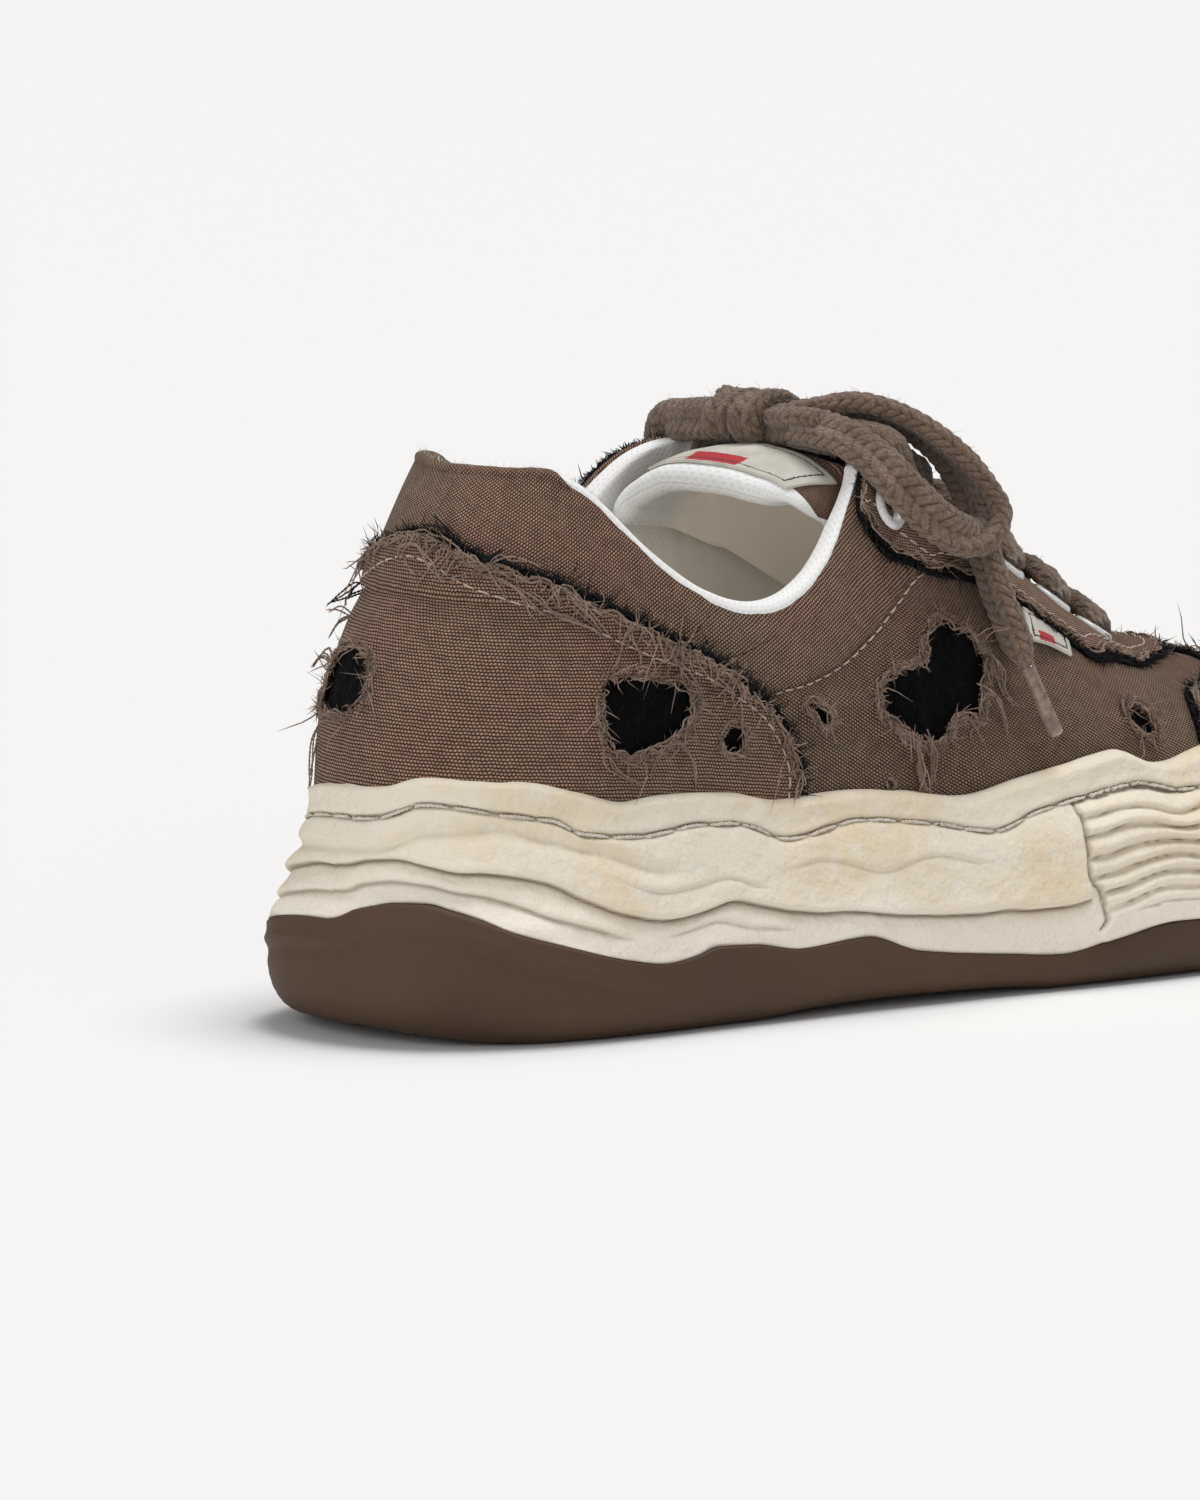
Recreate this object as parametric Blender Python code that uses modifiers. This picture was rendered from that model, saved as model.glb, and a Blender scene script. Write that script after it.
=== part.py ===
"""A worn low-top canvas sneaker for the right foot, built as a shoemaker would put it together.

Frame: +Y points to the toe, +X to the outer (lateral) side, +Z up, and the sole stands on Z = 0.
The tables and sizes below are in millimetres, and solids are turned into metres at the end.
The last is a closed chain of ribs: rib 0 runs up the back of the heel, rib 15 lies over the toe tip,
ribs 1 to 14 are on the outer side and 16 to 29 on the inner side, so rib k faces rib 30 - k.
"""
import math
from collections import namedtuple

import bmesh
import bpy
import numpy as np
from mathutils import Vector

MM = 0.001
GAP = 0.3                  # clearance between pieces that meet
SHELL_GAP = 0.4            # foam inside the rubber shell
SHELL_WALL = 4.0           # the rubber shell's wall at its top edge
SHELL_WALL_LOW = 7.0       # and at its floor
FLOOR_GAP = 0.4            # footbed under the upper and the insole
OBJECT_NAME = "worn_out_sneaker"
SIDES = ("lateral", "medial")

COLUMNS = 80               # points around every ring
ACROSS = 3                 # strips across the sole between its two sides

WALL = 2.4                 # canvas, backing and lining together
COLLAR_WALL = 6.0          # the padded collar
INSOLE_THICK = 4.0
INSOLE_INSET = WALL + 1.1
LIP = 3.7                  # the foam's top edge outside the canvas
FOLD_DEPTH = 1.4           # the foam's side: pressed in at the fold, out below the stitched groove,
BELLY_SWELL = 0.4          # in at that groove and out again in the band over it
GROOVE_SIDE_DEPTH = 1.6
FOXING_SWELL = 0.8
TONGUE_THICK = 6.0
TONGUE_CLEAR = 4.6         # from the outside of the eyestay down to the tongue's face
EYELET_INSET = 10.5        # from the throat's edge to an eyelet's centre, along the eyestay
BARREL_BORE = 2.5
BARREL_OUT = 3.2
FLANGE_OUT = 4.9           # the front flange, and how wide its top is
FLANGE_TOP_OUT = 4.6
BACK_FLANGE_OUT = 4.2
FLANGE_TOP = 1.1           # heights along an eyelet, from the outside of the wall
BACK_FLANGE_TOP = -3.4
BACK_FLANGE_END = -4.0
PUNCH_DEPTH = 14.0
# Share of the collar's padding: along the ribs from the heel, and in the upper's rows from the top.
PADDING_BY_RIB = [(0, 1), (5.0, 0.8), (6.6, 0.0), (15, 0)]
PADDING_BY_ROW = [1.0, 1.0, 0.8, 0.2, 0.0, 0.0, 0.0, 0.0]
LACE_RADIUS = 3.0
LACE_LIFT = LACE_RADIUS + 0.9         # a bar over the throat's edge
LACE_SEAT = LACE_RADIUS + 2.2         # a bar's end over an eyelet
CROWN_LIFT = 3.4                      # a bar's middle over the throat's two edges
OVERPASS = 0.8                        # the bar on top at a crossing
SEAT_STEP = 0.04                      # two bars at one eyelet start this far to either side, in ribs
AGLET_RADIUS = 1.8

Rib = namedtuple("Rib", "foot_x foot_y top_x top_y top_z rise swell reach drop")
# Each rib is a cubic curve. It leaves the foot upwards by rise and outwards by swell, and comes to
# its top edge from a point that lies outwards of that edge by reach and below it by drop.
RIBS = [
    #   foot_x  foot_y   top_x   top_y  top_z  rise swell reach drop
    Rib(0.0, -133.5, 0.0, -107.0, 119.5, 40, 3, 10, 30),       # heel back
    Rib(18.5, -128.5, 13.5, -104.0, 119.0, 40, 3, 9, 30),
    Rib(29.5, -111.0, 23.5, -96.0, 115.5, 36, 3, 6, 26),
    Rib(34.0, -87.0, 32.0, -81.5, 99.5, 24, 3, 3, 16),
    Rib(36.0, -61.0, 36.0, -60.0, 88.0, 18, 3, 2, 12),         # lowest point of the collar
    Rib(38.0, -37.0, 35.5, -40.5, 92.5, 20, 3, 3, 14),
    Rib(40.0, -19.0, 32.5, -28.0, 104.5, 28, 3, 4, 18),
    Rib(41.5, -5.0, 30.0, -21.0, 113.5, 32, 3, 6, 18),         # corner of the eyestay
    Rib(43.0, 7.0, 24.5, -13.5, 114.0, 32, 3, 11, 12),
    Rib(45.0, 19.0, 17.5, 1.0, 109.0, 30, 3, 18, 10),
    Rib(47.5, 35.0, 13.0, 24.0, 96.0, 28, 3, 22, 8),
    Rib(49.0, 51.0, 11.0, 46.0, 82.5, 25, 2, 24, 7),
    Rib(49.0, 68.0, 8.5, 64.0, 71.5, 23, 2, 26, 6),            # end of the throat
    Rib(44.0, 91.0, 4.5, 71.0, 68.2, 22, 2, 28, 4),
    Rib(28.0, 119.0, 1.5, 72.5, 67.5, 23, 2, 34, 3),
    Rib(-6.0, 134.0, -0.5, 73.0, 67.3, 24, 2, 38, 2),          # toe tip
    Rib(-36.0, 119.0, -2.5, 72.5, 67.5, 23, 2, 34, 3),
    Rib(-49.0, 91.0, -5.5, 71.0, 68.2, 22, 2, 28, 4),
    Rib(-49.0, 66.0, -8.5, 64.0, 71.5, 23, 2, 26, 6),
    Rib(-46.0, 48.0, -11.0, 46.0, 82.5, 26, 2, 24, 7),
    Rib(-42.0, 31.0, -13.0, 24.0, 96.0, 28, 3, 22, 8),
    Rib(-38.0, 14.0, -17.5, 1.0, 109.0, 30, 3, 18, 10),
    Rib(-35.5, 2.0, -24.5, -13.0, 115.0, 32, 3, 10, 12),
    Rib(-34.0, -9.0, -30.0, -20.5, 116.0, 34, 3, 5, 18),
    Rib(-33.0, -21.0, -32.5, -29.5, 114.0, 30, 3, 4, 18),
    Rib(-32.0, -37.0, -33.5, -41.0, 107.0, 24, 3, 3, 18),
    Rib(-31.0, -61.0, -33.5, -60.0, 94.5, 20, 3, 2, 14),
    Rib(-31.0, -87.0, -30.5, -81.5, 102.0, 24, 3, 3, 16),
    Rib(-28.0, -111.0, -23.5, -96.0, 116.0, 36, 3, 6, 26),
    Rib(-18.0, -128.5, -13.5, -104.0, 119.0, 40, 3, 9, 30),
]
RIB_TABLE = np.array(RIBS, float)
RIB_COUNT = len(RIBS)

# Heights along the length, as (y, z) pairs, y being that of the foot's outline.
GROUND = [(-150, 6.2), (-140, 3.3), (-133, 1.9), (-124, 0.6), (-112, 0), (-64, 0), (-45, 1.2), (-20, 1.6), (4, 1.0),
          (18, 0), (84, 0), (100, 1.8), (118, 6), (136, 11.5), (150, 16)]
FOOTBED = [(-145, 38), (-90, 37), (-40, 33), (10, 28), (50, 25.4), (84, 25.6), (112, 27.2), (145, 31)]
SHELL_FLOOR = [(-140, 15.5), (-112, 11.5), (-60, 9), (-20, 7), (10, 5.4), (40, 5.2), (84, 6.2),
               (104, 8.8), (124, 13), (145, 18.5)]
RUBBER_TOP = [(-134, 23.4), (-133.5, 25.4), (-132.9, 28.2), (-131.3, 29.7), (-128.9, 29.9), (-126.3, 28.6),
              (-123, 26.9), (-118, 24), (-110, 21), (-97, 17), (-88, 15.6), (-81, 16.6), (-76, 18), (-66, 17.5), (-53, 15.5), (-36, 16.5), (-21, 12.2),
              (5, 9.2), (18, 8.2), (31, 10.5), (46, 13), (62, 12.6), (78, 11.6), (96, 13.5),
              (116, 19), (134, 25)]
FOLD = [(-134, 33), (-131, 38), (-117, 35), (-107, 30), (-92, 25), (-70, 26), (-55, 23), (-34, 21.2),
        (-9, 18.5), (15, 18), (35, 21), (60, 22), (85, 22), (110, 27), (134, 33)]
GROOVE = [(-134, 45.5), (-130, 49.5), (-118, 47.3), (-110, 46), (-103, 42.8), (-90, 41.5), (-76, 42.7),
          (-66, 42.3), (-52, 38), (-34, 40.3), (-14, 38.2), (3, 35.4), (14, 38.3), (29, 41),
          (42, 42.5), (56, 40), (78, 41.5), (98, 40.5), (118, 44), (134, 47)]
FOXING = [(-134, 52), (-130, 54.8), (-113, 53.5), (-103, 50.5), (-93, 48), (-84, 49), (-66, 48.2),
          (-53, 45.6), (-36, 45.9), (-20, 44.8), (-2, 42.3), (12, 44.8), (26, 47), (38, 49),
          (52, 45.3), (66, 47), (84, 49), (102, 47.5), (120, 51), (134, 54)]
INNER_SIDE_SHIFT = 9.0     # the inner side has the same waves, this much further back
INNER_HEEL_END, INNER_HEEL_DIP = -112.0, 2.8

# How far the sole's side stands outside the foot's outline, as (height above the floor, offset).
WIDEST_HEIGHT = 18.0
CONTACT_OFFSET = 4.5       # the flat of the tread, outside the foot's outline
FLARE = [(0, 5.5), (4, 9.3), (9, 11.5), (18, 12.3), (30, 10.3), (43, 7.0), (50, 4.5), (60, 3.0)]

# Tread: transverse grooves at these places along the length, and one along the middle.
GROOVE_Y = [-118, -100, -60, -38, -14, 12, 34, 56, 88, 106, 122]
GROOVE_WIDTH = 3.5
GROOVE_DEPTH = 2.8
TREAD_MARGIN = 5.0         # the grooves stop this far inside the contact patch

TongueRow = namedtuple("TongueRow", "crown_y crown_z side_x side_y side_z")
# The free end of the tongue, past the eyestays: its middle, and where its two sides are.
TONGUE_END = [
    TongueRow(-21.0, 116.0, 28.0, -19.5, 100.0),
    TongueRow(-31.0, 115.5, 27.0, -25.0, 101.5),
    TongueRow(-39.0, 113.0, 25.0, -29.5, 103.0),
]
TONGUE_STATIONS = [12.4, 11.6, 10.8, 10.0, 9.2, 8.4, 7.8]
TONGUE_TUCK = [0.70, 0.80, 0.90, 1.0]
TONGUE_CROWN = 2.6         # how far its middle stands above its sides, across the throat

EYELET_STATIONS = [8.15, 8.95, 9.65, 10.3, 11.0, 11.7]

# Bow: routes of the free lace, from the knot outwards. The knot lies over the top eyelets.
KNOT_CENTRE = (0.0, -19.0, 121.5)
KNOT_HALF = (13.0, 7.8, 4.8)
LOOP_LATERAL = [(13.4, -15.2, 123.8), (20, -10, 125), (27.5, -4, 122.5), (34, 1.5, 117), (38.5, 6, 110.5),
                (41.5, 8, 103), (43, 3.8, 98.6), (43.4, -2.7, 98.3), (42.6, -9.8, 101.9), (39.6, -15.3, 107.9),
                (34.4, -18.7, 114.1), (27.6, -20.5, 118.5), (20, -21.8, 120.5), (13.4, -22.2, 121)]
LOOP_MEDIAL = [(-13.4, -15.2, 123), (-20, -11.2, 123.2), (-28.5, -5.8, 121), (-36, -0.2, 114.8),
               (-41, 4.5, 107), (-43.5, 6, 101), (-44, 0.5, 97.5), (-43.5, -6, 100), (-41, -11.5, 106.5),
               (-37.2, -15, 113.8), (-31.2, -18.8, 119), (-22, -21.5, 120.2), (-13.4, -22.2, 121)]
TAIL_LATERAL = [(7.5, -11.6, 122.6), (13, -6, 123.8), (20, 0, 121.6), (27, 6, 115.8), (32.5, 9, 107.5),
                (35.5, 9.5, 98.5), (38.6, 10, 90), (41.8, 11, 81.5), (44.0, 13, 74.2), (45.2, 15.2, 68.6)]
TAIL_MEDIAL = [(-7.5, -11.6, 122.6), (-13, -6, 123.5), (-20, 0, 121.4), (-27, 6, 116), (-33, 9.5, 108),
               (-36, 10.5, 98.5), (-38, 13, 89), (-40.4, 16, 80), (-42.6, 18.5, 72.5), (-43.8, 21, 67)]
AGLET_LENGTH = 16.5
LACE_POINT_SPACING = 8.0
BAR_POINT_SPACING = 11.0

COLOURS = {
    #              red   green  blue  rough  metal
    "canvas":     (0.165, 0.108, 0.078, 0.95, 0.0),
    "lining":     (0.78, 0.76, 0.72, 0.95, 0.0),
    "foam":       (0.74, 0.66, 0.50, 0.60, 0.0),
    "rubber":     (0.085, 0.054, 0.038, 0.70, 0.0),
    "lace":       (0.145, 0.100, 0.072, 1.0, 0.0),
    "ring":       (0.80, 0.80, 0.80, 0.35, 0.0),
    "tip":        (0.20, 0.14, 0.10, 0.20, 0.0),
}


# ---------------------------------------------------------------- curves and surfaces

def closed_spline(rows, t):
    """Cubic spline with continuous curvature through rows at whole t, closed on itself."""
    count = len(rows)
    system = 4 * np.eye(count) + np.roll(np.eye(count), 1, 0) + np.roll(np.eye(count), -1, 0)
    bends = np.linalg.solve(system, 6 * (np.roll(rows, -1, 0) - 2 * rows + np.roll(rows, 1, 0)))
    whole = np.floor(t).astype(int)
    part = (t - whole)[:, None]
    here = whole % count
    after = (here + 1) % count
    sag = part * (1 - part) / 6 * ((2 - part) * bends[here] + (1 + part) * bends[after])
    return rows[here] * (1 - part) + rows[after] * part - sag


def through(table, x):
    """Smooth curve through (x, value) pairs that never swings past them (monotone cubic)."""
    knots, values = np.array(table, float).T
    step = np.diff(knots)
    slope = np.diff(values) / step
    tangent = np.zeros(len(knots))
    same_way = slope[1:] * slope[:-1] > 0
    mean = np.zeros(len(slope) - 1)
    mean[same_way] = 2 * slope[1:][same_way] * slope[:-1][same_way] / (slope[1:] + slope[:-1])[same_way]
    tangent[1:-1] = mean
    x = np.clip(np.asarray(x, float), knots[0], knots[-1])
    k = np.clip(np.searchsorted(knots, x) - 1, 0, len(step) - 1)
    f = (x - knots[k]) / step[k]
    rise = (3 - 2 * f) * f * f
    lean = step[k] * f * (1 - f) * ((1 - f) * tangent[k] - f * tangent[k + 1])
    return values[k] * (1 - rise) + values[k + 1] * rise + lean


def foot_outline(t, offset=0.0):
    """Plan of the last at the footbed, moved outwards by offset. Gives x, y and the plan normal."""
    ahead = closed_spline(RIB_TABLE[:, :2], t + 0.001) - closed_spline(RIB_TABLE[:, :2], t - 0.001)
    normal = np.stack([ahead[:, 1], -ahead[:, 0]], 1)
    normal /= np.linalg.norm(normal, axis=1, keepdims=True)
    return closed_spline(RIB_TABLE[:, :2], t) + np.reshape(offset, (-1, 1)) * normal, normal


def sole_centre():
    """Middle of the sole's box in plan, which becomes the origin."""
    around = np.linspace(0, RIB_COUNT, 601)[:-1]
    plan = foot_outline(around, through(FLARE, WIDEST_HEIGHT))[0]
    return np.append((plan.min(axis=0) + plan.max(axis=0)) / 2, 0.0)


CENTRE = sole_centre()


def upper_point(t, v):
    """Outside of the upper: t counts ribs, v goes from 0 at the footbed to 1 at the top edge."""
    rows = closed_spline(RIB_TABLE, t)
    normal = foot_outline(t)[1]
    out = np.column_stack([normal, np.zeros(len(t))])
    up = np.array([0.0, 0.0, 1.0])
    rise, swell, reach, drop = (rows[:, k, None] for k in range(5, 9))
    foot = np.column_stack([rows[:, :2], through(FOOTBED, rows[:, 1])])
    top = rows[:, 2:5]
    low = foot + rise * up + swell * out
    high = top + reach * out - drop * up
    v = v[:, None]
    return (1 - v) ** 3 * foot + 3 * (1 - v) ** 2 * v * low + 3 * (1 - v) * v ** 2 * high + v ** 3 * top


def upper_normal(t, v):
    """Outward normal of the upper, from differences along both of its directions."""
    small = 0.002
    along = upper_point(t + small, v) - upper_point(t - small, v)
    v_low = np.clip(v - small, 0, 1)
    v_high = np.clip(v + small, 0, 1)
    upwards = upper_point(t, v_high) - upper_point(t, v_low)
    normal = np.cross(along, upwards)
    return normal / np.linalg.norm(normal, axis=1, keepdims=True)


def v_at_height(t, height):
    """Where on each rib the upper reaches a height."""
    tries = np.linspace(0, 0.6, 121)
    result = np.zeros(len(t))
    for k, one in enumerate(t):
        z = upper_point(np.full(len(tries), one), tries)[:, 2]
        result[k] = np.interp(height[k], z, tries)
    return result


def side_height(table, t):
    """Height of a line around the sole; the inner side looks it up a little further back.

    On the inner side of the heel the waves stop: the line sinks gently to the back instead.
    """
    y = foot_outline(t)[0][:, 1]
    inner = np.mod(t, RIB_COUNT) > RIB_COUNT / 2
    fade = np.clip((134 - np.abs(y)) / 30, 0, 1)
    height = through(table, y + np.where(inner, INNER_SIDE_SHIFT * fade, 0))
    back = RIBS[0].foot_y
    ends = through(table, np.array([back, INNER_HEEL_END + INNER_SIDE_SHIFT * (134 + INNER_HEEL_END) / 30]))
    share = np.clip((y - back) / (INNER_HEEL_END - back), 0, 1)
    sunk = ends[0] + (ends[1] - ends[0]) * share - INNER_HEEL_DIP * np.sin(np.pi * share)
    return np.where(inner & (y < INNER_HEEL_END), sunk, height)


def sole_ring(t, offset, height):
    """A closed ring of points around the sole."""
    return np.column_stack([foot_outline(t, offset)[0], np.broadcast_to(height, t.shape)])


# ---------------------------------------------------------------- making objects

def material(name):
    """Plain Principled material from the colour table."""
    made = bpy.data.materials.get(name)
    if made:
        return made
    red, green, blue, rough, metal = COLOURS[name]
    made = bpy.data.materials.new(name)
    made.use_nodes = True
    shader = made.node_tree.nodes["Principled BSDF"]
    shader.inputs["Base Color"].default_value = (red, green, blue, 1)
    shader.inputs["Roughness"].default_value = rough
    shader.inputs["Metallic"].default_value = metal
    return made


def add_object(name, data, finish, collection):
    """Put a mesh or curve into a collection as an object."""
    piece = bpy.data.objects.new(name, data)
    if finish:
        data.materials.append(material(finish))
    collection.objects.link(piece)
    return piece


def to_metres(points):
    """Millimetres in the shoe's own frame to metres, with the sole's box centred on the origin."""
    return (np.asarray(points, float) - CENTRE) * MM


def add_mesh(name, points, faces, finish, collection):
    """Smooth-shaded mesh object from points in millimetres."""
    mesh = bpy.data.meshes.new(name)
    mesh.from_pydata(to_metres(points).tolist(), [], faces)
    mesh.shade_smooth()
    mesh.set_sharp_from_angle(angle=math.radians(40))
    return add_object(name, mesh, finish, collection)


def turn_outwards(mesh):
    """Point the faces of a closed mesh outwards, after merging what lies in one place."""
    work = bmesh.new()
    work.from_mesh(mesh)
    bmesh.ops.remove_doubles(work, verts=work.verts, dist=0.00001)
    bmesh.ops.recalc_face_normals(work, faces=work.faces)
    work.to_mesh(mesh)
    work.free()


def band_faces(upper_row, lower_row, closed=True):
    """Triangles between two rows of point numbers, always split along the same diagonal."""
    faces = []
    count = len(upper_row)
    for k in range(count if closed else count - 1):
        after = (k + 1) % count
        faces.append((upper_row[k], upper_row[after], lower_row[after]))
        faces.append((upper_row[k], lower_row[after], lower_row[k]))
    return faces


def cap(points, faces, ring, height=None):
    """Close a ring with strips that run across the shoe, at a height that follows y if one is given."""
    half = len(ring) // 2
    rows = [[ring[0]] * (ACROSS + 1)]
    for k in range(1, half):
        left = np.array(points[ring[k]])
        right = np.array(points[ring[-k]])
        row = [ring[k]]
        for step in range(1, ACROSS):
            spot = left + (right - left) * step / ACROSS
            if height:
                spot[2] = through(height, spot[1])
            row.append(len(points))
            points.append(spot.tolist())
        rows.append(row + [ring[-k]])
    rows.append([ring[half]] * (ACROSS + 1))
    for before, after in zip(rows, rows[1:]):
        for face in band_faces(before, after, closed=False):
            if len(set(face)) == 3:
                faces.append(face)


def ring_solid(name, rings, finish, collection, first_height=None, last_height=None):
    """Closed solid through a chain of rings, capped at its first and its last ring."""
    points = np.concatenate(rings).tolist()
    numbers = np.arange(len(points)).reshape(len(rings), -1)
    faces = []
    for before, after in zip(numbers, numbers[1:]):
        faces += band_faces(before.tolist(), after.tolist())
    cap(points, faces, numbers[0].tolist(), first_height)
    cap(points, faces, numbers[-1].tolist(), last_height)
    piece = add_mesh(name, points, faces, finish, collection)
    turn_outwards(piece.data)
    return piece


def route(points, spacing):
    """Points about spacing apart on a smooth curve (Catmull-Rom) through a route."""
    points = np.array(points, float)
    lead_in = 2 * points[0] - points[1]
    lead_out = 2 * points[-1] - points[-2]
    chain = np.vstack([lead_in, points, lead_out])
    fine = []
    for a, b, c, d in zip(chain, chain[1:], chain[2:], chain[3:]):
        for f in np.linspace(0, 1, 12, endpoint=False):
            fine.append(0.5 * (2 * b + (c - a) * f + (2 * a - 5 * b + 4 * c - d) * f ** 2
                               + (3 * b - a - 3 * c + d) * f ** 3))
    fine = np.array(fine + [points[-1]])
    run = np.concatenate([[0], np.cumsum(np.linalg.norm(np.diff(fine, axis=0), axis=1))])
    count = max(2, round(run[-1] / spacing) + 1)
    where = np.linspace(0, run[-1], count)
    return np.column_stack([np.interp(where, run, fine[:, k]) for k in range(3)])


def tube(name, points, radius, finish, collection):
    """Round tube with filled caps along a list of points."""
    curve = bpy.data.curves.new(name, "CURVE")
    curve.dimensions = "3D"
    curve.bevel_depth = radius * MM
    curve.bevel_resolution = 2
    curve.use_fill_caps = True
    spline = curve.splines.new("POLY")
    spline.points.add(len(points) - 1)
    flat = np.column_stack([to_metres(points), np.ones(len(points))])
    spline.points.foreach_set("co", flat.ravel())
    return add_object(name, curve, finish, collection)


def curve_to_mesh(piece, collection):
    """Replace a curve object by a welded mesh object."""
    bpy.context.view_layer.update()
    shape = piece.evaluated_get(bpy.context.evaluated_depsgraph_get())
    mesh = bpy.data.meshes.new_from_object(shape)
    turn_outwards(mesh)
    solid = bpy.data.objects.new(piece.name + "_solid", mesh)
    solid.matrix_world = piece.matrix_world.copy()
    bpy.data.objects.remove(piece)
    collection.objects.link(solid)
    return solid


def hide_tool(piece):
    """A cutter or a guide isn't part of the shoe."""
    piece.hide_render = True
    piece.display_type = "WIRE"
    return piece


def boolean(piece, tool, operation):
    """Cut or join with another mesh object."""
    step = piece.modifiers.new(tool.name, "BOOLEAN")
    step.operation = operation
    step.solver = "EXACT"
    step.object = tool


# ---------------------------------------------------------------- the pieces

def rubber_edge(t):
    """Top edge of the rubber, the ground below it and the floor of its shell."""
    y = foot_outline(t, 6.0)[0][:, 1]
    return through(GROUND, y), side_height(RUBBER_TOP, t), through(SHELL_FLOOR, y)


def outsole(t, parts, tools):
    """Rubber shell: it stands on a heel and a forefoot flat, with a lifted waist and toe spring."""
    ground, top, shell_floor = rubber_edge(t)
    height = top - ground
    edge = through(FLARE, top)
    rings = [
        sole_ring(t, edge - SHELL_WALL_LOW, shell_floor),
        sole_ring(t, edge - SHELL_WALL, top - 0.3),
        sole_ring(t, edge, top),
        sole_ring(t, through(FLARE, WIDEST_HEIGHT) - 0.3, ground + np.minimum(13.0, 0.72 * height)),
        sole_ring(t, 11.0, ground + np.minimum(6.0, 0.40 * height)),
        sole_ring(t, 8.6, ground + np.minimum(2.0, 0.16 * height)),
        sole_ring(t, CONTACT_OFFSET, ground),
    ]
    piece = ring_solid("outsole", rings, "rubber", parts, last_height=GROUND)
    cutter = bmesh.new()
    contact = foot_outline(np.linspace(0, RIB_COUNT, 121), CONTACT_OFFSET)[0]
    for y in GROOVE_Y:
        outer = np.interp(y, contact[:61, 1], contact[:61, 0]) - TREAD_MARGIN
        inner = np.interp(y, contact[:59:-1, 1], contact[:59:-1, 0]) + TREAD_MARGIN
        depth = 2 * (through(GROUND, y) + GROOVE_DEPTH)
        add_box(cutter, ((outer + inner) / 2, y, 0), (outer - inner, GROOVE_WIDTH, depth))
    boolean(piece, finish_cutter("tread_across", cutter, tools), "DIFFERENCE")
    cutter = bmesh.new()
    add_box(cutter, (0, -6, 0), (GROOVE_WIDTH, 172, 2 * GROOVE_DEPTH))
    boolean(piece, finish_cutter("tread_along", cutter, tools), "DIFFERENCE")
    return piece


def add_box(target, centre, size):
    """Box in millimetres added to a bmesh in metres."""
    made = bmesh.ops.create_cube(target, size=1.0)["verts"]
    bmesh.ops.scale(target, vec=Vector(size) * MM, verts=made)
    bmesh.ops.translate(target, vec=Vector(to_metres(centre)), verts=made)


def finish_cutter(name, source, tools):
    """Make a cutter object from a bmesh."""
    mesh = bpy.data.meshes.new(name)
    source.to_mesh(mesh)
    source.free()
    return hide_tool(add_object(name, mesh, None, tools))


def midsole(t, parts):
    """Foam cup: folded outside, wavy foxing edge, and a cavity that follows the upper."""
    _, rubber_top, shell_floor = rubber_edge(t)
    edge = through(FLARE, rubber_top)
    fold = side_height(FOLD, t)
    groove = side_height(GROOVE, t)
    foxing = side_height(FOXING, t)
    belly = (fold + groove) / 2
    seat = cavity_rows(t)
    wall = np.sum((upper_point(t, seat[2])[:, :2] - foot_outline(t)[0]) * foot_outline(t)[1], axis=1)
    groove_flare = np.minimum(through(FLARE, groove), wall + LIP + 4.0)
    rings = [
        sole_ring(t, edge - SHELL_WALL_LOW - SHELL_GAP, shell_floor + SHELL_GAP),
        sole_ring(t, edge - SHELL_WALL - SHELL_GAP, rubber_top - 0.3 + GAP),
        sole_ring(t, edge - 0.4, rubber_top + GAP),
        sole_ring(t, through(FLARE, fold) - FOLD_DEPTH, fold),
        sole_ring(t, through(FLARE, belly) + BELLY_SWELL, belly),
        sole_ring(t, groove_flare - GROOVE_SIDE_DEPTH, groove),
        sole_ring(t, (groove_flare + wall + LIP) / 2 + FOXING_SWELL, (groove + foxing) / 2),
        sole_ring(t, wall + LIP, foxing),
    ]
    normal = np.column_stack([foot_outline(t)[1], np.zeros(len(t))])
    for row in seat[::-1]:
        rings.append(upper_point(t, row) + GAP * normal)
    rings[-1][:, 2] -= FLOOR_GAP
    under = [(y, z - FLOOR_GAP) for y, z in FOOTBED]
    return ring_solid("midsole", rings, "foam", parts, last_height=under)


def cavity_rows(t):
    """v of the three rows of the upper that sit in the cup: footbed, half way and foxing edge."""
    foxing = side_height(FOXING, t)
    floor = through(FOOTBED, foot_outline(t)[0][:, 1])
    return [np.zeros(len(t)), v_at_height(t, (floor + foxing) / 2), v_at_height(t, foxing)]


def insole(t, parts):
    """Board and foam inside the upper, cut to its inner wall at both faces."""
    floor = through(FOOTBED, foot_outline(t)[0][:, 1])
    normal = np.column_stack([foot_outline(t)[1], np.zeros(len(t))])
    rings = []
    for height in (floor, floor + INSOLE_THICK):
        rings.append(upper_point(t, v_at_height(t, height)) - INSOLE_INSET * normal)
    over = [(y, z + INSOLE_THICK) for y, z in FOOTBED]
    return ring_solid("insole", rings, "lining", parts, first_height=FOOTBED, last_height=over)


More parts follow.
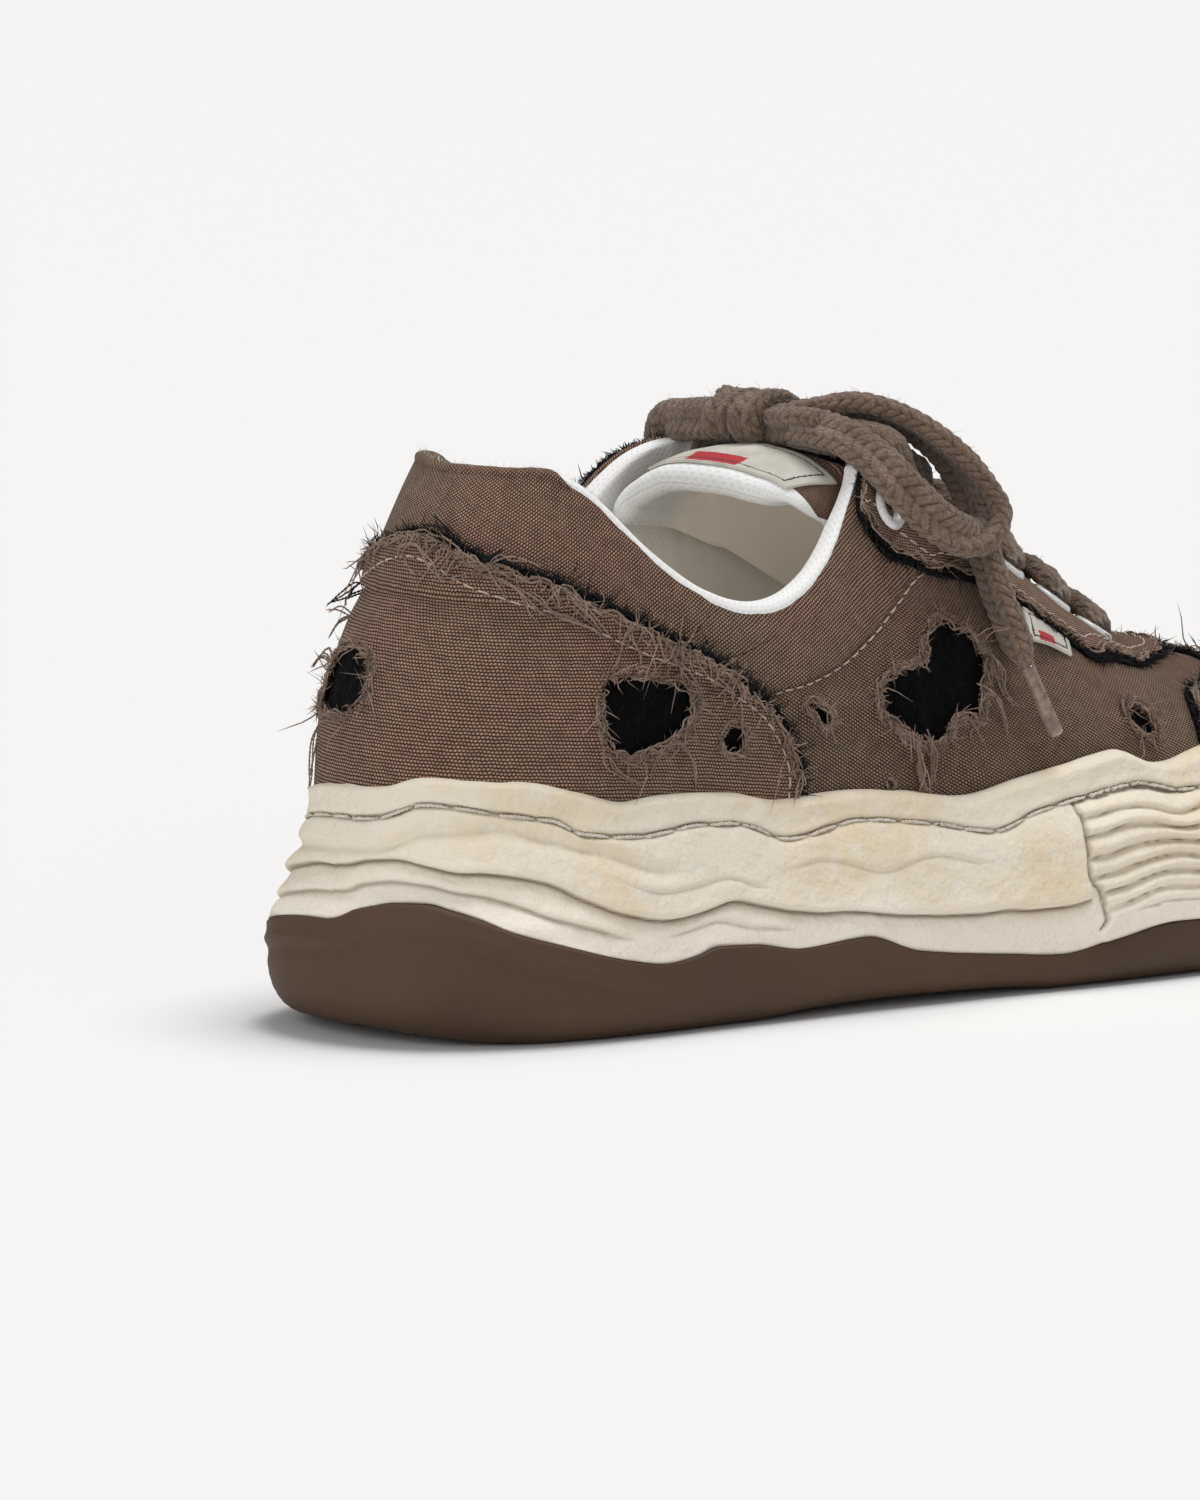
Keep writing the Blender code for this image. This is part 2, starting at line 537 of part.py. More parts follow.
def upper(t, parts, tools):
    """One hollow wall: an open band of ribs, given its thickness inwards and punched for eyelets."""
    seat = cavity_rows(t)
    rows = [seat[2] + (1 - seat[2]) * part for part in (1.0, 0.92, 0.76, 0.5, 0.25)] + seat[::-1]
    grid = np.array([upper_point(t, row) for row in rows])
    numbers = np.arange(grid.shape[0] * grid.shape[1]).reshape(grid.shape[:2]).tolist()
    faces = []
    for before, after in zip(numbers, numbers[1:]):
        faces += [face[::-1] for face in band_faces(before, after)]
    piece = add_mesh("upper", grid.reshape(-1, 3), faces, "canvas", parts)
    padding = piece.vertex_groups.new(name="padding")
    from_heel = np.minimum(t, RIB_COUNT - t)
    for row, row_share in enumerate(PADDING_BY_ROW):
        share = row_share * through(PADDING_BY_RIB, from_heel)
        for column, weight in enumerate(share):
            padding.add([numbers[row][column]], float(weight), "REPLACE")
    wall = piece.modifiers.new("wall", "SOLIDIFY")
    wall.thickness = COLLAR_WALL * MM
    wall.offset = -1
    wall.vertex_group = "padding"
    wall.thickness_vertex_group = WALL / COLLAR_WALL
    punch = bmesh.new()
    for side in SIDES:
        for station in EYELET_STATIONS:
            place, turn = eyelet_frame(station, side)
            radius = (BARREL_OUT + GAP) * MM
            made = bmesh.ops.create_cone(punch, cap_ends=True, segments=12, radius1=radius, radius2=radius,
                                         depth=PUNCH_DEPTH * MM)["verts"]
            bmesh.ops.rotate(punch, verts=made, matrix=turn)
            bmesh.ops.translate(punch, verts=made, vec=place)
    boolean(piece, finish_cutter("eyelet_punch", punch, tools), "DIFFERENCE")
    return piece


def eyelet_v(station, side):
    """How far up its rib an eyelet sits, a set way from the throat's edge."""
    t = station if side == "lateral" else RIB_COUNT - station
    tries = np.linspace(1, 0.5, 101)
    line = upper_point(np.full(len(tries), t), tries)
    run = np.concatenate([[0], np.cumsum(np.linalg.norm(np.diff(line, axis=0), axis=1))])
    return float(np.interp(EYELET_INSET, run, tries))


def eyelet_frame(station, side):
    """Place and turn of an eyelet, square to the wall."""
    v = eyelet_v(station, side)
    spot = over_wall(station, side, v, 0.0)
    normal = Vector(over_wall(station, side, v, 1.0) - spot)
    return Vector(to_metres(spot)), normal.to_track_quat("Z", "Y").to_matrix()


def eyelet(name, station, side, parts):
    """Turned ring: a front flange, a barrel through the wall and a smaller flange behind."""
    profile = [(BARREL_BORE, FLANGE_TOP), (FLANGE_TOP_OUT, FLANGE_TOP), (FLANGE_OUT, GAP),
               (BARREL_OUT, GAP), (BARREL_OUT, BACK_FLANGE_TOP), (BACK_FLANGE_OUT, BACK_FLANGE_TOP),
               (BACK_FLANGE_OUT, BACK_FLANGE_END), (BARREL_BORE, BACK_FLANGE_END)]
    mesh = bpy.data.meshes.new(name)
    count = len(profile)
    edges = [(k, (k + 1) % count) for k in range(count)]
    mesh.from_pydata([(r * MM, 0, z * MM) for r, z in profile], edges, [])
    piece = add_object(name, mesh, "ring", parts)
    screw = piece.modifiers.new("turn", "SCREW")
    screw.steps = 8
    screw.render_steps = 8
    screw.use_merge_vertices = True
    screw.merge_threshold = 0.00001
    place, turn = eyelet_frame(station, side)
    piece.matrix_world = turn.to_4x4()
    piece.location = place
    return piece


def tongue(parts):
    """Padded tongue: it lies under both eyestays and its free end leans back over the opening."""
    rows = []
    for station in TONGUE_STATIONS:
        v = np.array(TONGUE_TUCK)
        sides = []
        for t in (station, RIB_COUNT - station):
            at = np.full(len(v), t)
            sides.append(upper_point(at, v) - TONGUE_CLEAR * upper_normal(at, v))
        rows.append(bridge(sides[0], sides[1][::-1], TONGUE_CROWN))
    for end in TONGUE_END:
        across = np.linspace(1, -1, len(rows[0]))
        arch = 1 - np.abs(across) ** 2.2
        rows.append(np.column_stack([
            end.side_x * np.sin(across * math.pi / 2),
            end.side_y + (end.crown_y - end.side_y) * arch,
            end.side_z + (end.crown_z - end.side_z) * arch]))
    grid = np.array(rows)
    numbers = np.arange(grid.shape[0] * grid.shape[1]).reshape(grid.shape[:2]).tolist()
    faces = []
    for before, after in zip(numbers, numbers[1:]):
        faces += band_faces(before, after, closed=False)
    piece = add_mesh("tongue", grid.reshape(-1, 3), faces, "canvas", parts)
    pad = piece.modifiers.new("padding", "SOLIDIFY")
    pad.thickness = TONGUE_THICK * MM
    pad.offset = -1
    return piece


def bridge(left, right, crown):
    """Row of points from the outer side to the inner side, arched across the throat between them."""
    part = np.linspace(0, 1, 7)[1:-1, None]
    middle = left[-1] * (1 - part) + right[0] * part
    middle[:, 2] += crown * np.sin(part[:, 0] * math.pi)
    return np.concatenate([left, middle, right])


def over_wall(station, side, v, lift):
    """Point over the outside of the upper, lifted along its normal."""
    at = np.array([station if side == "lateral" else RIB_COUNT - station])
    where = np.array([v])
    return upper_point(at, where)[0] + lift * upper_normal(at, where)[0]


def lace_bar(first, second, crown_lift):
    """Bar from over one eyelet, across the throat and the tongue's crown, to over another eyelet."""
    (station, side), (far_station, far_side) = first, second
    step = (far_station - station) / 6
    middle_station = (station + far_station) / 2
    near_edge = over_wall(station + step, side, 1.0, LACE_LIFT)
    far_edge = over_wall(far_station - step, far_side, 1.0, LACE_LIFT)
    crown = (over_wall(middle_station, side, 1.0, 0) + over_wall(middle_station, far_side, 1.0, 0)) / 2
    crown[2] += crown_lift
    near = over_wall(station, side, eyelet_v(station, side), LACE_SEAT)
    far = over_wall(far_station, far_side, eyelet_v(far_station, far_side), LACE_SEAT)
    return route([near, near_edge, crown, far_edge, far], BAR_POINT_SPACING)


def lace_crossings(parts, tools):
    """All bars of the lacing, joined where they cross and where they meet over an eyelet."""
    last = EYELET_STATIONS[-1]
    bars = [lace_bar((last, "lateral"), (last, "medial"), CROWN_LIFT)]
    for here, after in zip(EYELET_STATIONS, EYELET_STATIONS[1:]):
        start, end = here - SEAT_STEP, after + SEAT_STEP
        bars.append(lace_bar((start, "lateral"), (end, "medial"), CROWN_LIFT))
        bars.append(lace_bar((start, "medial"), (end, "lateral"), CROWN_LIFT + OVERPASS))
    solids = []
    for number, points in enumerate(bars):
        bar = tube("lace_bar_%d" % number, points, LACE_RADIUS, None, tools)
        solids.append(curve_to_mesh(bar, tools))
    whole = solids[0]
    whole.name = "lace_crossings"
    whole.data.materials.append(material("lace"))
    tools.objects.unlink(whole)
    parts.objects.link(whole)
    for tool in solids[1:]:
        boolean(whole, hide_tool(tool), "UNION")
    return whole


def knot(parts):
    """The bow's knot, a soft lump over the top eyelets."""
    shape = bmesh.new()
    bmesh.ops.create_uvsphere(shape, u_segments=14, v_segments=8, radius=1.0)
    bmesh.ops.scale(shape, vec=Vector(KNOT_HALF) * MM, verts=shape.verts)
    bmesh.ops.translate(shape, vec=Vector(to_metres(KNOT_CENTRE)), verts=shape.verts)
    mesh = bpy.data.meshes.new("lace_knot")
    shape.to_mesh(mesh)
    shape.free()
    mesh.shade_smooth()
    return add_object("lace_knot", mesh, "lace", parts)


def aglet(side, tail, parts):
    """Hard tip on the end of a tail, lying the way that the tail's end points."""
    last = route(tail, LACE_POINT_SPACING)[-2:]
    slope = (last[1] - last[0]) / np.linalg.norm(last[1] - last[0])
    start = last[1] + slope * GAP
    points = start + np.outer([0.0, 0.5, 1.0], slope) * AGLET_LENGTH
    return tube("aglet_" + side, points, AGLET_RADIUS, "tip", parts)


def main():
    """Clear the file, then make every piece of the shoe in its own collection."""
    for piece in list(bpy.data.objects):
        bpy.data.objects.remove(piece)
    parts = bpy.data.collections.new(OBJECT_NAME)
    tools = bpy.data.collections.new("tools")
    bpy.context.scene.collection.children.link(parts)
    bpy.context.scene.collection.children.link(tools)

    around = np.arange(COLUMNS) * RIB_COUNT / COLUMNS
    outsole(around, parts, tools)
    midsole(around, parts)
    insole(around, parts)
    upper(around, parts, tools)
    tongue(parts)
    for side in SIDES:
        for number, station in enumerate(EYELET_STATIONS, 1):
            eyelet("eyelet_%s_%d" % (side, number), station, side, parts)
    lace_crossings(parts, tools)
    knot(parts)
    loops = {"lateral": LOOP_LATERAL, "medial": LOOP_MEDIAL}
    tails = {"lateral": TAIL_LATERAL, "medial": TAIL_MEDIAL}
    for side in SIDES:
        tube("lace_loop_" + side, route(loops[side], LACE_POINT_SPACING), LACE_RADIUS, "lace", parts)
        tube("lace_tail_" + side, route(tails[side], LACE_POINT_SPACING), LACE_RADIUS, "lace", parts)
        aglet(side, tails[side], parts)
    bpy.context.view_layer.update()


main()
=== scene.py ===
# %% [markdown]
# # A worn canvas sneaker, for the right foot
#
# The shoe has a thick cup of cream foam that looks squeezed by hand, a brown rubber sole, and a low
# canvas upper whose edges are left raw. The canvas is torn in places, and a black cloth shows
# through. Every surface here is a formula on a grid of points, worked out with numpy as whole
# arrays. The same few functions shape all the layers, as one last shapes every layer of a real shoe.
#
# Lengths are in millimetres until a mesh is made. +Y points to the toe, +X to the outer side and
# +Z up, and the sole stands on Z = 0.

# %% Load the fixed frame
import math
from collections import namedtuple

import bpy
import numpy as np
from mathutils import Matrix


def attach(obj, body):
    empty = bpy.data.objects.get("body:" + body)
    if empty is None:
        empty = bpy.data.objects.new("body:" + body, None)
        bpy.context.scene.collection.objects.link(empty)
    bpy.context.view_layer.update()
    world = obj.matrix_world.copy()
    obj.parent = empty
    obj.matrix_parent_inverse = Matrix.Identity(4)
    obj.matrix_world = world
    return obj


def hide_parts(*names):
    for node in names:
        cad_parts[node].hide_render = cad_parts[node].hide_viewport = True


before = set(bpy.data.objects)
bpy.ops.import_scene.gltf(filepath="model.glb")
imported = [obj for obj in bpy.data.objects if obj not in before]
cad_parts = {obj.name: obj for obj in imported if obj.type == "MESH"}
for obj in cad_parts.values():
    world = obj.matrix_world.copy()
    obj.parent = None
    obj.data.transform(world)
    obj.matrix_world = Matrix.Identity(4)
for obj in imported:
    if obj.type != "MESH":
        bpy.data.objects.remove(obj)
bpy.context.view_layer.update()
random = np.random.default_rng(11)
MM = 0.001

# %% [markdown]
# ## Meshes from arrays
#
# A mesh is two arrays: the points, and the point numbers of each face. Filling them in one call
# each is far quicker than adding faces one by one. A grid of points gives its faces by counting:
# each cell joins a point to its neighbours on the right and above.

# %% Helpers that turn arrays into meshes
def add_mesh(name, points, faces, finishes, uv=None, values=None, slots=None):
    """Smooth mesh from points in millimetres and faces that all have the same number of corners.

    uv holds two numbers for each corner of each face, values holds named numbers for each point,
    and slots says which of the finishes each face takes.
    """
    mesh = bpy.data.meshes.new(name)
    count, corners = faces.shape
    mesh.vertices.add(len(points))
    mesh.vertices.foreach_set("co", ((points - CENTRE) * MM).ravel())
    mesh.loops.add(count * corners)
    mesh.loops.foreach_set("vertex_index", faces.ravel())
    mesh.polygons.add(count)
    mesh.polygons.foreach_set("loop_start", np.arange(0, count * corners, corners))
    mesh.update(calc_edges=True)
    mesh.shade_smooth()
    if uv is not None:
        layer = mesh.uv_layers.new(name="UVMap")
        layer.uv.foreach_set("vector", np.asarray(uv, float).ravel())
    for label, numbers in (values or {}).items():
        mesh.attributes.new(label, "FLOAT", "POINT").data.foreach_set("value", np.asarray(numbers, float).ravel())
    for finish in finishes:
        mesh.materials.append(finish)
    if slots is not None:
        mesh.polygons.foreach_set("material_index", np.asarray(slots, int))
    mesh.update()
    piece = bpy.data.objects.new(name, mesh)
    bpy.context.scene.collection.objects.link(piece)
    print("%-22s %6d triangles" % (name, count * (corners - 2)))
    return piece


def grid_faces(rows, columns, closed=False, flip=False):
    """Row and column numbers of the four corners of each cell of a grid.

    A closed grid joins its last column to its first; the column numbers then run one past the end,
    so that a pattern laid along them doesn't turn back at the join.
    """
    r, c = np.mgrid[0:rows - 1, 0:(columns if closed else columns - 1)]
    corner_rows = np.stack([r, r, r + 1, r + 1], -1).reshape(-1, 4)
    corner_columns = np.stack([c, c + 1, c + 1, c], -1).reshape(-1, 4)
    if flip:
        return corner_rows[:, ::-1], corner_columns[:, ::-1]
    return corner_rows, corner_columns


def add_surface(name, points, finishes, closed=False, flip=False, uv=None, values=None):
    """Mesh of a whole grid of points, rows by columns by three. uv has a column more if closed."""
    rows, columns = points.shape[:2]
    r, c = grid_faces(rows, columns, closed, flip)
    corner_uv = None if uv is None else uv[r, c]
    flat = {label: numbers.ravel() for label, numbers in (values or {}).items()}
    return add_mesh(name, points.reshape(-1, 3), r * columns + c % columns, finishes, corner_uv, flat)


def place(piece, slot, *nodes):
    """The piece rides on the shoe and stands for the CAD nodes named; slot is not used."""
    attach(piece, "root")
    if nodes:
        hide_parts(*nodes)
    return piece


# %% [markdown]
# ## Smooth lines and soft noise
#
# A shoemaker draws with few points and a springy batten. Two curves do that here: one passes
# through rows of numbers round the whole shoe and joins up with itself, the other follows a small
# table without ever swinging past its values. Soft noise gives the small unevenness of cloth and
# foam: random numbers on the corners of cubes, blended smoothly between them.

# %% Curves and noise
def closed_spline(rows, t):
    """Cubic spline with continuous curvature through rows at whole t, closed on itself."""
    count = len(rows)
    system = 4 * np.eye(count) + np.roll(np.eye(count), 1, 0) + np.roll(np.eye(count), -1, 0)
    bends = np.linalg.solve(system, 6 * (np.roll(rows, -1, 0) - 2 * rows + np.roll(rows, 1, 0)))
    whole = np.floor(t).astype(int)
    part = (t - whole)[:, None]
    here, after = whole % count, (whole + 1) % count
    sag = part * (1 - part) / 6 * ((2 - part) * bends[here] + (1 + part) * bends[after])
    return rows[here] * (1 - part) + rows[after] * part - sag


def through(table, x):
    """Monotone cubic through (x, value) pairs: each slope is the harmonic mean of its neighbours."""
    knots, values = np.array(table, float).T
    step = np.diff(knots)
    slope = np.diff(values) / step
    tangent = np.zeros(len(knots))
    same_way = slope[1:] * slope[:-1] > 0
    mean = np.zeros(len(slope) - 1)
    mean[same_way] = 2 * slope[1:][same_way] * slope[:-1][same_way] / (slope[1:] + slope[:-1])[same_way]
    tangent[1:-1] = mean
    x = np.clip(np.asarray(x, float), knots[0], knots[-1])
    k = np.clip(np.searchsorted(knots, x) - 1, 0, len(step) - 1)
    f = (x - knots[k]) / step[k]
    rise = (3 - 2 * f) * f * f
    lean = step[k] * f * (1 - f) * ((1 - f) * tangent[k] - f * tangent[k + 1])
    return values[k] * (1 - rise) + values[k + 1] * rise + lean


def travelled(points):
    """Length walked along a line at each of its points, from 0."""
    return np.append(0, np.cumsum(np.linalg.norm(np.diff(points, axis=0), axis=1)))


def line_length(points):
    """Length of a line: the sum of its steps."""
    return float(np.linalg.norm(np.diff(points, axis=0), axis=1).sum())


def along_line(where, run, points):
    """Points of a line read off at places where, run being the length walked at each point."""
    return np.stack([np.interp(where, run, points[:, k]) for k in range(3)], -1)


def walked_down(grid):
    """Length walked down each column of a grid, from 0 in its first row."""
    steps = np.cumsum(np.linalg.norm(np.diff(grid, axis=0), axis=2), 0)
    return np.concatenate([np.zeros((1, grid.shape[1])), steps])


def route(points, spacing, closed=False):
    """Points about spacing apart on a Catmull-Rom curve through a few route points."""
    points = np.array(points, float)
    if closed:
        chain = np.vstack([points[-1:], points, points[:2]])
    else:
        chain = np.vstack([2 * points[0] - points[1], points, 2 * points[-1] - points[-2]])
    a, b, c, d = (chain[k:len(chain) - 3 + k, None] for k in range(4))
    f = np.linspace(0, 1, 16, endpoint=False)[None, :, None]
    fine = 0.5 * (2 * b + (c - a) * f + (2 * a - 5 * b + 4 * c - d) * f ** 2
                  + (3 * b - a - 3 * c + d) * f ** 3)
    fine = np.vstack([fine.reshape(-1, points.shape[1]), chain[-2]])
    run = travelled(fine)
    where = np.linspace(0, run[-1], max(3, round(run[-1] / spacing) + 1))
    even = np.column_stack([np.interp(where, run, fine[:, k]) for k in range(points.shape[1])])
    return even[:-1] if closed else even


def smoothstep(low, high, x):
    """0 below low, 1 above high, and 3f^2 - 2f^3 between them."""
    f = np.clip((x - low) / (high - low), 0, 1)
    return f * f * (3 - 2 * f)


def noise(points, size, seed=0):
    """Soft noise from -1 to 1: random numbers on the corners of cubes of that size, blended."""
    spot = np.asarray(points, float) / size
    cell = np.floor(spot).astype(np.int64)
    f = spot - cell
    f = f * f * (3 - 2 * f)
    total = np.zeros(spot.shape[:-1])
    for corner in np.ndindex(2, 2, 2):
        mixed = (cell + np.array(corner)) * np.array([73856093, 19349663, 83492791])
        mixed = mixed[..., 0] ^ mixed[..., 1] ^ mixed[..., 2] ^ (seed * 7919 + 101)
        mixed = ((mixed ^ (mixed >> 13)) * 1274126177) & 0x7FFFFFFF
        value = ((mixed ^ (mixed >> 15)) & 0xFFFF) / 0xFFFF
        total += np.prod(np.where(corner, f, 1 - f), axis=-1) * value
    return 2 * total - 1


def unit(vectors):
    """Vectors scaled to length one."""
    return vectors / np.maximum(np.linalg.norm(vectors, axis=-1, keepdims=True), 1e-9)


# %% [markdown]
# ## The last
#
# The last is the wooden foot that a shoe is built on. It is written here as thirty ribs that start
# at the footbed and end at the top edge. Rib 0 runs up the back of the heel, rib 15 lies over the
# toe, ribs 1 to 14 are on the outer side and 16 to 29 on the inner side. A place on the shoe is
# two numbers: t counts the ribs, and v goes from 0 at the footbed to 1 at the top edge.

# %% Ribs and height tables
Rib = namedtuple("Rib", "foot_x foot_y top_x top_y top_z rise swell reach drop")
RIBS = [
    #   foot_x  foot_y   top_x   top_y  top_z  rise swell reach drop
    Rib(0.0, -133.5, 0.0, -107.0, 119.5, 40, 3, 10, 30),       # heel back
    Rib(18.5, -128.5, 13.5, -104.0, 119.0, 40, 3, 9, 30),
    Rib(29.5, -111.0, 23.5, -96.0, 115.5, 36, 3, 6, 26),
    Rib(34.0, -87.0, 32.0, -81.5, 99.5, 24, 3, 3, 16),
    Rib(36.0, -61.0, 36.0, -60.0, 88.0, 18, 3, 2, 12),         # lowest point of the collar
    Rib(38.0, -37.0, 35.5, -40.5, 92.5, 20, 3, 3, 14),
    Rib(40.0, -19.0, 32.5, -28.0, 104.5, 28, 3, 4, 18),
    Rib(41.5, -5.0, 30.0, -21.0, 113.5, 32, 3, 6, 18),         # corner of the eyestay
    Rib(43.0, 7.0, 24.5, -13.5, 114.0, 32, 3, 11, 12),
    Rib(45.0, 19.0, 17.5, 1.0, 109.0, 30, 3, 18, 10),
    Rib(47.5, 35.0, 13.0, 24.0, 96.0, 28, 3, 22, 8),
    Rib(49.0, 51.0, 11.0, 46.0, 82.5, 25, 2, 24, 7),
    Rib(49.0, 68.0, 8.5, 64.0, 71.5, 23, 2, 26, 6),            # end of the throat
    Rib(44.0, 91.0, 4.5, 71.0, 68.2, 22, 2, 28, 4),
    Rib(28.0, 119.0, 1.5, 72.5, 67.5, 23, 2, 34, 3),
    Rib(-6.0, 134.0, -0.5, 73.0, 67.3, 24, 2, 38, 2),          # toe tip
    Rib(-36.0, 119.0, -2.5, 72.5, 67.5, 23, 2, 34, 3),
    Rib(-49.0, 91.0, -5.5, 71.0, 68.2, 22, 2, 28, 4),
    Rib(-49.0, 66.0, -8.5, 64.0, 71.5, 23, 2, 26, 6),
    Rib(-46.0, 48.0, -11.0, 46.0, 82.5, 26, 2, 24, 7),
    Rib(-42.0, 31.0, -13.0, 24.0, 96.0, 28, 3, 22, 8),
    Rib(-38.0, 14.0, -17.5, 1.0, 109.0, 30, 3, 18, 10),
    Rib(-35.5, 2.0, -24.5, -13.0, 115.0, 32, 3, 10, 12),
    Rib(-34.0, -9.0, -30.0, -20.5, 116.0, 34, 3, 5, 18),
    Rib(-33.0, -21.0, -32.5, -29.5, 114.0, 30, 3, 4, 18),
    Rib(-32.0, -37.0, -33.5, -41.0, 107.0, 24, 3, 3, 18),
    Rib(-31.0, -61.0, -33.5, -60.0, 94.5, 20, 3, 2, 14),
    Rib(-31.0, -87.0, -30.5, -81.5, 102.0, 24, 3, 3, 16),
    Rib(-28.0, -111.0, -23.5, -96.0, 116.0, 36, 3, 6, 26),
    Rib(-18.0, -128.5, -13.5, -104.0, 119.0, 40, 3, 9, 30),
]
RIB_TABLE = np.array(RIBS, float)
RIB_COUNT = len(RIBS)
HALF_WAY = RIB_COUNT / 2

# Heights along the length, as (y, z) pairs, y being that of the foot's outline.
GROUND = [(-150, 6.2), (-140, 3.3), (-133, 1.9), (-124, 0.6), (-112, 0), (-64, 0), (-45, 1.2), (-20, 1.6), (4, 1.0),
          (18, 0), (84, 0), (100, 1.8), (118, 6), (136, 11.5), (150, 16)]
FOOTBED = [(-145, 38), (-90, 37), (-40, 33), (10, 28), (50, 25.4), (84, 25.6), (112, 27.2), (145, 31)]
SHELL_FLOOR = [(-140, 15.5), (-112, 11.5), (-60, 9), (-20, 7), (10, 5.4), (40, 5.2), (84, 6.2),
               (104, 8.8), (124, 13), (145, 18.5)]
RUBBER_TOP = [(-134, 23.4), (-133.5, 25.4), (-132.9, 28.2), (-131.3, 29.7), (-128.9, 29.9), (-126.3, 28.6),
              (-123, 26.9), (-118, 24), (-110, 21), (-97, 17), (-88, 15.6), (-81, 16.6),
              (-76, 18), (-66, 17.5), (-53, 15.5), (-36, 16.5), (-21, 12.2),
              (5, 9.2), (18, 8.2), (31, 10.5), (46, 13), (62, 12.6), (78, 11.6), (96, 13.5),
              (116, 19), (134, 25)]
FOLD = [(-134, 34.2), (-133.5, 35.7), (-133, 37), (-131.3, 37.9), (-129, 37), (-125, 35.7), (-118, 34.9),
        (-112.7, 33.7), (-105.4, 29.4), (-97, 25.7), (-87, 24.3), (-70, 26), (-55, 23), (-34, 21.2),
        (-9, 18.5), (15, 18), (35, 21), (60, 22), (85, 22), (110, 27), (134, 33)]
GROOVE = [(-134, 45.5), (-130, 49.5), (-118, 47.3), (-110, 46), (-103, 42.8), (-90, 41.5), (-76, 42.7),
          (-66, 42.3), (-52, 38), (-34, 40.3), (-14, 38.2), (3, 35.4), (14, 38.3), (29, 41),
          (42, 42.5), (56, 40), (78, 41.5), (98, 40.5), (118, 44), (134, 47)]
FOXING = [(-134, 52), (-130, 54.8), (-113, 53.5), (-103, 50.5), (-93, 48), (-84, 49), (-66, 48.2),
          (-53, 45.6), (-36, 45.9), (-20, 44.8), (-2, 42.3), (12, 44.8), (26, 47), (38, 49),
          (52, 45.3), (66, 47), (84, 49), (102, 47.5), (120, 51), (134, 54)]
INNER_SIDE_SHIFT = 9.0     # the inner side has the same waves, this much further back
INNER_HEEL_END, INNER_HEEL_DIP = -112.0, 2.8   # and at its heel they give way to one soft dip

HEEL_TOP_DROP = [(-15, 0), (-2.4, 0), (-1.0, 1.0), (-0.55, 1.9), (-0.2, 2.7), (1.0, 2.4), (1.7, 1.5), (2.5, 0), (15, 0)]

# How far the sole's side stands outside the foot's outline, as (height above the floor, offset).
WIDEST_HEIGHT = 18.0
FLARE = [(0, 5.5), (4, 9.3), (9, 11.5), (18, 12.3), (30, 10.3), (43, 7.0), (50, 4.5), (60, 3.0)]


# %% Surface of the last
def foot_outline(t, offset=0.0):
    """Plan of the foot at rib t, moved outwards along the plan normal. Gives x, y and the normal."""
    ahead = closed_spline(RIB_TABLE[:, :2], t + 0.001) - closed_spline(RIB_TABLE[:, :2], t - 0.001)
    normal = unit(np.stack([ahead[:, 1], -ahead[:, 0]], 1))
    return closed_spline(RIB_TABLE[:, :2], t) + np.reshape(offset, (-1, 1)) * normal, normal


def upper_point(t, v):
    """Outside of the upper: a cubic curve up each rib, with its two handles from the rib's row."""
    shape = np.shape(t)
    t, v = np.ravel(t), np.ravel(v)[:, None]
    rows = closed_spline(RIB_TABLE, t)
    out = np.column_stack([foot_outline(t)[1], np.zeros(len(t))])
    up = np.array([0.0, 0.0, 1.0])
    rise, swell, reach, drop = (rows[:, k, None] for k in range(5, 9))
    foot = np.column_stack([rows[:, :2], through(FOOTBED, rows[:, 1])])
    top = rows[:, 2:5]
    low = foot + rise * up + swell * out
    high = top + reach * out - drop * up
    point = (1 - v) ** 3 * foot + 3 * (1 - v) ** 2 * v * low + 3 * (1 - v) * v ** 2 * high + v ** 3 * top
    from_heel = np.mod(t + HALF_WAY, RIB_COUNT) - HALF_WAY
    point[:, 2] -= through(HEEL_TOP_DROP, from_heel) * v[:, 0] ** 7
    return point.reshape(shape + (3,))


def upper_steps(t, v):
    """How the surface moves for one rib along and for one whole height up, by small differences."""
    small = 0.004
    along = (upper_point(t + small, v) - upper_point(t - small, v)) / (2 * small)
    lower, higher = np.clip(v - small, 0, 1), np.clip(v + small, 0, 1)
    upwards = (upper_point(t, higher) - upper_point(t, lower)) / (higher - lower)[..., None]
    return along, upwards


def upper_normal(t, v):
    """Outward normal: the step along crossed with the step up."""
    return unit(np.cross(*upper_steps(t, v)))


def v_at_height(t, height):
    """Where on each rib the upper reaches a height, read off a fine table of that rib."""
    tries = np.linspace(0, 0.6, 121)
    z = upper_point(np.repeat(t[:, None], 121, 1), np.repeat(tries[None], len(t), 0))[..., 2]
    return np.array([np.interp(h, row, tries) for h, row in zip(height, z)])


def side_height(table, t):
    """Height of a line around the sole; the inner side has the same waves a little further back.

    On the inner side of the heel the waves stop: the line sinks gently to the back instead.
    """
    y = foot_outline(t)[0][:, 1]
    inner = np.mod(t, RIB_COUNT) > HALF_WAY
    fade = np.clip((134 - np.abs(y)) / 30, 0, 1)
    height = through(table, y + np.where(inner, INNER_SIDE_SHIFT * fade, 0))
    back = RIBS[0].foot_y
    ends = through(table, np.array([back, INNER_HEEL_END + INNER_SIDE_SHIFT * (134 + INNER_HEEL_END) / 30]))
    share = np.clip((y - back) / (INNER_HEEL_END - back), 0, 1)
    sunk = ends[0] + (ends[1] - ends[0]) * share - INNER_HEEL_DIP * np.sin(np.pi * share)
    return np.where(inner & (y < INNER_HEEL_END), sunk, height)


around = np.linspace(0, RIB_COUNT, 601)[:-1]
widest = foot_outline(around, through(FLARE, WIDEST_HEIGHT))[0]
CENTRE = np.append((widest.min(axis=0) + widest.max(axis=0)) / 2, 0.0)
print("origin moved by", CENTRE.round(3))

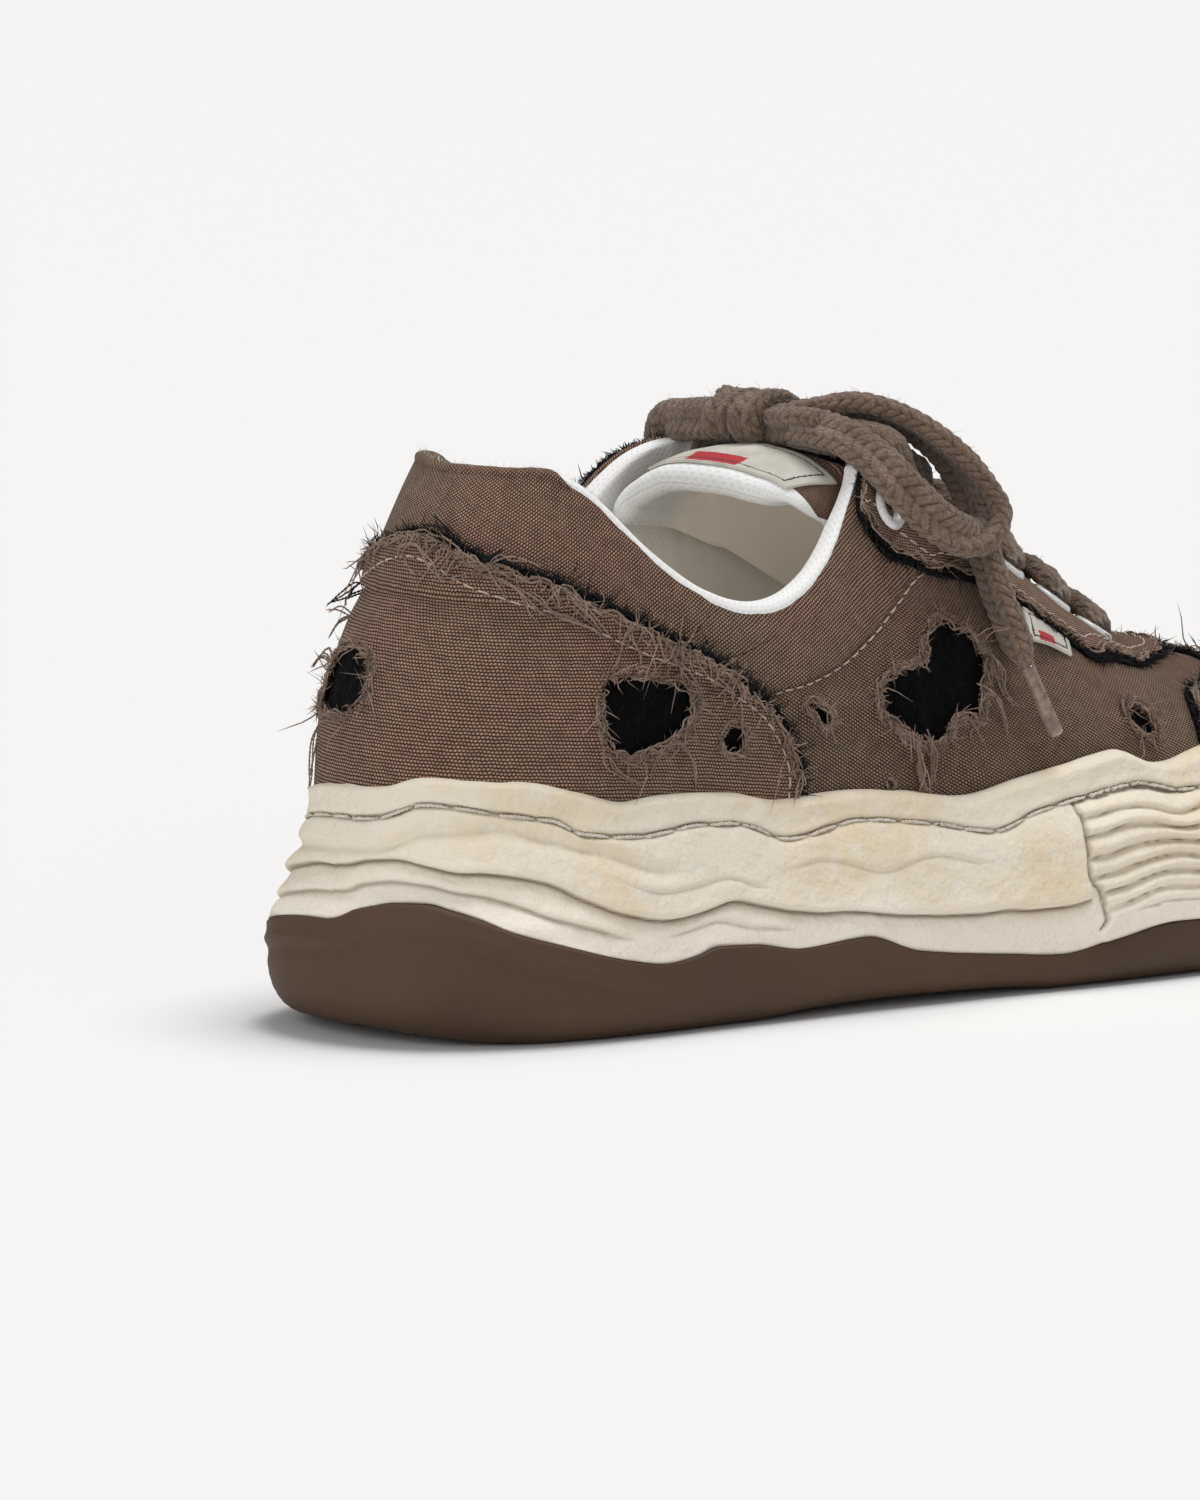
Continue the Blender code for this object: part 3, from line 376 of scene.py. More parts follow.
# %% [markdown]
# ## Where it is seen from
#
# The shoe is seen from behind and from its outer side, a little above the floor, through a long
# lens. A long lens keeps the heel from swelling, as product pictures of shoes do. The toe runs out
# of the picture on the right.

# %% Camera
VIEW_AZIMUTH = math.radians(48)
VIEW_FROM = np.array([1231.9, -1176.5, 258.0])
PITCH_DOWN = math.radians(7.02)
camera_data = bpy.data.cameras.new("camera")
camera_data.lens = 189.6
camera_data.sensor_width = 36
camera_data.clip_end = 60
camera = bpy.data.objects.new("camera", camera_data)
camera.location = (VIEW_FROM - CENTRE) * MM
camera.rotation_euler = (math.pi / 2 - PITCH_DOWN, 0, VIEW_AZIMUTH)
bpy.context.scene.collection.objects.link(camera)
bpy.context.scene.camera = camera
print("camera stands", round(float(np.linalg.norm(VIEW_FROM)) / 1000, 2), "m away")

# %% [markdown]
# ## Finishes that several materials share
#
# A shader node group is a small tool that is built once. The first one makes the relief of woven
# cloth: rows of weft that bulge between the warp yarns, each row shifted by half a yarn. The
# second one breaks a colour up into two soft scales of unevenness. They give out only numbers that
# change over the surface, and each material feeds them to its own shader.

# %% Node helpers
def new_material(name, color, roughness, **constants):
    """Principled material; returns the material, its node tree and its shader."""
    finish = bpy.data.materials.new(name)
    finish.use_nodes = True
    tree = finish.node_tree
    shader = tree.nodes["Principled BSDF"]
    shader.inputs["Base Color"].default_value = (*color, 1)
    shader.inputs["Roughness"].default_value = roughness
    for label, value in constants.items():
        shader.inputs[label.replace("_", " ")].default_value = value
    return finish, tree, shader


def node(tree, kind, inputs=None, **settings):
    """Adds a node, sets its properties, and links or sets its inputs by name or number."""
    made = tree.nodes.new(kind)
    for label, value in settings.items():
        setattr(made, label, value)
    for key, value in (inputs or {}).items():
        socket = made.inputs[key]
        if isinstance(value, bpy.types.NodeSocket):
            tree.links.new(value, socket)
        else:
            socket.default_value = value
    return made


def calculate(tree, operation, first, second=0.0, third=0.0):
    """One Math node; each operand is a socket or a number."""
    return node(tree, "ShaderNodeMath", {0: first, 1: second, 2: third},
                operation=operation).outputs[0]


def blend(tree, factor, first, second):
    """Mix of two colours, each a socket or three numbers."""
    made = node(tree, "ShaderNodeMix", data_type="RGBA")
    for socket, value in ((made.inputs[0], factor), (made.inputs[6], first), (made.inputs[7], second)):
        if isinstance(value, bpy.types.NodeSocket):
            tree.links.new(value, socket)
        else:
            socket.default_value = value if isinstance(value, float) else (*value, 1)
    return made.outputs[2]


def remap(tree, value, low, high, new_low=0.0, new_high=1.0):
    """Linear change of range, held at both ends."""
    return node(tree, "ShaderNodeMapRange", {0: value, 1: low, 2: high, 3: new_low, 4: new_high}).outputs[0]


def new_group(name, inputs, outputs):
    """Empty node group with its sockets; returns the tree, its input node and its output node."""
    group = bpy.data.node_groups.new(name, "ShaderNodeTree")
    for label, kind, default in inputs:
        socket = group.interface.new_socket(label, in_out="INPUT", socket_type=kind)
        if default is not None:
            socket.default_value = default
    for label, kind in outputs:
        group.interface.new_socket(label, in_out="OUTPUT", socket_type=kind)
    return group, group.nodes.new("NodeGroupInput"), group.nodes.new("NodeGroupOutput")


def use_group(tree, group, inputs):
    """A copy of a node group in a material."""
    made = tree.nodes.new("ShaderNodeGroup")
    made.node_tree = group
    for label, value in inputs.items():
        if isinstance(value, bpy.types.NodeSocket):
            tree.links.new(value, made.inputs[label])
        else:
            made.inputs[label].default_value = value
    return made


def bump(tree, shader, height, strength, distance):
    """Relief of a height, in metres of distance, into a shader's normal."""
    made = node(tree, "ShaderNodeBump", {"Strength": strength, "Distance": distance, "Height": height})
    tree.links.new(made.outputs[0], shader.inputs["Normal"])
    return made


# %% Shared groups: woven relief and uneven colour
def make_weave_group():
    """Weft rows are |sin(pi v)|, cut into grains |sin(pi u)| that shift by half a yarn each row."""
    group, entry, leave = new_group(
        "woven_relief",
        [("Millimetres", "NodeSocketVector", None), ("Yarn", "NodeSocketFloat", 0.5), ("Row", "NodeSocketFloat", 0.65)],
        [("Height", "NodeSocketFloat")])
    split = node(group, "ShaderNodeSeparateXYZ", {0: entry.outputs[0]})
    uneven = node(group, "ShaderNodeTexNoise", {"Vector": entry.outputs[0], "Scale": 0.35, "Detail": 2.0})
    sway = calculate(group, "MULTIPLY", uneven.outputs[0], 0.55)
    u = calculate(group, "DIVIDE", calculate(group, "ADD", split.outputs[0], sway), entry.outputs[1])
    v = calculate(group, "DIVIDE", calculate(group, "ADD", split.outputs[1], sway), entry.outputs[2])
    half = calculate(group, "MULTIPLY", calculate(group, "PINGPONG", calculate(group, "FLOOR", v), 1.0), 0.5)
    grain = calculate(group, "ABSOLUTE", calculate(group, "SINE", calculate(
        group, "MULTIPLY", calculate(group, "ADD", u, half), math.pi)))
    weft = calculate(group, "ABSOLUTE", calculate(group, "SINE", calculate(group, "MULTIPLY", v, math.pi)))
    body = calculate(group, "MULTIPLY_ADD", grain, 0.62, 0.38)
    height = calculate(group, "MULTIPLY", calculate(group, "POWER", weft, 0.6), body)
    group.links.new(height, leave.inputs[0])
    return group


def patches_on(tree, place_in_object, broad, fine):
    """The patchy group at two scales, on a piece's own coordinates."""
    return use_group(tree, patchy_group, {"Place": place_in_object, "Broad": broad, "Fine": fine})


def make_patchy_group():
    """Two scales of noise added together and stretched around a half."""
    group, entry, leave = new_group(
        "patchy", [("Place", "NodeSocketVector", None), ("Broad", "NodeSocketFloat", 30.0),
                   ("Fine", "NodeSocketFloat", 240.0)],
        [("Broad", "NodeSocketFloat"), ("Fine", "NodeSocketFloat")])
    broad = node(group, "ShaderNodeTexNoise", {"Vector": entry.outputs[0], "Scale": entry.outputs[1], "Detail": 3.0})
    fine = node(group, "ShaderNodeTexNoise", {"Vector": entry.outputs[0], "Scale": entry.outputs[2], "Detail": 4.0})
    group.links.new(remap(group, broad.outputs[0], 0.34, 0.66), leave.inputs[0])
    group.links.new(remap(group, fine.outputs[0], 0.30, 0.70), leave.inputs[1])
    return group


weave_group = make_weave_group()
patchy_group = make_patchy_group()

# %% [markdown]
# ## Canvas, fleece, lining and yarn
#
# The canvas is a heavy brown duck. It has been washed until its colour is uneven: redder in some
# places, more olive in others. Each grain of the weave is painted paler on top as a highlight, and
# the gaps between grains darker as shade. The cloth behind the tears is black and napped, and the
# lining is a white spacer mesh whose small holes are painted dark as shade and which is painted a
# paler beige deep in the shoe as light. The yarns that stick out of raw edges are the canvas's own,
# so they keep its colour but catch more light.

# %% Cloth materials
def make_canvas(name, grain_degrees, color, shade=1.0):
    """Washed duck canvas; its grain lies at an angle on the panel, measured in the UV map's millimetres. shade below 1
    darkens this copy as painted shade.
    """
    finish, tree, shader = new_material(name, color, 0.92, Sheen_Weight=0.06, Sheen_Roughness=0.5,
                                        Specular_IOR_Level=0.2)
    uv = node(tree, "ShaderNodeUVMap", uv_map="UVMap").outputs[0]
    turned = node(tree, "ShaderNodeMapping", {"Vector": uv, "Rotation": (0, 0, math.radians(grain_degrees))})
    weave = use_group(tree, weave_group, {"Millimetres": turned.outputs[0], "Yarn": 0.78, "Row": 0.72})
    place_in_object = node(tree, "ShaderNodeTexCoord").outputs["Object"]
    patches = patches_on(tree, place_in_object, 26.0, 420.0)
    reddish = tuple(shade * c * k for c, k in zip(color, (1.08, 0.93, 0.90)))
    olive = tuple(shade * c * k for c, k in zip(color, (0.93, 0.98, 0.88)))
    base = blend(tree, patches.outputs["Broad"], olive, reddish)
    speckle = remap(tree, patches.outputs["Fine"], 0.0, 1.0, 0.80, 1.17)
    # The weave's height is painted into the colour: the gaps between grains go dark as painted shade and the grain tops
    # up to 2.6 times paler as painted highlight.
    grain = remap(tree, weave.outputs["Height"], 0.30, 0.95, 0.0, 2.6)
    both = calculate(tree, "MULTIPLY", speckle, grain)
    lit = node(tree, "ShaderNodeVectorMath", {0: base, "Scale": both}, operation="SCALE").outputs[0]
    tree.links.new(lit, shader.inputs["Base Color"])
    bump(tree, shader, weave.outputs["Height"], 1.0, 0.00030)
    return finish


def make_fleece(name, color, paler):
    """Napped cloth: clumps of fibre, some of them paler, with soft deep relief."""
    finish, tree, shader = new_material(name, color, 1.0, Sheen_Weight=0.02, Sheen_Roughness=0.6,
                                        Specular_IOR_Level=0.03)
    place_in_object = node(tree, "ShaderNodeTexCoord").outputs["Object"]
    patches = patches_on(tree, place_in_object, 300.0, 1500.0)
    clumps = calculate(tree, "MULTIPLY", patches.outputs["Broad"], patches.outputs["Fine"])
    tree.links.new(blend(tree, clumps, color, paler), shader.inputs["Base Color"])
    height = calculate(tree, "ADD", patches.outputs["Broad"], calculate(tree, "MULTIPLY", patches.outputs["Fine"], 0.5))
    bump(tree, shader, height, 0.8, 0.0006)
    return finish


def make_yarn(name, color, paler):
    """Loose yarn or brushed lace: colour wanders along it, and a faint sheen stands for its fuzz."""
    finish, tree, shader = new_material(name, color, 0.95, Sheen_Weight=0.08, Sheen_Roughness=0.4,
                                        Specular_IOR_Level=0.15)
    place_in_object = node(tree, "ShaderNodeTexCoord").outputs["Object"]
    patches = patches_on(tree, place_in_object, 140.0, 1100.0)
    mixed = calculate(tree, "MULTIPLY_ADD", patches.outputs["Fine"], 0.6,
                      calculate(tree, "MULTIPLY", patches.outputs["Broad"], 0.4))
    tree.links.new(blend(tree, mixed, color, paler), shader.inputs["Base Color"])
    bump(tree, shader, patches.outputs["Fine"], 0.6, 0.0002)
    return finish


def make_mesh_lining(name, color, deep, dotted):
    """Spacer mesh: round dots in staggered rows, darker and deeper; the darkness is painted shade in the holes.

    Where attribute depth is 1 the colour is deep, a paler beige painted as the light inside the shoe.
    """
    finish, tree, shader = new_material(name, color, 0.9, Sheen_Weight=0.15, Specular_IOR_Level=0.2)
    uv = node(tree, "ShaderNodeUVMap", uv_map="UVMap").outputs[0]
    split = node(tree, "ShaderNodeSeparateXYZ", {0: uv})
    u = calculate(tree, "DIVIDE", split.outputs[0], 1.7)
    v = calculate(tree, "DIVIDE", split.outputs[1], 1.1)
    half = calculate(tree, "MULTIPLY", calculate(tree, "PINGPONG", calculate(tree, "FLOOR", v), 1.0), 0.5)
    across = calculate(tree, "SUBTRACT", calculate(tree, "FRACT", calculate(tree, "ADD", u, half)), 0.5)
    upwards = calculate(tree, "SUBTRACT", calculate(tree, "FRACT", v), 0.5)
    across_squared = calculate(tree, "POWER", calculate(tree, "MULTIPLY", across, 1.4), 2.0)
    away = calculate(tree, "SQRT", calculate(tree, "ADD", across_squared, calculate(tree, "POWER", upwards, 2.0)))
    hole = remap(tree, away, 0.18, 0.42, 1.0, 0.0)
    depth = node(tree, "ShaderNodeAttribute", attribute_name="depth").outputs["Fac"]
    # Towards depth 1 the cloth turns to deep, a paler warm beige: painted light for the inside of the shoe.
    cloth = blend(tree, remap(tree, depth, 0.12, 0.5), color, deep)
    # The holes are painted dark as their shade, fading out where depth is high.
    seen_hole = calculate(tree, "MULTIPLY", hole, remap(tree, depth, 0.2, 0.5, dotted, 0.0))
    tree.links.new(blend(tree, seen_hole, cloth, tuple(0.45 * c for c in color)), shader.inputs["Base Color"])
    bump(tree, shader, calculate(tree, "SUBTRACT", 1.0, seen_hole), 0.6, 0.0004)
    return finish


CANVAS_COLOR = (0.153, 0.099, 0.0715)
YARN_COLOR = (0.150, 0.098, 0.072)
canvas_level = make_canvas("canvas_level_grain", 2, CANVAS_COLOR)
canvas_collar = make_canvas("canvas_collar_grain", -33, CANVAS_COLOR)
# The quarter takes a copy darkened by shade: painted shade.
canvas_quarter = make_canvas("canvas_quarter_grain", 28, CANVAS_COLOR, shade=0.85)
fleece_black = make_fleece("black_fleece", (0.0018, 0.0020, 0.0024), (0.006, 0.0063, 0.0075))
yarn_brown = make_yarn("brown_yarn", YARN_COLOR, (0.37, 0.27, 0.21))
yarn_black = make_yarn("black_yarn", (0.004, 0.0044, 0.0052), (0.016, 0.017, 0.020))
# The second colour is the paler beige painted as light inside the shoe.
lining_white = make_mesh_lining("white_mesh", (0.86, 0.86, 0.85), (0.97, 0.915, 0.83), 0.20)
stitch_thread = make_yarn("stitch_thread", (0.42, 0.34, 0.27), (0.62, 0.53, 0.44))
print("materials so far:", len(bpy.data.materials))

# %% [markdown]
# ## The lace and its bow
#
# The lace is a soft, brushed, flat braid of cotton, about 10 mm wide and half as thick. Its body is
# an oval carried along a route, and the braid is relief: eight columns of slanting plaits round the
# oval, every other column leaning the other way, so that two neighbours make a V. The bow comes
# first, because its loops and ends hang free. They are as long as the routes below, and a free
# cord has to keep its length.

# %% Lace body
LACE_WIDTH, LACE_THICK = 9.2, 5.2
PLAIT_LENGTH = 2.5
PLAIT_DEPTH = 0.62


def make_lace_finish():
    """Brushed cotton whose colour is painted dark in the grooves between the plaits, as their shade."""
    finish, tree, shader = new_material("brushed_lace", (0.15, 0.105, 0.077), 0.97, Sheen_Weight=0.30,
                                        Sheen_Roughness=0.45, Specular_IOR_Level=0.15)
    place_in_object = node(tree, "ShaderNodeTexCoord").outputs["Object"]
    patches = patches_on(tree, place_in_object, 170.0, 1300.0)
    relief = node(tree, "ShaderNodeAttribute", attribute_name="relief").outputs["Fac"]
    pale = blend(tree, patches.outputs["Broad"], (0.185, 0.124, 0.086), (0.270, 0.186, 0.134))
    flecked = blend(tree, remap(tree, patches.outputs["Fine"], 0.30, 0.62, 0.35, 0.0), pale, (0.070, 0.047, 0.034))
    # Painted shade: the colour darkens where the relief sinks between plaits.
    groove_shaded = blend(tree, remap(tree, relief, 0.05, 0.62, 0.88, 0.0), flecked, (0.034, 0.022, 0.016))
    tree.links.new(groove_shaded, shader.inputs["Base Color"])
    bump(tree, shader, patches.outputs["Fine"], 0.9, 0.0005)
    return finish


lace_finish = make_lace_finish()


def tube_frame(path, hint):
    """Directions along a path: ahead, across (the hint made square to it) and through the lace."""
    ahead = unit(np.gradient(path, axis=0))
    hint = np.broadcast_to(hint, path.shape)
    across = unit(hint - np.sum(hint * ahead, 1, keepdims=True) * ahead)
    return ahead, across, np.cross(ahead, across)


def lace_grid(path, hint, neck_start=0.0, neck_end=0.0, neck=1.9, seed=0, sides=40, size=1.0):
    """Oval tube with braided relief. Over the neck lengths it narrows to a round of radius neck.

    The oval is (a cos^0.85, b sin^0.85), with a soft crease down the middle of its wide faces. The
    relief is |sin pi(s / plait + lean * f)|, where f runs across one of eight columns and the lean
    changes sign from one column to the next, so that neighbours make a row of arrows.
    """
    run = travelled(path)
    ahead, across, through_lace = tube_frame(path, hint)
    round_part = np.ones(len(path))
    if neck_start:
        round_part *= smoothstep(0, neck_start, run)
    if neck_end:
        round_part *= smoothstep(0, neck_end, run[-1] - run)
    half_width = neck + (size * LACE_WIDTH / 2 - neck) * round_part
    half_thick = neck + (size * LACE_THICK / 2 - neck) * round_part
    angle = np.arange(sides) * 2 * math.pi / sides
    cosine, sine = np.cos(angle), np.sin(angle)
    x = (np.sign(cosine) * np.abs(cosine) ** 0.85)[None] * half_width[:, None]
    y = (np.sign(sine) * np.abs(sine) ** 0.85)[None] * half_thick[:, None]
    y = y * (1 - 0.34 * round_part[:, None] * np.exp(-(cosine / 0.30) ** 2)[None])
    column = angle / (2 * math.pi) * 8
    f = column % 1
    lean = np.where(np.floor(column) % 2 == 0, 0.9, -0.9)
    plaits = np.abs(np.sin(math.pi * (run[:, None] / PLAIT_LENGTH + (lean * f)[None])))
    relief = plaits ** 0.7 * (1 - 0.5 * np.abs(2 * f - 1) ** 6)[None]
    grid = path[:, None] + x[..., None] * across[:, None] + y[..., None] * through_lace[:, None]
    outwards = unit(grid - path[:, None])
    lumps = noise(grid, 5.0, seed) * 0.16 + noise(grid, 0.9, seed + 1) * 0.09
    grid += outwards * ((relief - 0.7) * PLAIT_DEPTH * (0.4 + 0.6 * round_part[:, None]) + lumps)[..., None]
    grid = np.concatenate([np.repeat(path[:1, None], sides, 1), grid, np.repeat(path[-1:, None], sides, 1)])
    return grid, np.concatenate([relief[:1], relief, relief[-1:]])


lace_bodies = []


def add_lace(name, grids):
    """One piece from one or more lace grids: their points and faces are stacked."""
    lace_bodies.extend(grid for grid, relief in grids)
    points, faces, reliefs, start = [], [], [], 0
    for grid, relief in grids:
        rows, columns = grid.shape[:2]
        r, c = grid_faces(rows, columns, closed=True, flip=True)
        faces.append(start + r * columns + c % columns)
        points.append(grid.reshape(-1, 3))
        reliefs.append(relief.ravel())
        start += rows * columns
    return add_mesh(name, np.concatenate(points), np.concatenate(faces), [lace_finish],
                    values={"relief": np.concatenate(reliefs)})


def facing(path, turns):
    """Wide direction of a flat lace: square to the path, turned by turns of 0 (wide) to 1 (thin).

    The turns are knots spread evenly along the path and blended between.
    """
    ahead = unit(np.gradient(path, axis=0))
    flat = unit(np.cross(SEEN_ALONG, ahead))
    turn = through(list(zip(np.linspace(0, 1, len(turns)), turns)), np.linspace(0, 1, len(path))) * math.pi / 2
    return flat * np.cos(turn)[:, None] + np.cross(ahead, flat) * np.sin(turn)[:, None]


# %% Bow: two loops, two ends and their tips
KNOT_CENTRE = (0.0, -19.0, 121.5)
LOOP_LATERAL = [(13.4, -15.2, 123.8), (20, -10, 125), (27.5, -4, 122.5), (34, 1.5, 117), (38.5, 6, 110.5),
                (41.5, 8, 103), (43, 3.8, 98.6), (43.4, -2.7, 98.3), (42.6, -9.8, 101.9), (39.6, -15.3, 107.9),
                (34.4, -18.7, 114.1), (27.6, -20.5, 118.5), (20, -21.8, 120.5), (13.4, -22.2, 121)]
LOOP_MEDIAL = [(-13.4, -15.2, 123), (-20, -11.2, 123.2), (-28.5, -5.8, 121), (-36, -0.2, 114.8),
               (-41, 4.5, 107), (-43.5, 6, 101), (-44, 0.5, 97.5), (-43.5, -6, 100), (-41, -11.5, 106.5),
               (-37.2, -15, 113.8), (-31.2, -18.8, 119), (-22, -21.5, 120.2), (-13.4, -22.2, 121)]
TAIL_LATERAL = [(7.5, -11.6, 122.6), (13, -6, 123.8), (20, 0, 121.6), (27, 6, 115.8), (32.5, 9, 107.5),
                (35.5, 9.5, 98.5), (38.6, 10, 90), (41.8, 11, 81.5), (44.0, 13, 74.2), (45.2, 15.2, 68.6)]
TAIL_MEDIAL = [(-7.5, -11.6, 122.6), (-13, -6, 123.5), (-20, 0, 121.4), (-27, 6, 116), (-33, 9.5, 108),
               (-36, 10.5, 98.5), (-38, 13, 89), (-40.4, 16, 80), (-42.6, 18.5, 72.5), (-43.8, 21, 67)]
LACE_STEP = 0.46
SEEN_ALONG = np.array([-math.sin(VIEW_AZIMUTH), math.cos(VIEW_AZIMUTH), -0.1])
TIP_LENGTH = 16.5
TIP_RADIUS = 1.75


def make_tip_finish():
    """Shrunk film over the braid: clear, brown and glossy, with faint ribs of yarn beneath."""
    finish, tree, shader = new_material("clear_brown_tip", (0.21, 0.145, 0.105), 0.22, Coat_Weight=0.8,
                                        Coat_Roughness=0.08, Transmission_Weight=0.12, IOR=1.48)
    place_in_object = node(tree, "ShaderNodeTexCoord").outputs["Object"]
    patches = patches_on(tree, place_in_object, 500.0, 1600.0)
    tree.links.new(blend(tree, patches.outputs["Broad"], (0.13, 0.088, 0.062), (0.30, 0.215, 0.16)),
                   shader.inputs["Base Color"])
    bump(tree, shader, patches.outputs["Broad"], 0.3, 0.0002)
    return finish


tip_finish = make_tip_finish()


def add_tip(name, start, direction):
    """Thin tube of film, a little flattened, with a pinched collar and a flat cut end."""
    along = np.array([0, 0, 0.6, 2.0, 8.0, TIP_LENGTH - 0.7, TIP_LENGTH, TIP_LENGTH])
    radius = TIP_RADIUS * np.array([0, 0.92, 1.04, 0.97, 0.96, 1.0, 0.9, 0])
    angle = np.arange(24) * 2 * math.pi / 24
    _, across, other = tube_frame(np.array([start, start + direction, start + 2 * direction]), SEEN_ALONG)
    ring = np.cos(angle)[:, None] * across[0] * 0.9 + np.sin(angle)[:, None] * other[0]
    ring = ring * (1 - 0.10 * np.exp(-((angle - 2.2) / 0.25) ** 2))[:, None]
    grid = start + along[:, None, None] * direction + radius[:, None, None] * ring[None]
    return add_surface(name, grid, [tip_finish], closed=True, flip=True)


TURNS = {"lateral": (0.75, 0.95, 0.9, 0.25, 0.0, 0.35, 0.4), "medial": (0.6, 0.9, 0.9, 0.5, 0.1, 0.0, 0.0)}
NECK = {"lateral": 4, "medial": 22}
for side, loop, tail in (("lateral", LOOP_LATERAL, TAIL_LATERAL), ("medial", LOOP_MEDIAL, TAIL_MEDIAL)):
    path = route(loop, LACE_STEP)
    piece = place(add_lace("bow_loop_" + side, [lace_grid(path, facing(path, TURNS[side]), seed=3)]),
                  "lace", "lace_loop_" + side)
    path = route(tail, LACE_STEP)
    end_grid = lace_grid(path, facing(path, (0.6, 0.7, 0.5, 0.65, 0.6)), NECK[side], 7, 1.5, seed=5)
    piece = place(add_lace("bow_end_" + side, [end_grid]), "lace", "lace_tail_" + side)
    direction = unit(path[-1] - path[-4])
    tip = place(add_tip("lace_tip_" + side, path[-1] - 0.8 * direction, direction), "tip", "aglet_" + side)

# The knot is two turns of the lace round the strands, side by side: each is an ellipse in a plane
# that is nearly square to the bow. Three strands run through it, from loop to loop and end to end.
knot_parts = []
turn = np.linspace(-0.75 * math.pi, 1.45 * math.pi, 80)
for shift, tall, deep in ((-9.2, 3.9, 6.2), (-0.9, 4.2, 6.6)):
    wrap = np.column_stack([KNOT_CENTRE[0] + shift + 0.9 * np.sin(turn / 2 + 0.6), KNOT_CENTRE[1] + deep * np.cos(turn),
                            KNOT_CENTRE[2] + tall * np.sin(turn)])
    wrap = route(wrap, LACE_STEP)
    knot_parts.append(lace_grid(wrap, np.array([1.0, 0.10, 0.10]), 5, 5, 1.8, seed=8 + int(shift), size=0.94))
CORES = [([(-20, -11.2, 123.2), (-13.4, -15.2, 123), (-5, -17.6, 121.9), (5, -17.6, 122.1), (13.4, -15.2, 123.8),
           (20, -10, 125)], (0.75, 0.6, 0.7, 0.75, 0.8)),
         ([(-22, -21.5, 120.2), (-13.4, -22.2, 121), (-5, -21.2, 120.6), (5, -21.2, 120.4), (13.4, -22.2, 121),
           (20, -21.8, 120.5)], (0.0, 0.1, 0.3, 0.4, 0.4)),
         ([(-7.5, -11.6, 122.6), (0, -14.2, 121.6), (7.5, -11.6, 122.6), (13, -6, 123.8)], (0.6, 0.6, 0.6))]
for core, turns in CORES:
    core = route(core, LACE_STEP)
    knot_parts.append(lace_grid(core, facing(core, turns), seed=12, sides=32, size=0.95))
place(add_lace("bow_knot", knot_parts), "lace", "lace_knot")

# %% [markdown]
# ## Foam cup
#
# The foam looks like clay that was folded in layers. Its side is one surface round the whole sole.
# A table of heights gives each crease its wave along the shoe. At a crease the layer above swells
# and tucks under, and the layer below starts a little further in, so the relief is a soft step and
# not a plain groove. Forward of a ragged upright step, the side has seven wavy ridges instead.

# %% Relief of the foam's side
LIP = 3.7
Crease = namedtuple("Crease", "heights bulge tuck swell first last")
# heights as (y, z); bulge of the layer above, tuck of the layer below, how high the bulge reaches,
# and the first and last y between which the crease lies.
CREASES = [
    Crease(FOLD, 1.25, 1.0, 4.5, -150, 24.4),
    Crease([(-134, 28.6), (-133.5, 30.3), (-133, 32.3), (-131.3, 33.4), (-129, 33.1), (-125, 31.5),
            (-120, 30), (-113, 27), (-104, 23.6), (-94, 20.5)], 0.8, 0.8, 3.0, -150, -94),
    Crease([(-100, 33), (-88, 30), (-72, 31), (-60, 28.5)], 0.4, 0.3, 3.0, -100, -58),
    Crease([(-60, 31), (-45, 33), (-30, 30), (-16, 31.5), (0, 29)], 0.35, 0.25, 3.0, -58, 2),
    Crease([(-90, 21), (-76, 22.5), (-64, 20.5), (-50, 19.2)], 0.45, 0.45, 2.5, -92, -52),
]
VALLEY = [(-134, 39), (-129, 44), (-119, 44.3), (-110, 41.3), (-100, 38.0), (-88, 34.5), (-76, 32.5)]
STEP_Y = 24.4
RIDGES = 7


def fold_relief(above, crease):
    """Above a crease: bulge that rises in 0.9 mm and dies away. Below: a tuck that recovers.

    above is the height over the crease. Returns the relief and how deep in the crease a point is.
    """
    dying = np.exp(-np.clip(above - 1.2, 0, None) / crease.swell)
    over = crease.bulge * (1 - np.exp(-np.clip(above, 0, None) / 0.8)) * dying
    under = -crease.tuck * np.exp(-np.clip(-above, 0, None) / 2.0)
    notch = -0.75 * crease.tuck * np.exp(-(above / 0.38) ** 2)
    over = over - crease.tuck * np.exp(-np.clip(above, 0, None) / 0.35)
    return np.where(above > 0, over, under) + notch, np.exp(-(above / 0.42) ** 2)


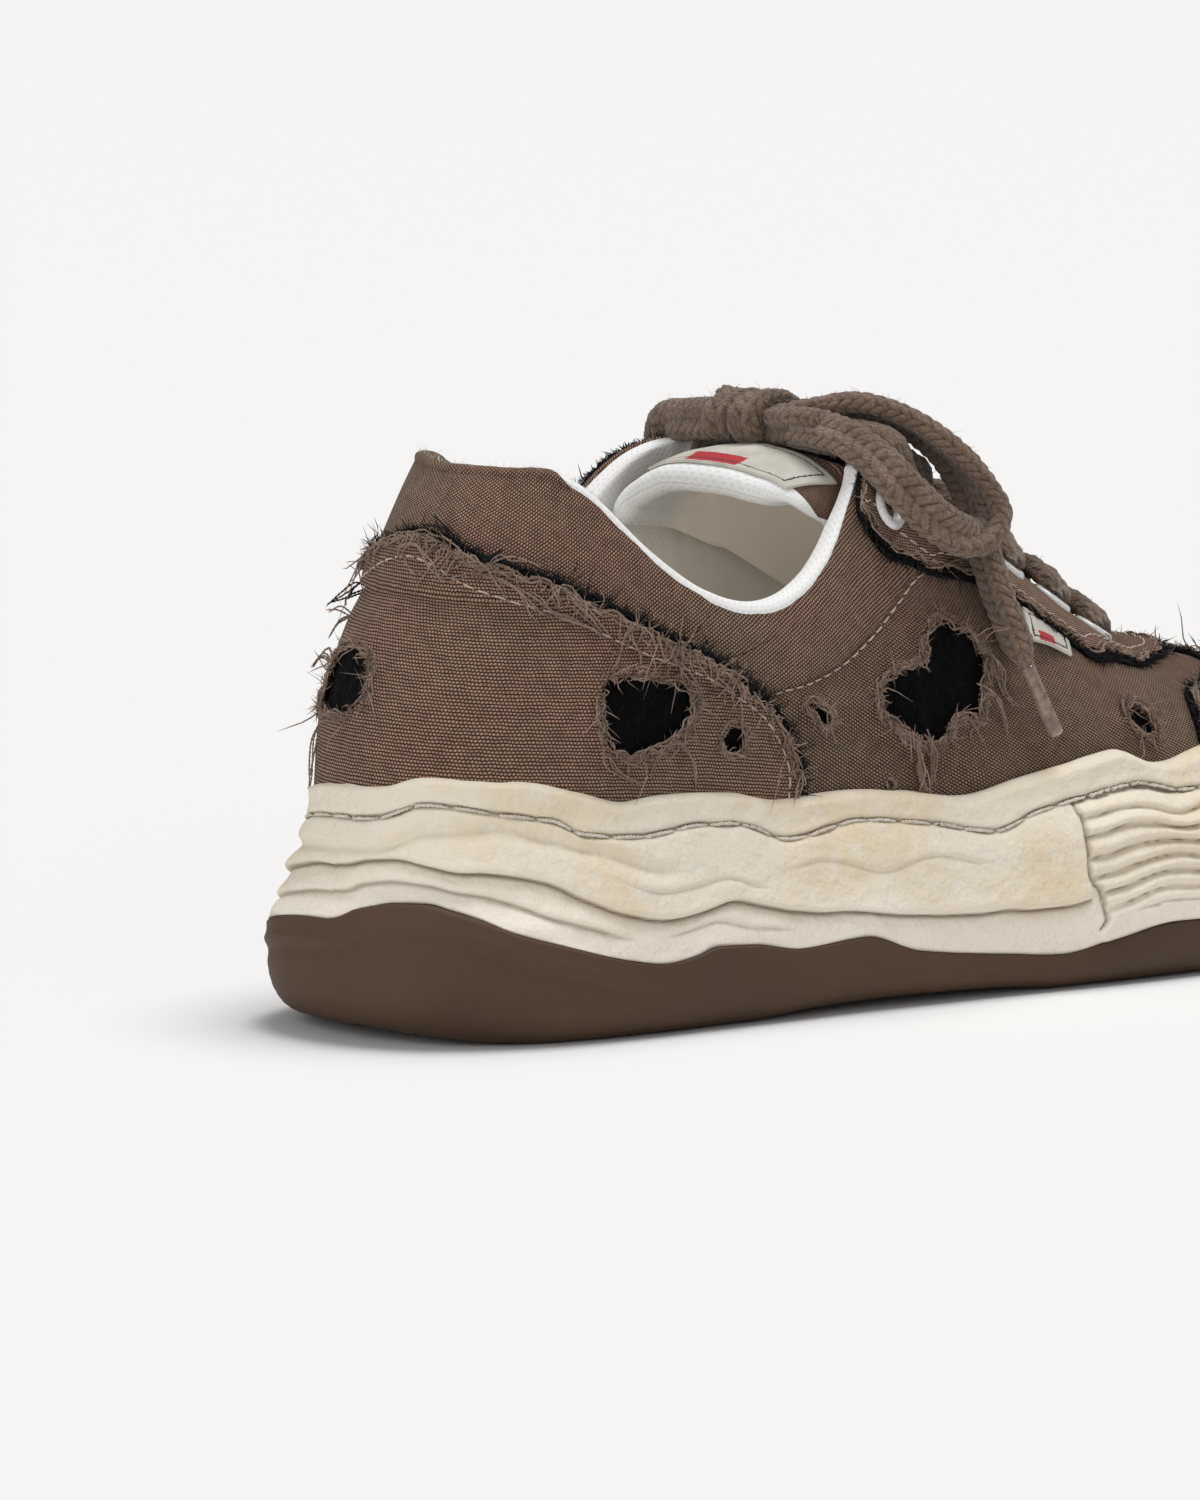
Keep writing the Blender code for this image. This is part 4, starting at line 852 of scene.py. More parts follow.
def foam_side(t, z, rubber_top, groove):
    """Relief of the foam's side in millimetres outwards, and its painted crease shade from 0 to 1.

    Every crease is faded in and out along y. Forward of the step the relief is
    |sin| lobes that share out the height between the rubber and the stitched groove.
    """
    y = np.broadcast_to(foot_outline(t)[0][:, 1], z.shape)
    flat_t = np.broadcast_to(t, z.shape)
    outer = np.mod(flat_t, RIB_COUNT) <= HALF_WAY
    shifted = y + np.where(outer, 0, INNER_SIDE_SHIFT * np.clip((134 - np.abs(y)) / 30, 0, 1))
    waver = 0.5 * noise(np.stack([y, flat_t * 8, z * 0], -1), 9.0, 21)
    at_heel = 1 - smoothstep(-122, -96, shifted)
    relief_at_heel = -2.4 * at_heel * smoothstep(23, 31, z) * (1 - 0.5 * smoothstep(40, 50, z))
    valley = z - side_height(VALLEY, t) - waver
    relief = relief_at_heel - 1.9 * (1 - smoothstep(-92, -78, shifted)) * np.exp(-(valley / 1.8) ** 2)
    # This mask is painted shade: it darkens the creases, the valleys between ridges, the step, the groove and the join
    # with the rubber.
    crease_shade = np.zeros(z.shape)
    for crease in CREASES:
        height = side_height(crease.heights, t) + waver
        fade = smoothstep(crease.first, crease.first + 10, shifted)
        fade = fade * (1 - smoothstep(crease.last - 9, crease.last, shifted))
        if crease.last == STEP_Y:
            fade = (shifted < STEP_Y).astype(float)
        move, depth = fold_relief(z - height, crease)
        relief += fade * move
        crease_shade = np.maximum(crease_shade, fade * depth * min(1.0, crease.tuck) ** 2)
    step_edge = STEP_Y + 1.3 * noise(np.stack([z, z * 0, outer * 50.0], -1), 3.0, 31)
    step_edge = step_edge + 3.0 * (1 - smoothstep(16, 27, z))
    ridged = smoothstep(step_edge - 0.2, step_edge + 0.8, shifted) * (z < groove)
    share = (z - rubber_top - 4.5) / (groove - rubber_top - 5.5)
    wander = 0.17 * noise(np.stack([y, flat_t * 10, share * 40], -1), 16.0, 41)
    phase = np.clip(share + wander * 0.4, 0, 1) * RIDGES
    lobes = np.where(share > 0, np.abs(np.sin(math.pi * phase)) ** 0.6, 1.0)
    strength = 2.7 + 0.7 * noise(np.stack([y, z * 0, phase.round() * 9], -1), 22.0, 43)
    relief += ridged * ((lobes - 0.6) * strength - 0.2)
    crease_shade = np.maximum(crease_shade, ridged * (1 - smoothstep(0.0, 0.30, lobes)) * 0.5)
    at_step = np.exp(-((shifted - step_edge) / 0.45) ** 2) * (z < groove) * (z > rubber_top + 3)
    relief -= 1.1 * at_step
    crease_shade = np.maximum(crease_shade, 0.8 * at_step)
    in_groove = np.exp(-((z - groove) / 0.70) ** 2)
    relief -= 1.4 * in_groove
    crease_shade = np.maximum(crease_shade, np.exp(-((z - groove) / 0.42) ** 2))
    # Painted shade along the gap where the foam meets the rubber's top edge.
    crease_shade = np.maximum(crease_shade, 0.75 * np.exp(-((z - rubber_top) / 0.32) ** 2))
    return relief, crease_shade


def foam_offset(t, share):
    """Profile of the foam's side: share 0 is the rubber's edge and 1 the wavy top edge."""
    rubber_top = side_height(RUBBER_TOP, t)
    groove = side_height(GROOVE, t)
    foxing = side_height(FOXING, t)
    seat = v_at_height(t, foxing)
    outline, normal = foot_outline(t)
    wall = np.sum((upper_point(t, seat)[:, :2] - outline) * normal, axis=1)
    z = rubber_top + (foxing - rubber_top) * share
    flare = through(FLARE, z)
    lip = wall + LIP
    ease = smoothstep(0.62, 1.0, share)
    offset = (flare - 0.3) * (1 - ease) + (lip + 0.6) * ease
    relief, crease_shade = foam_side(t, z, rubber_top, groove)
    rounding = np.clip((1 - share) * (foxing - rubber_top) / 1.6, 0, 1)
    offset = offset + relief - 1.5 * (1 - np.sqrt(1 - (1 - rounding) ** 2))
    return offset, z, crease_shade, wall


COLUMNS_ROUND = 860
foam_t = np.arange(COLUMNS_ROUND) * RIB_COUNT / COLUMNS_ROUND
SIDE_ROWS = 80
foam_rows, foam_crease_shade, foam_light = [], [], []
for share in np.linspace(0, 1, SIDE_ROWS):
    offset, z, crease_shade, wall = foam_offset(foam_t, share)
    spot = np.column_stack([foot_outline(foam_t, offset)[0], z])
    foam_rows.append(spot)
    foam_crease_shade.append(crease_shade)
    foam_light.append(1 - smoothstep(0.10, 0.36, share + 0.08 * noise(spot, 18.0, 51)))
foam_grid = np.array(foam_rows)
lumps = 0.34 * noise(foam_grid, 11.0, 1) + 0.20 * noise(foam_grid * [1, 1, 1.8], 4.2, 2)
lumps = lumps + 0.09 * noise(foam_grid, 1.9, 3)
side_normal = np.column_stack([foot_outline(foam_t)[1], np.zeros(COLUMNS_ROUND)])
lumps *= np.clip(np.linspace(0, 1, SIDE_ROWS) / 0.05, 0.2, 1)[:, None]
foam_grid += lumps[..., None] * side_normal[None]
foam_grid[1:, :, 2] += 0.30 * noise(foam_grid[1:], 7.0, 4)
print("foam relief made, widest", round(float(foam_grid[..., 0].max()), 1))

# %% [markdown]
# ## Foam as a body
#
# Over the wavy top edge the foam rolls inwards to the canvas and goes down beside it, where nobody
# sees it. Under the rubber's edge it goes down into the rubber's shell. Adding those rows to the
# same grid, and closing its two ends with flat lids, makes the cup one closed body. The colour is
# old cream: whiter low down where it is less handled and yellower in patches. Its creases, valleys,
# groove and the join with the rubber are painted grey-brown as their shade.

# %% Foam cup
def lid_faces(ring, flip=False):
    """Quads that close a ring across the shoe: each pair of points is joined to the next pair."""
    left, right = ring[:len(ring) // 2], ring[:len(ring) // 2 - 1:-1]
    faces = np.stack([left[:-1], left[1:], right[1:], right[:-1]], 1)
    return faces[:, ::-1] if flip else faces


def make_foam_finish():
    """Old cream foam: whiter below, stained in patches, with painted shade in its creases, and tiny pits."""
    finish, tree, shader = new_material("old_cream_foam", (0.80, 0.74, 0.60), 0.62, Specular_IOR_Level=0.35,
                                        Subsurface_Weight=0.08, Subsurface_Scale=0.003)
    place_in_object = node(tree, "ShaderNodeTexCoord").outputs["Object"]
    patches = patches_on(tree, place_in_object, 38.0, 190.0)
    specks = patches_on(tree, place_in_object, 620.0, 1900.0)
    crease_shade = node(tree, "ShaderNodeAttribute", attribute_name="crease_shade").outputs["Fac"]
    light = node(tree, "ShaderNodeAttribute", attribute_name="light").outputs["Fac"]
    stained = blend(tree, remap(tree, patches.outputs["Broad"], 0.40, 1.0, 0.0, 0.60),
                    (0.79, 0.715, 0.585), (0.725, 0.58, 0.375))
    clouded = blend(tree, remap(tree, patches.outputs["Fine"], 0.50, 1.0, 0.0, 0.75), stained, (0.80, 0.75, 0.665))
    whiter = blend(tree, calculate(tree, "MULTIPLY", light, 0.80), clouded, (0.90, 0.825, 0.725))
    ochre = calculate(tree, "MULTIPLY", remap(tree, specks.outputs["Fine"], 0.55, 0.95, 0.0, 0.42),
                      remap(tree, patches.outputs["Fine"], 0.35, 0.9))
    speckled = blend(tree, ochre, whiter, (0.70, 0.54, 0.28))
    # Painted shade: the crease mask darkens the colour to grey-brown.
    crease_shaded = blend(tree, calculate(tree, "MULTIPLY", crease_shade, 0.85), speckled, (0.20, 0.15, 0.10))
    tree.links.new(crease_shaded, shader.inputs["Base Color"])
    wrinkles = node(tree, "ShaderNodeTexNoise",
                    {"Vector": place_in_object, "Scale": 330.0, "Detail": 5.0, "Roughness": 0.62})
    height = calculate(tree, "ADD", wrinkles.outputs[0], calculate(tree, "MULTIPLY", specks.outputs["Broad"], 0.16))
    bump(tree, shader, height, 0.75, 0.0010)
    return finish


foam_finish = make_foam_finish()
rubber_line = side_height(RUBBER_TOP, foam_t)
foxing_line = side_height(FOXING, foam_t)
outline_y = foot_outline(foam_t)[0][:, 1]
shell_floor = through(SHELL_FLOOR, outline_y)
flare_at_rubber = through(FLARE, rubber_line)
floor_line = through(FOOTBED, outline_y)


def plan_row(offset, z):
    """One more row of the foam grid."""
    return np.column_stack([foot_outline(foam_t, offset)[0], np.broadcast_to(z, foam_t.shape)])


inner_wall = np.sum((foam_grid[-1, :, :2] - foot_outline(foam_t)[0]) * foot_outline(foam_t)[1], axis=1)
seat_row = v_at_height(foam_t, foxing_line)
canvas_wall = np.sum((upper_point(foam_t, seat_row)[:, :2] - foot_outline(foam_t)[0]) * foot_outline(foam_t)[1], axis=1)
below = [plan_row(flare_at_rubber - 7.6, shell_floor + 0.5), plan_row(flare_at_rubber - 4.6, rubber_line - 0.2)]
roll = []
for angle in np.linspace(0.15, 0.5, 5) * math.pi:
    reach = canvas_wall + 0.25 + (inner_wall - canvas_wall - 0.25) * math.cos(angle)
    roll.append(plan_row(reach, foam_grid[-1, :, 2] + 0.55 * math.sin(angle)))
down = [plan_row(canvas_wall + 0.05, foxing_line - 5.0), plan_row(0.2, floor_line - 0.4)]
whole = np.concatenate([np.array(below), foam_grid, np.array(roll), np.array(down)])
rows = len(whole)
crease_shade = np.concatenate([np.zeros((2, COLUMNS_ROUND)), np.array(foam_crease_shade), np.zeros((len(roll) + 2, COLUMNS_ROUND))])
light = np.concatenate([np.ones((2, COLUMNS_ROUND)), np.array(foam_light), np.zeros((len(roll) + 2, COLUMNS_ROUND))])
r, c = grid_faces(rows, COLUMNS_ROUND, closed=True)
numbers = np.arange(rows * COLUMNS_ROUND).reshape(rows, COLUMNS_ROUND)
faces = np.concatenate([r * COLUMNS_ROUND + c % COLUMNS_ROUND, lid_faces(numbers[0], flip=True),
                        lid_faces(numbers[-1])])
place(add_mesh("foam_cup", whole.reshape(-1, 3), faces, [foam_finish],
               values={"crease_shade": crease_shade.ravel(), "light": light.ravel()}), "foam", "midsole")

# %% [markdown]
# ## Rubber sole
#
# The brown rubber cups the foam. Its top edge follows the foam's lowest wave, its side bellies out
# and rolls under to the tread. One ring of points is carried from the inside of the shell over the
# edge, down the side and in under the shoe, so a table of rings is all that the shape needs. The
# tread is its own sheet: a grid over the sole whose height dips at the cross grooves.

# %% Rubber finish and shell
def make_rubber_finish():
    """Matt brown rubber with a fine moulded skin, dust where it is worn and a faint sheen."""
    finish, tree, shader = new_material("brown_rubber", (0.075, 0.042, 0.023), 0.56, Specular_IOR_Level=0.30)
    place_in_object = node(tree, "ShaderNodeTexCoord").outputs["Object"]
    patches = patches_on(tree, place_in_object, 24.0, 900.0)
    tree.links.new(blend(tree, patches.outputs["Broad"], (0.062, 0.034, 0.018), (0.086, 0.049, 0.028)),
                   shader.inputs["Base Color"])
    tree.links.new(remap(tree, patches.outputs["Broad"], 0.0, 1.0, 0.52, 0.72), shader.inputs["Roughness"])
    bump(tree, shader, patches.outputs["Fine"], 0.25, 0.0002)
    return finish


rubber_finish = make_rubber_finish()
ground = through(GROUND, foot_outline(foam_t, 6.0)[0][:, 1])
height = rubber_line - ground
flare_top = through(FLARE, rubber_line)
belly = through(FLARE, WIDEST_HEIGHT) - 0.3
# The side as (share of the height from the ground, offset from the foot's outline).
side_share = np.array([1.0, 0.97, 0.90, 0.80, 0.68, 0.55, 0.42, 0.30, 0.20, 0.12, 0.06, 0.02, 0.0])
side_offset = [flare_top - 0.6, flare_top + 0.1, flare_top * 0.7 + belly * 0.3 + 0.1,
               flare_top * 0.4 + belly * 0.6 + 0.15, flare_top * 0.15 + belly * 0.85 + 0.1, belly * 1.0,
               belly - 0.4, belly - 1.1, belly - 2.1, belly - 3.3, belly - 4.8, belly - 6.3, belly - 7.8]
rows = [plan_row(flare_top - 7.0, shell_floor), plan_row(flare_top - 4.0, rubber_line - 1.2),
        plan_row(flare_top - 3.0, rubber_line - 0.4), plan_row(flare_top - 1.6, rubber_line - 0.05)]
fine_share = np.interp(np.linspace(0, 12, 37), np.arange(13), side_share)
stacked = np.array([np.broadcast_to(offset, foam_t.shape) for offset in side_offset])
for k, share in enumerate(fine_share):
    spot = k / 3
    low = int(min(spot, 11))
    f = spot - low
    f = f * f * (3 - 2 * f) * 0.35 + f * 0.65
    rows.append(plan_row(stacked[low] * (1 - f) + stacked[low + 1] * f, ground + height * share))
shell = np.array(rows)
z_over_edge = rubber_line[None] - shell[..., 2]
moulding = 0.50 * np.exp(-((z_over_edge - 4.2) / 1.1) ** 2) - 0.35 * np.exp(-((z_over_edge - 6.8) / 1.5) ** 2)
at_heel = smoothstep(-70, -105, shell[..., 1])
wave = 0.35 * noise(shell, 24.0, 61) + 0.10 * noise(shell, 7.0, 62)
lift = (moulding * at_heel + wave) * smoothstep(3.5, 6.0, np.arange(len(rows)))[:, None]
rubber_normal = np.column_stack([foot_outline(foam_t)[1], np.zeros(COLUMNS_ROUND)])
shell += lift[..., None] * rubber_normal[None]
SHELL_EVERY = 2            # the rubber is smooth, so every other column is enough
shell = shell[:, ::SHELL_EVERY]
numbers = np.arange(shell.shape[0] * shell.shape[1]).reshape(shell.shape[:2])
r, c = grid_faces(shell.shape[0], shell.shape[1], closed=True, flip=True)
faces = np.concatenate([r * shell.shape[1] + c % shell.shape[1], lid_faces(numbers[0])])
place(add_mesh("rubber_shell", shell.reshape(-1, 3), faces, [rubber_finish]), "rubber", "outsole")

# %% Tread
GROOVE_Y = [-118, -100, -60, -38, -14, 12, 34, 56, 88, 106, 122]
tread_ring = shell[-1]
half = len(tread_ring) // 2
left_edge, right_edge = tread_ring[:half + 1], np.roll(tread_ring[::-1], 1, axis=0)[:half + 1]
across = np.linspace(0, 1, 49)[:, None, None]
tread = left_edge[None] * (1 - across) + right_edge[None] * across
tread[..., 2] = through(GROUND, tread[..., 1])
margin = np.minimum(across[..., 0], 1 - across[..., 0]) * np.linalg.norm(left_edge - right_edge, axis=1)[None]
groove = np.zeros(tread.shape[:2])
for y in GROOVE_Y:
    chevron = y + 0.18 * np.abs(tread[..., 0] - 4) - 4
    groove = np.maximum(groove, 1 - smoothstep(1.2, 2.2, np.abs(tread[..., 1] - chevron)))
groove = np.maximum(groove, 1 - smoothstep(1.0, 1.9, np.abs(tread[..., 0] - 3)))
edge_gap = (left_edge[:, 2] - through(GROUND, left_edge[:, 1]))[None] * (1 - across[..., 0])
edge_gap = edge_gap + (right_edge[:, 2] - through(GROUND, right_edge[:, 1]))[None] * across[..., 0]
tread[..., 2] += edge_gap * np.exp(-margin / 5) + 2.6 * groove * smoothstep(2.0, 5.0, margin)
place(add_surface("tread", tread, [rubber_finish], flip=True), "rubber")

# %% [markdown]
# ## Panels cut from the last
#
# Each layer of the upper is cut like a shoemaker's panel: an outline is drawn on the last in t and
# v, and whatever lies inside it becomes cloth. A grid covers the outline, cells outside it or in a
# hole are left out, and points on the border are pulled on to the line, so that it isn't stepped.
# A narrow strip folded in along the border gives the cloth its thickness. Every layer uses the same
# skin with another lift, so no layer cuts through the next one.

# %% The skin that all layers share
SEAM = [(0, 0.62), (4.13, 0.59), (4.56, 0.60), (5.35, 0.59), (6.13, 0.59), (6.69, 0.60), (7.22, 0.61),
        (7.88, 0.63), (8.6, 0.66), (15, 0.66)]
Wrinkle = namedtuple("Wrinkle", "t v far_t far_v width depth")
# Soft troughs (positive depth) and ridges (negative) between two places.
WRINKLES = [
    Wrinkle(5.0, 0.57, 6.0, 0.47, 2.6, 0.9), Wrinkle(5.1, 0.50, 5.9, 0.40, 2.2, -0.7),
    Wrinkle(4.9, 0.40, 6.2, 0.26, 2.6, 0.8), Wrinkle(5.2, 0.34, 6.6, 0.20, 2.4, -0.6),
    Wrinkle(6.2, 0.24, 7.6, 0.16, 2.6, 0.8), Wrinkle(8.4, 0.50, 9.4, 0.57, 2.6, -0.9),
    Wrinkle(8.8, 0.40, 10.2, 0.50, 3.4, 0.9), Wrinkle(9.0, 0.26, 10.6, 0.38, 3.8, -0.8),
    Wrinkle(9.6, 0.20, 11.2, 0.30, 3.0, 0.7), Wrinkle(11.2, 0.34, 11.9, 0.52, 2.6, 0.8),
    Wrinkle(0.5, 0.60, 1.7, 0.56, 2.8, 0.4), Wrinkle(1.2, 0.30, 2.3, 0.38, 3.0, 0.4),
    Wrinkle(2.2, 0.86, 3.4, 0.74, 3.2, 0.5), Wrinkle(5.6, 0.80, 6.4, 0.72, 2.6, 0.6),
    Wrinkle(12.8, 0.52, 13.6, 0.70, 3.4, 0.9), Wrinkle(13.8, 0.66, 15.0, 0.72, 3.6, 0.8),
    Wrinkle(13.2, 0.84, 15.0, 0.86, 3.0, 0.7),
]


def mirrored_t(t):
    """Rib number counted from the heel on either side, 0 to 15."""
    t = np.mod(t, RIB_COUNT)
    return np.where(t > HALF_WAY, RIB_COUNT - t, t)


def skin_relief(t, v, point):
    """Wrinkles, padding and unevenness of the cloth, in millimetres outwards.

    A wrinkle is depth * exp(-(distance from its line / width)^2). The padded collar swells as
    sin(pi * share)^0.6 between the seam and the top edge, and is pinched at the seam.
    """
    side_t = mirrored_t(t)
    relief = 0.40 * noise(point, 26.0, 71) + 0.14 * noise(point, 9.0, 72)
    along, upwards = upper_steps(t, v)
    wide, tall = np.linalg.norm(along, axis=-1), np.linalg.norm(upwards, axis=-1)
    for w in WRINKLES:
        a, b = np.array([w.t, w.v]), np.array([w.far_t, w.far_v])
        dx, dy = (side_t - a[0]) * wide, (v - a[1]) * tall
        lx, ly = (b[0] - a[0]) * wide, (b[1] - a[1]) * tall
        f = np.clip((dx * lx + dy * ly) / np.maximum(lx * lx + ly * ly, 1e-6), 0, 1)
        away = np.hypot(dx - f * lx, dy - f * ly)
        fade = np.where(np.mod(t, RIB_COUNT) > HALF_WAY, 0.7, 1.0) * np.sin(math.pi * np.clip(f, 0.12, 0.88)) ** 0.5
        relief = relief - w.depth * fade * np.exp(-(away / w.width) ** 2)
    seam = through(SEAM, side_t)
    share = np.clip((v - seam) / (1.0 - seam), 0, 1)
    padded = 1 - smoothstep(6.3, 7.6, side_t)
    crown = np.sin(math.pi * np.clip(share, 0.0, 0.93)) ** 0.6
    relief += padded * (1.3 + 0.8 * (1 - smoothstep(1.0, 2.5, side_t))) * crown
    below = np.clip((seam - v) * tall, 0, 30)
    above = np.clip((v - seam) * tall, 0, 30)
    seam_part = 1 - smoothstep(7.5, 8.2, side_t)
    relief -= seam_part * 0.75 * np.where(v < seam, np.exp(-below / 2.0), np.exp(-above / 0.45))
    return relief


def skin(t, v, lift=0.0):
    """The shared surface: the last, moved outwards by the relief and the layer's own lift."""
    point = upper_point(t, v)
    return point + (lift + skin_relief(t, v, point))[..., None] * upper_normal(t, v)


table_t = np.linspace(-HALF_WAY, HALF_WAY, 361)
table_v = np.linspace(0, 1, 61)
table_points = upper_point(*np.meshgrid(table_t, table_v, indexing="ij"))
length_up = np.concatenate([np.zeros((361, 1)), np.cumsum(np.linalg.norm(np.diff(table_points, axis=1), axis=2), 1)], 1)
mid_row = table_points[:, 24]
length_along = travelled(mid_row)


def cloth_millimetres(t, v):
    """Pattern place in millimetres: the length walked along the shoe and the length walked up a rib."""
    t = np.mod(np.asarray(t, float) + HALF_WAY, RIB_COUNT) - HALF_WAY
    a = np.clip((t - table_t[0]) / (table_t[1] - table_t[0]), 0, 359.999)
    b = np.clip(v * 60, 0, 59.999)
    i, j = a.astype(int), b.astype(int)
    f, g = a - i, b - j
    up = ((1 - f) * (1 - g) * length_up[i, j] + f * (1 - g) * length_up[i + 1, j]
          + (1 - f) * g * length_up[i, j + 1] + f * g * length_up[i + 1, j + 1])
    return np.stack([np.interp(t, table_t, length_along), up], -1)


# %% Cutting a panel
def inside(points, loop):
    """True where a point lies inside a loop: a line from it to the right crosses the loop oddly often."""
    ahead = np.roll(loop, -1, 0)
    x, y = points[:, 0, None], points[:, 1, None]
    crosses = (loop[:, 1] > y) != (ahead[:, 1] > y)
    slope = (ahead[:, 0] - loop[:, 0]) / np.where(ahead[:, 1] == loop[:, 1], 1e-12, ahead[:, 1] - loop[:, 1])
    return (crosses & (x < loop[:, 0] + (y - loop[:, 1]) * slope)).sum(1) % 2 == 1


def on_last(loop):
    """Points, step vectors and outward normals of the last along a line of (t, v)."""
    along, upwards = upper_steps(loop[:, 0], loop[:, 1])
    return skin(loop[:, 0], loop[:, 1], 0.0), along, upwards, unit(np.cross(along, upwards))


def fine_line(knots, spacing=0.7, closed=True):
    """Smooth line through knots of (t, v), its points about spacing apart in millimetres."""
    dense = route(knots, 0.004, closed)
    ring = np.vstack([dense, dense[:1]]) if closed else dense
    run = travelled(upper_point(ring[:, 0], ring[:, 1]))
    where = np.linspace(0, run[-1], max(4, round(run[-1] / spacing)) + 1)
    even = np.column_stack([np.interp(where, run, ring[:, k]) for k in range(2)])
    return even[:-1] if closed else even


def outward(loop, closed=True):
    """Directions in the surface square to a line, to its right: ahead crossed with the normal."""
    points, _, _, normal = on_last(loop)
    if closed:
        ahead = np.roll(points, -1, 0) - np.roll(points, 1, 0)
    else:
        ahead = np.gradient(points, axis=0)
    return points, unit(ahead), normal, unit(np.cross(unit(ahead), normal))


def shift_line(loop, distance, closed=True):
    """The line moved to its right by a distance in millimetres, one number or one for each point."""
    _, _, _, right = outward(loop, closed)
    along, upwards = upper_steps(loop[:, 0], loop[:, 1])
    dt = np.sum(right * along, 1) / np.sum(along ** 2, 1)
    dv = np.sum(right * upwards, 1) / np.sum(upwards ** 2, 1)
    return loop + np.reshape(distance, (-1, 1)) * np.column_stack([dt, dv])


def ragged(loop, amount, seed, closed=True):
    """The line with a torn edge: two scales of noise move it to either side."""
    points = upper_point(loop[:, 0], loop[:, 1])
    wander = amount * (0.65 * noise(points, 5.0, seed) + 0.55 * noise(points, 1.7, seed + 1))
    return shift_line(loop, wander, closed)


def cut_panel(name, outline, lift, finishes, thickness=0.9, cell=1.0, holes=(), curl=0.0, slot_of=None, closed=False,
              rows_of=None, swell=None):
    """Panel of cloth inside an outline of (t, v), less its holes; see the lesson above.

    curl lifts the cloth's edge round a hole by curl * exp(-distance / 1.5 mm), unevenly.
    """
    low_t, high_t = (0, RIB_COUNT) if closed else (outline[:, 0].min(), outline[:, 0].max())
    if closed:
        wide = length_along[-1]
    else:
        wide = float(np.interp(high_t, table_t, length_along) - np.interp(low_t, table_t, length_along))
    columns = int(wide / cell) + (0 if closed else 2)
    t_line = np.arange(columns) * RIB_COUNT / columns if closed else np.linspace(low_t - 0.02, high_t + 0.02, columns)
    if rows_of is not None:
        v = rows_of(t_line)
    else:
        low_v, high_v = max(outline[:, 1].min() - 0.01, 0), min(outline[:, 1].max() + 0.01, 1)
        v = np.repeat(np.linspace(low_v, high_v, int((high_v - low_v) * 95 / cell) + 2)[:, None], columns, 1)
    rows = len(v)
    t = np.repeat(t_line[None], rows, 0)
    r, c = grid_faces(rows, columns, closed)
    corner = r * columns + c % columns
    flat_t, flat_v = t.ravel().copy(), v.ravel().copy()
    seen_t = np.where(c >= columns, flat_t[corner] + RIB_COUNT, flat_t[corner])
    centre = np.column_stack([seen_t.mean(1), flat_v[corner].mean(1)])
    keep = np.ones(len(corner), bool) if outline is None else inside(centre, outline)
    for hole in holes:
        keep &= ~(inside(centre, hole) | inside(centre - [RIB_COUNT, 0], hole) | inside(centre + [RIB_COUNT, 0], hole))
    corner, centre = corner[keep], centre[keep]
    edges = np.stack([corner, np.roll(corner, -1, 1)], -1).reshape(-1, 2)
    key = np.sort(edges, 1)
    _, first, count = np.unique(key[:, 0] * 10 ** 7 + key[:, 1], return_index=True, return_counts=True)
    border_edges = edges[first[count == 1]]
    border = np.unique(border_edges)
    lines = ([] if outline is None else [outline]) + list(holes)
    line = np.concatenate(lines) if lines else np.zeros((0, 2))
    place_t, place_v = flat_t.copy(), flat_v.copy()
    if len(line):
        line_points = upper_point(line[:, 0], line[:, 1])
        border_points = upper_point(flat_t[border], flat_v[border])
        away = np.linalg.norm(border_points[:, None] - line_points[None], axis=2)
        nearest, distance = away.argmin(1), away.min(1)
        pull = distance < 1.6 * cell
        turns = np.round((flat_t[border[pull]] - line[nearest[pull], 0]) / RIB_COUNT) * RIB_COUNT
        place_t[border[pull]] = line[nearest[pull], 0] + turns
        place_v[border[pull]] = np.clip(line[nearest[pull], 1], 0, 1)
    used = np.unique(corner)
    number = np.full(rows * columns, -1)
    number[used] = np.arange(len(used))
    t_used, v_used = place_t[used], place_v[used]
    height = np.full(len(used), float(lift))
    if swell is not None:
        height += swell(t_used, v_used)
    bare = upper_point(t_used, v_used)
    for hole in holes if curl else ():
        hole_points = upper_point(hole[:, 0], hole[:, 1])
        near = np.linalg.norm(bare - hole_points.mean(axis=0), axis=1) < np.linalg.norm(
            hole_points - hole_points.mean(axis=0), axis=1).max() + 7
        gap = np.linalg.norm(bare[near][:, None] - hole_points[None], axis=2).min(1)
        uneven = 0.75 + 0.55 * noise(bare[near], 3.2, 81)
        height[near] += curl * uneven * np.exp(-gap / 1.5)
    points = bare + (height + skin_relief(t_used, v_used, bare))[:, None] * upper_normal(t_used, v_used)
    inner = points - thickness * upper_normal(t_used, v_used)
    faces = number[corner]
    skirt = number[border_edges]
    border_used = np.unique(skirt)
    inner_number = np.full(len(used), -1)
    inner_number[border_used] = len(used) + np.arange(len(border_used))
    strip = np.stack([skirt[:, 1], skirt[:, 0], inner_number[skirt[:, 0]], inner_number[skirt[:, 1]]], 1)
    all_points = np.concatenate([points, inner[border_used]])
    all_t = np.concatenate([t_used, t_used[border_used]])
    all_v = np.concatenate([v_used, v_used[border_used]])
    all_faces = np.concatenate([faces, strip])
    cloth = cloth_millimetres(all_t, all_v)
    uv = cloth[all_faces]
    jump = uv[..., 0].max(1) - uv[..., 0].min(1) > length_along[-1] / 2
    uv[jump, :, 0] = np.where(uv[jump, :, 0] < length_along[-1] / 2, uv[jump, :, 0] + length_along[-1], uv[jump, :, 0])
    slots = None
    if slot_of is not None:
        slots = np.concatenate([slot_of(centre[:, 0], centre[:, 1]), np.zeros(len(strip), int)])
    return add_mesh(name, all_points, all_faces, finishes, uv=uv, slots=slots)


# %% [markdown]
# ## Where the canvas is torn
#
# The tears are drawn as loops of t and v. Those on the heel go through the heel counter only, and
# the black cloth beneath the counter shows. Those on the quarter go through the base canvas. The
# inner side of the shoe has its own, fewer tears.

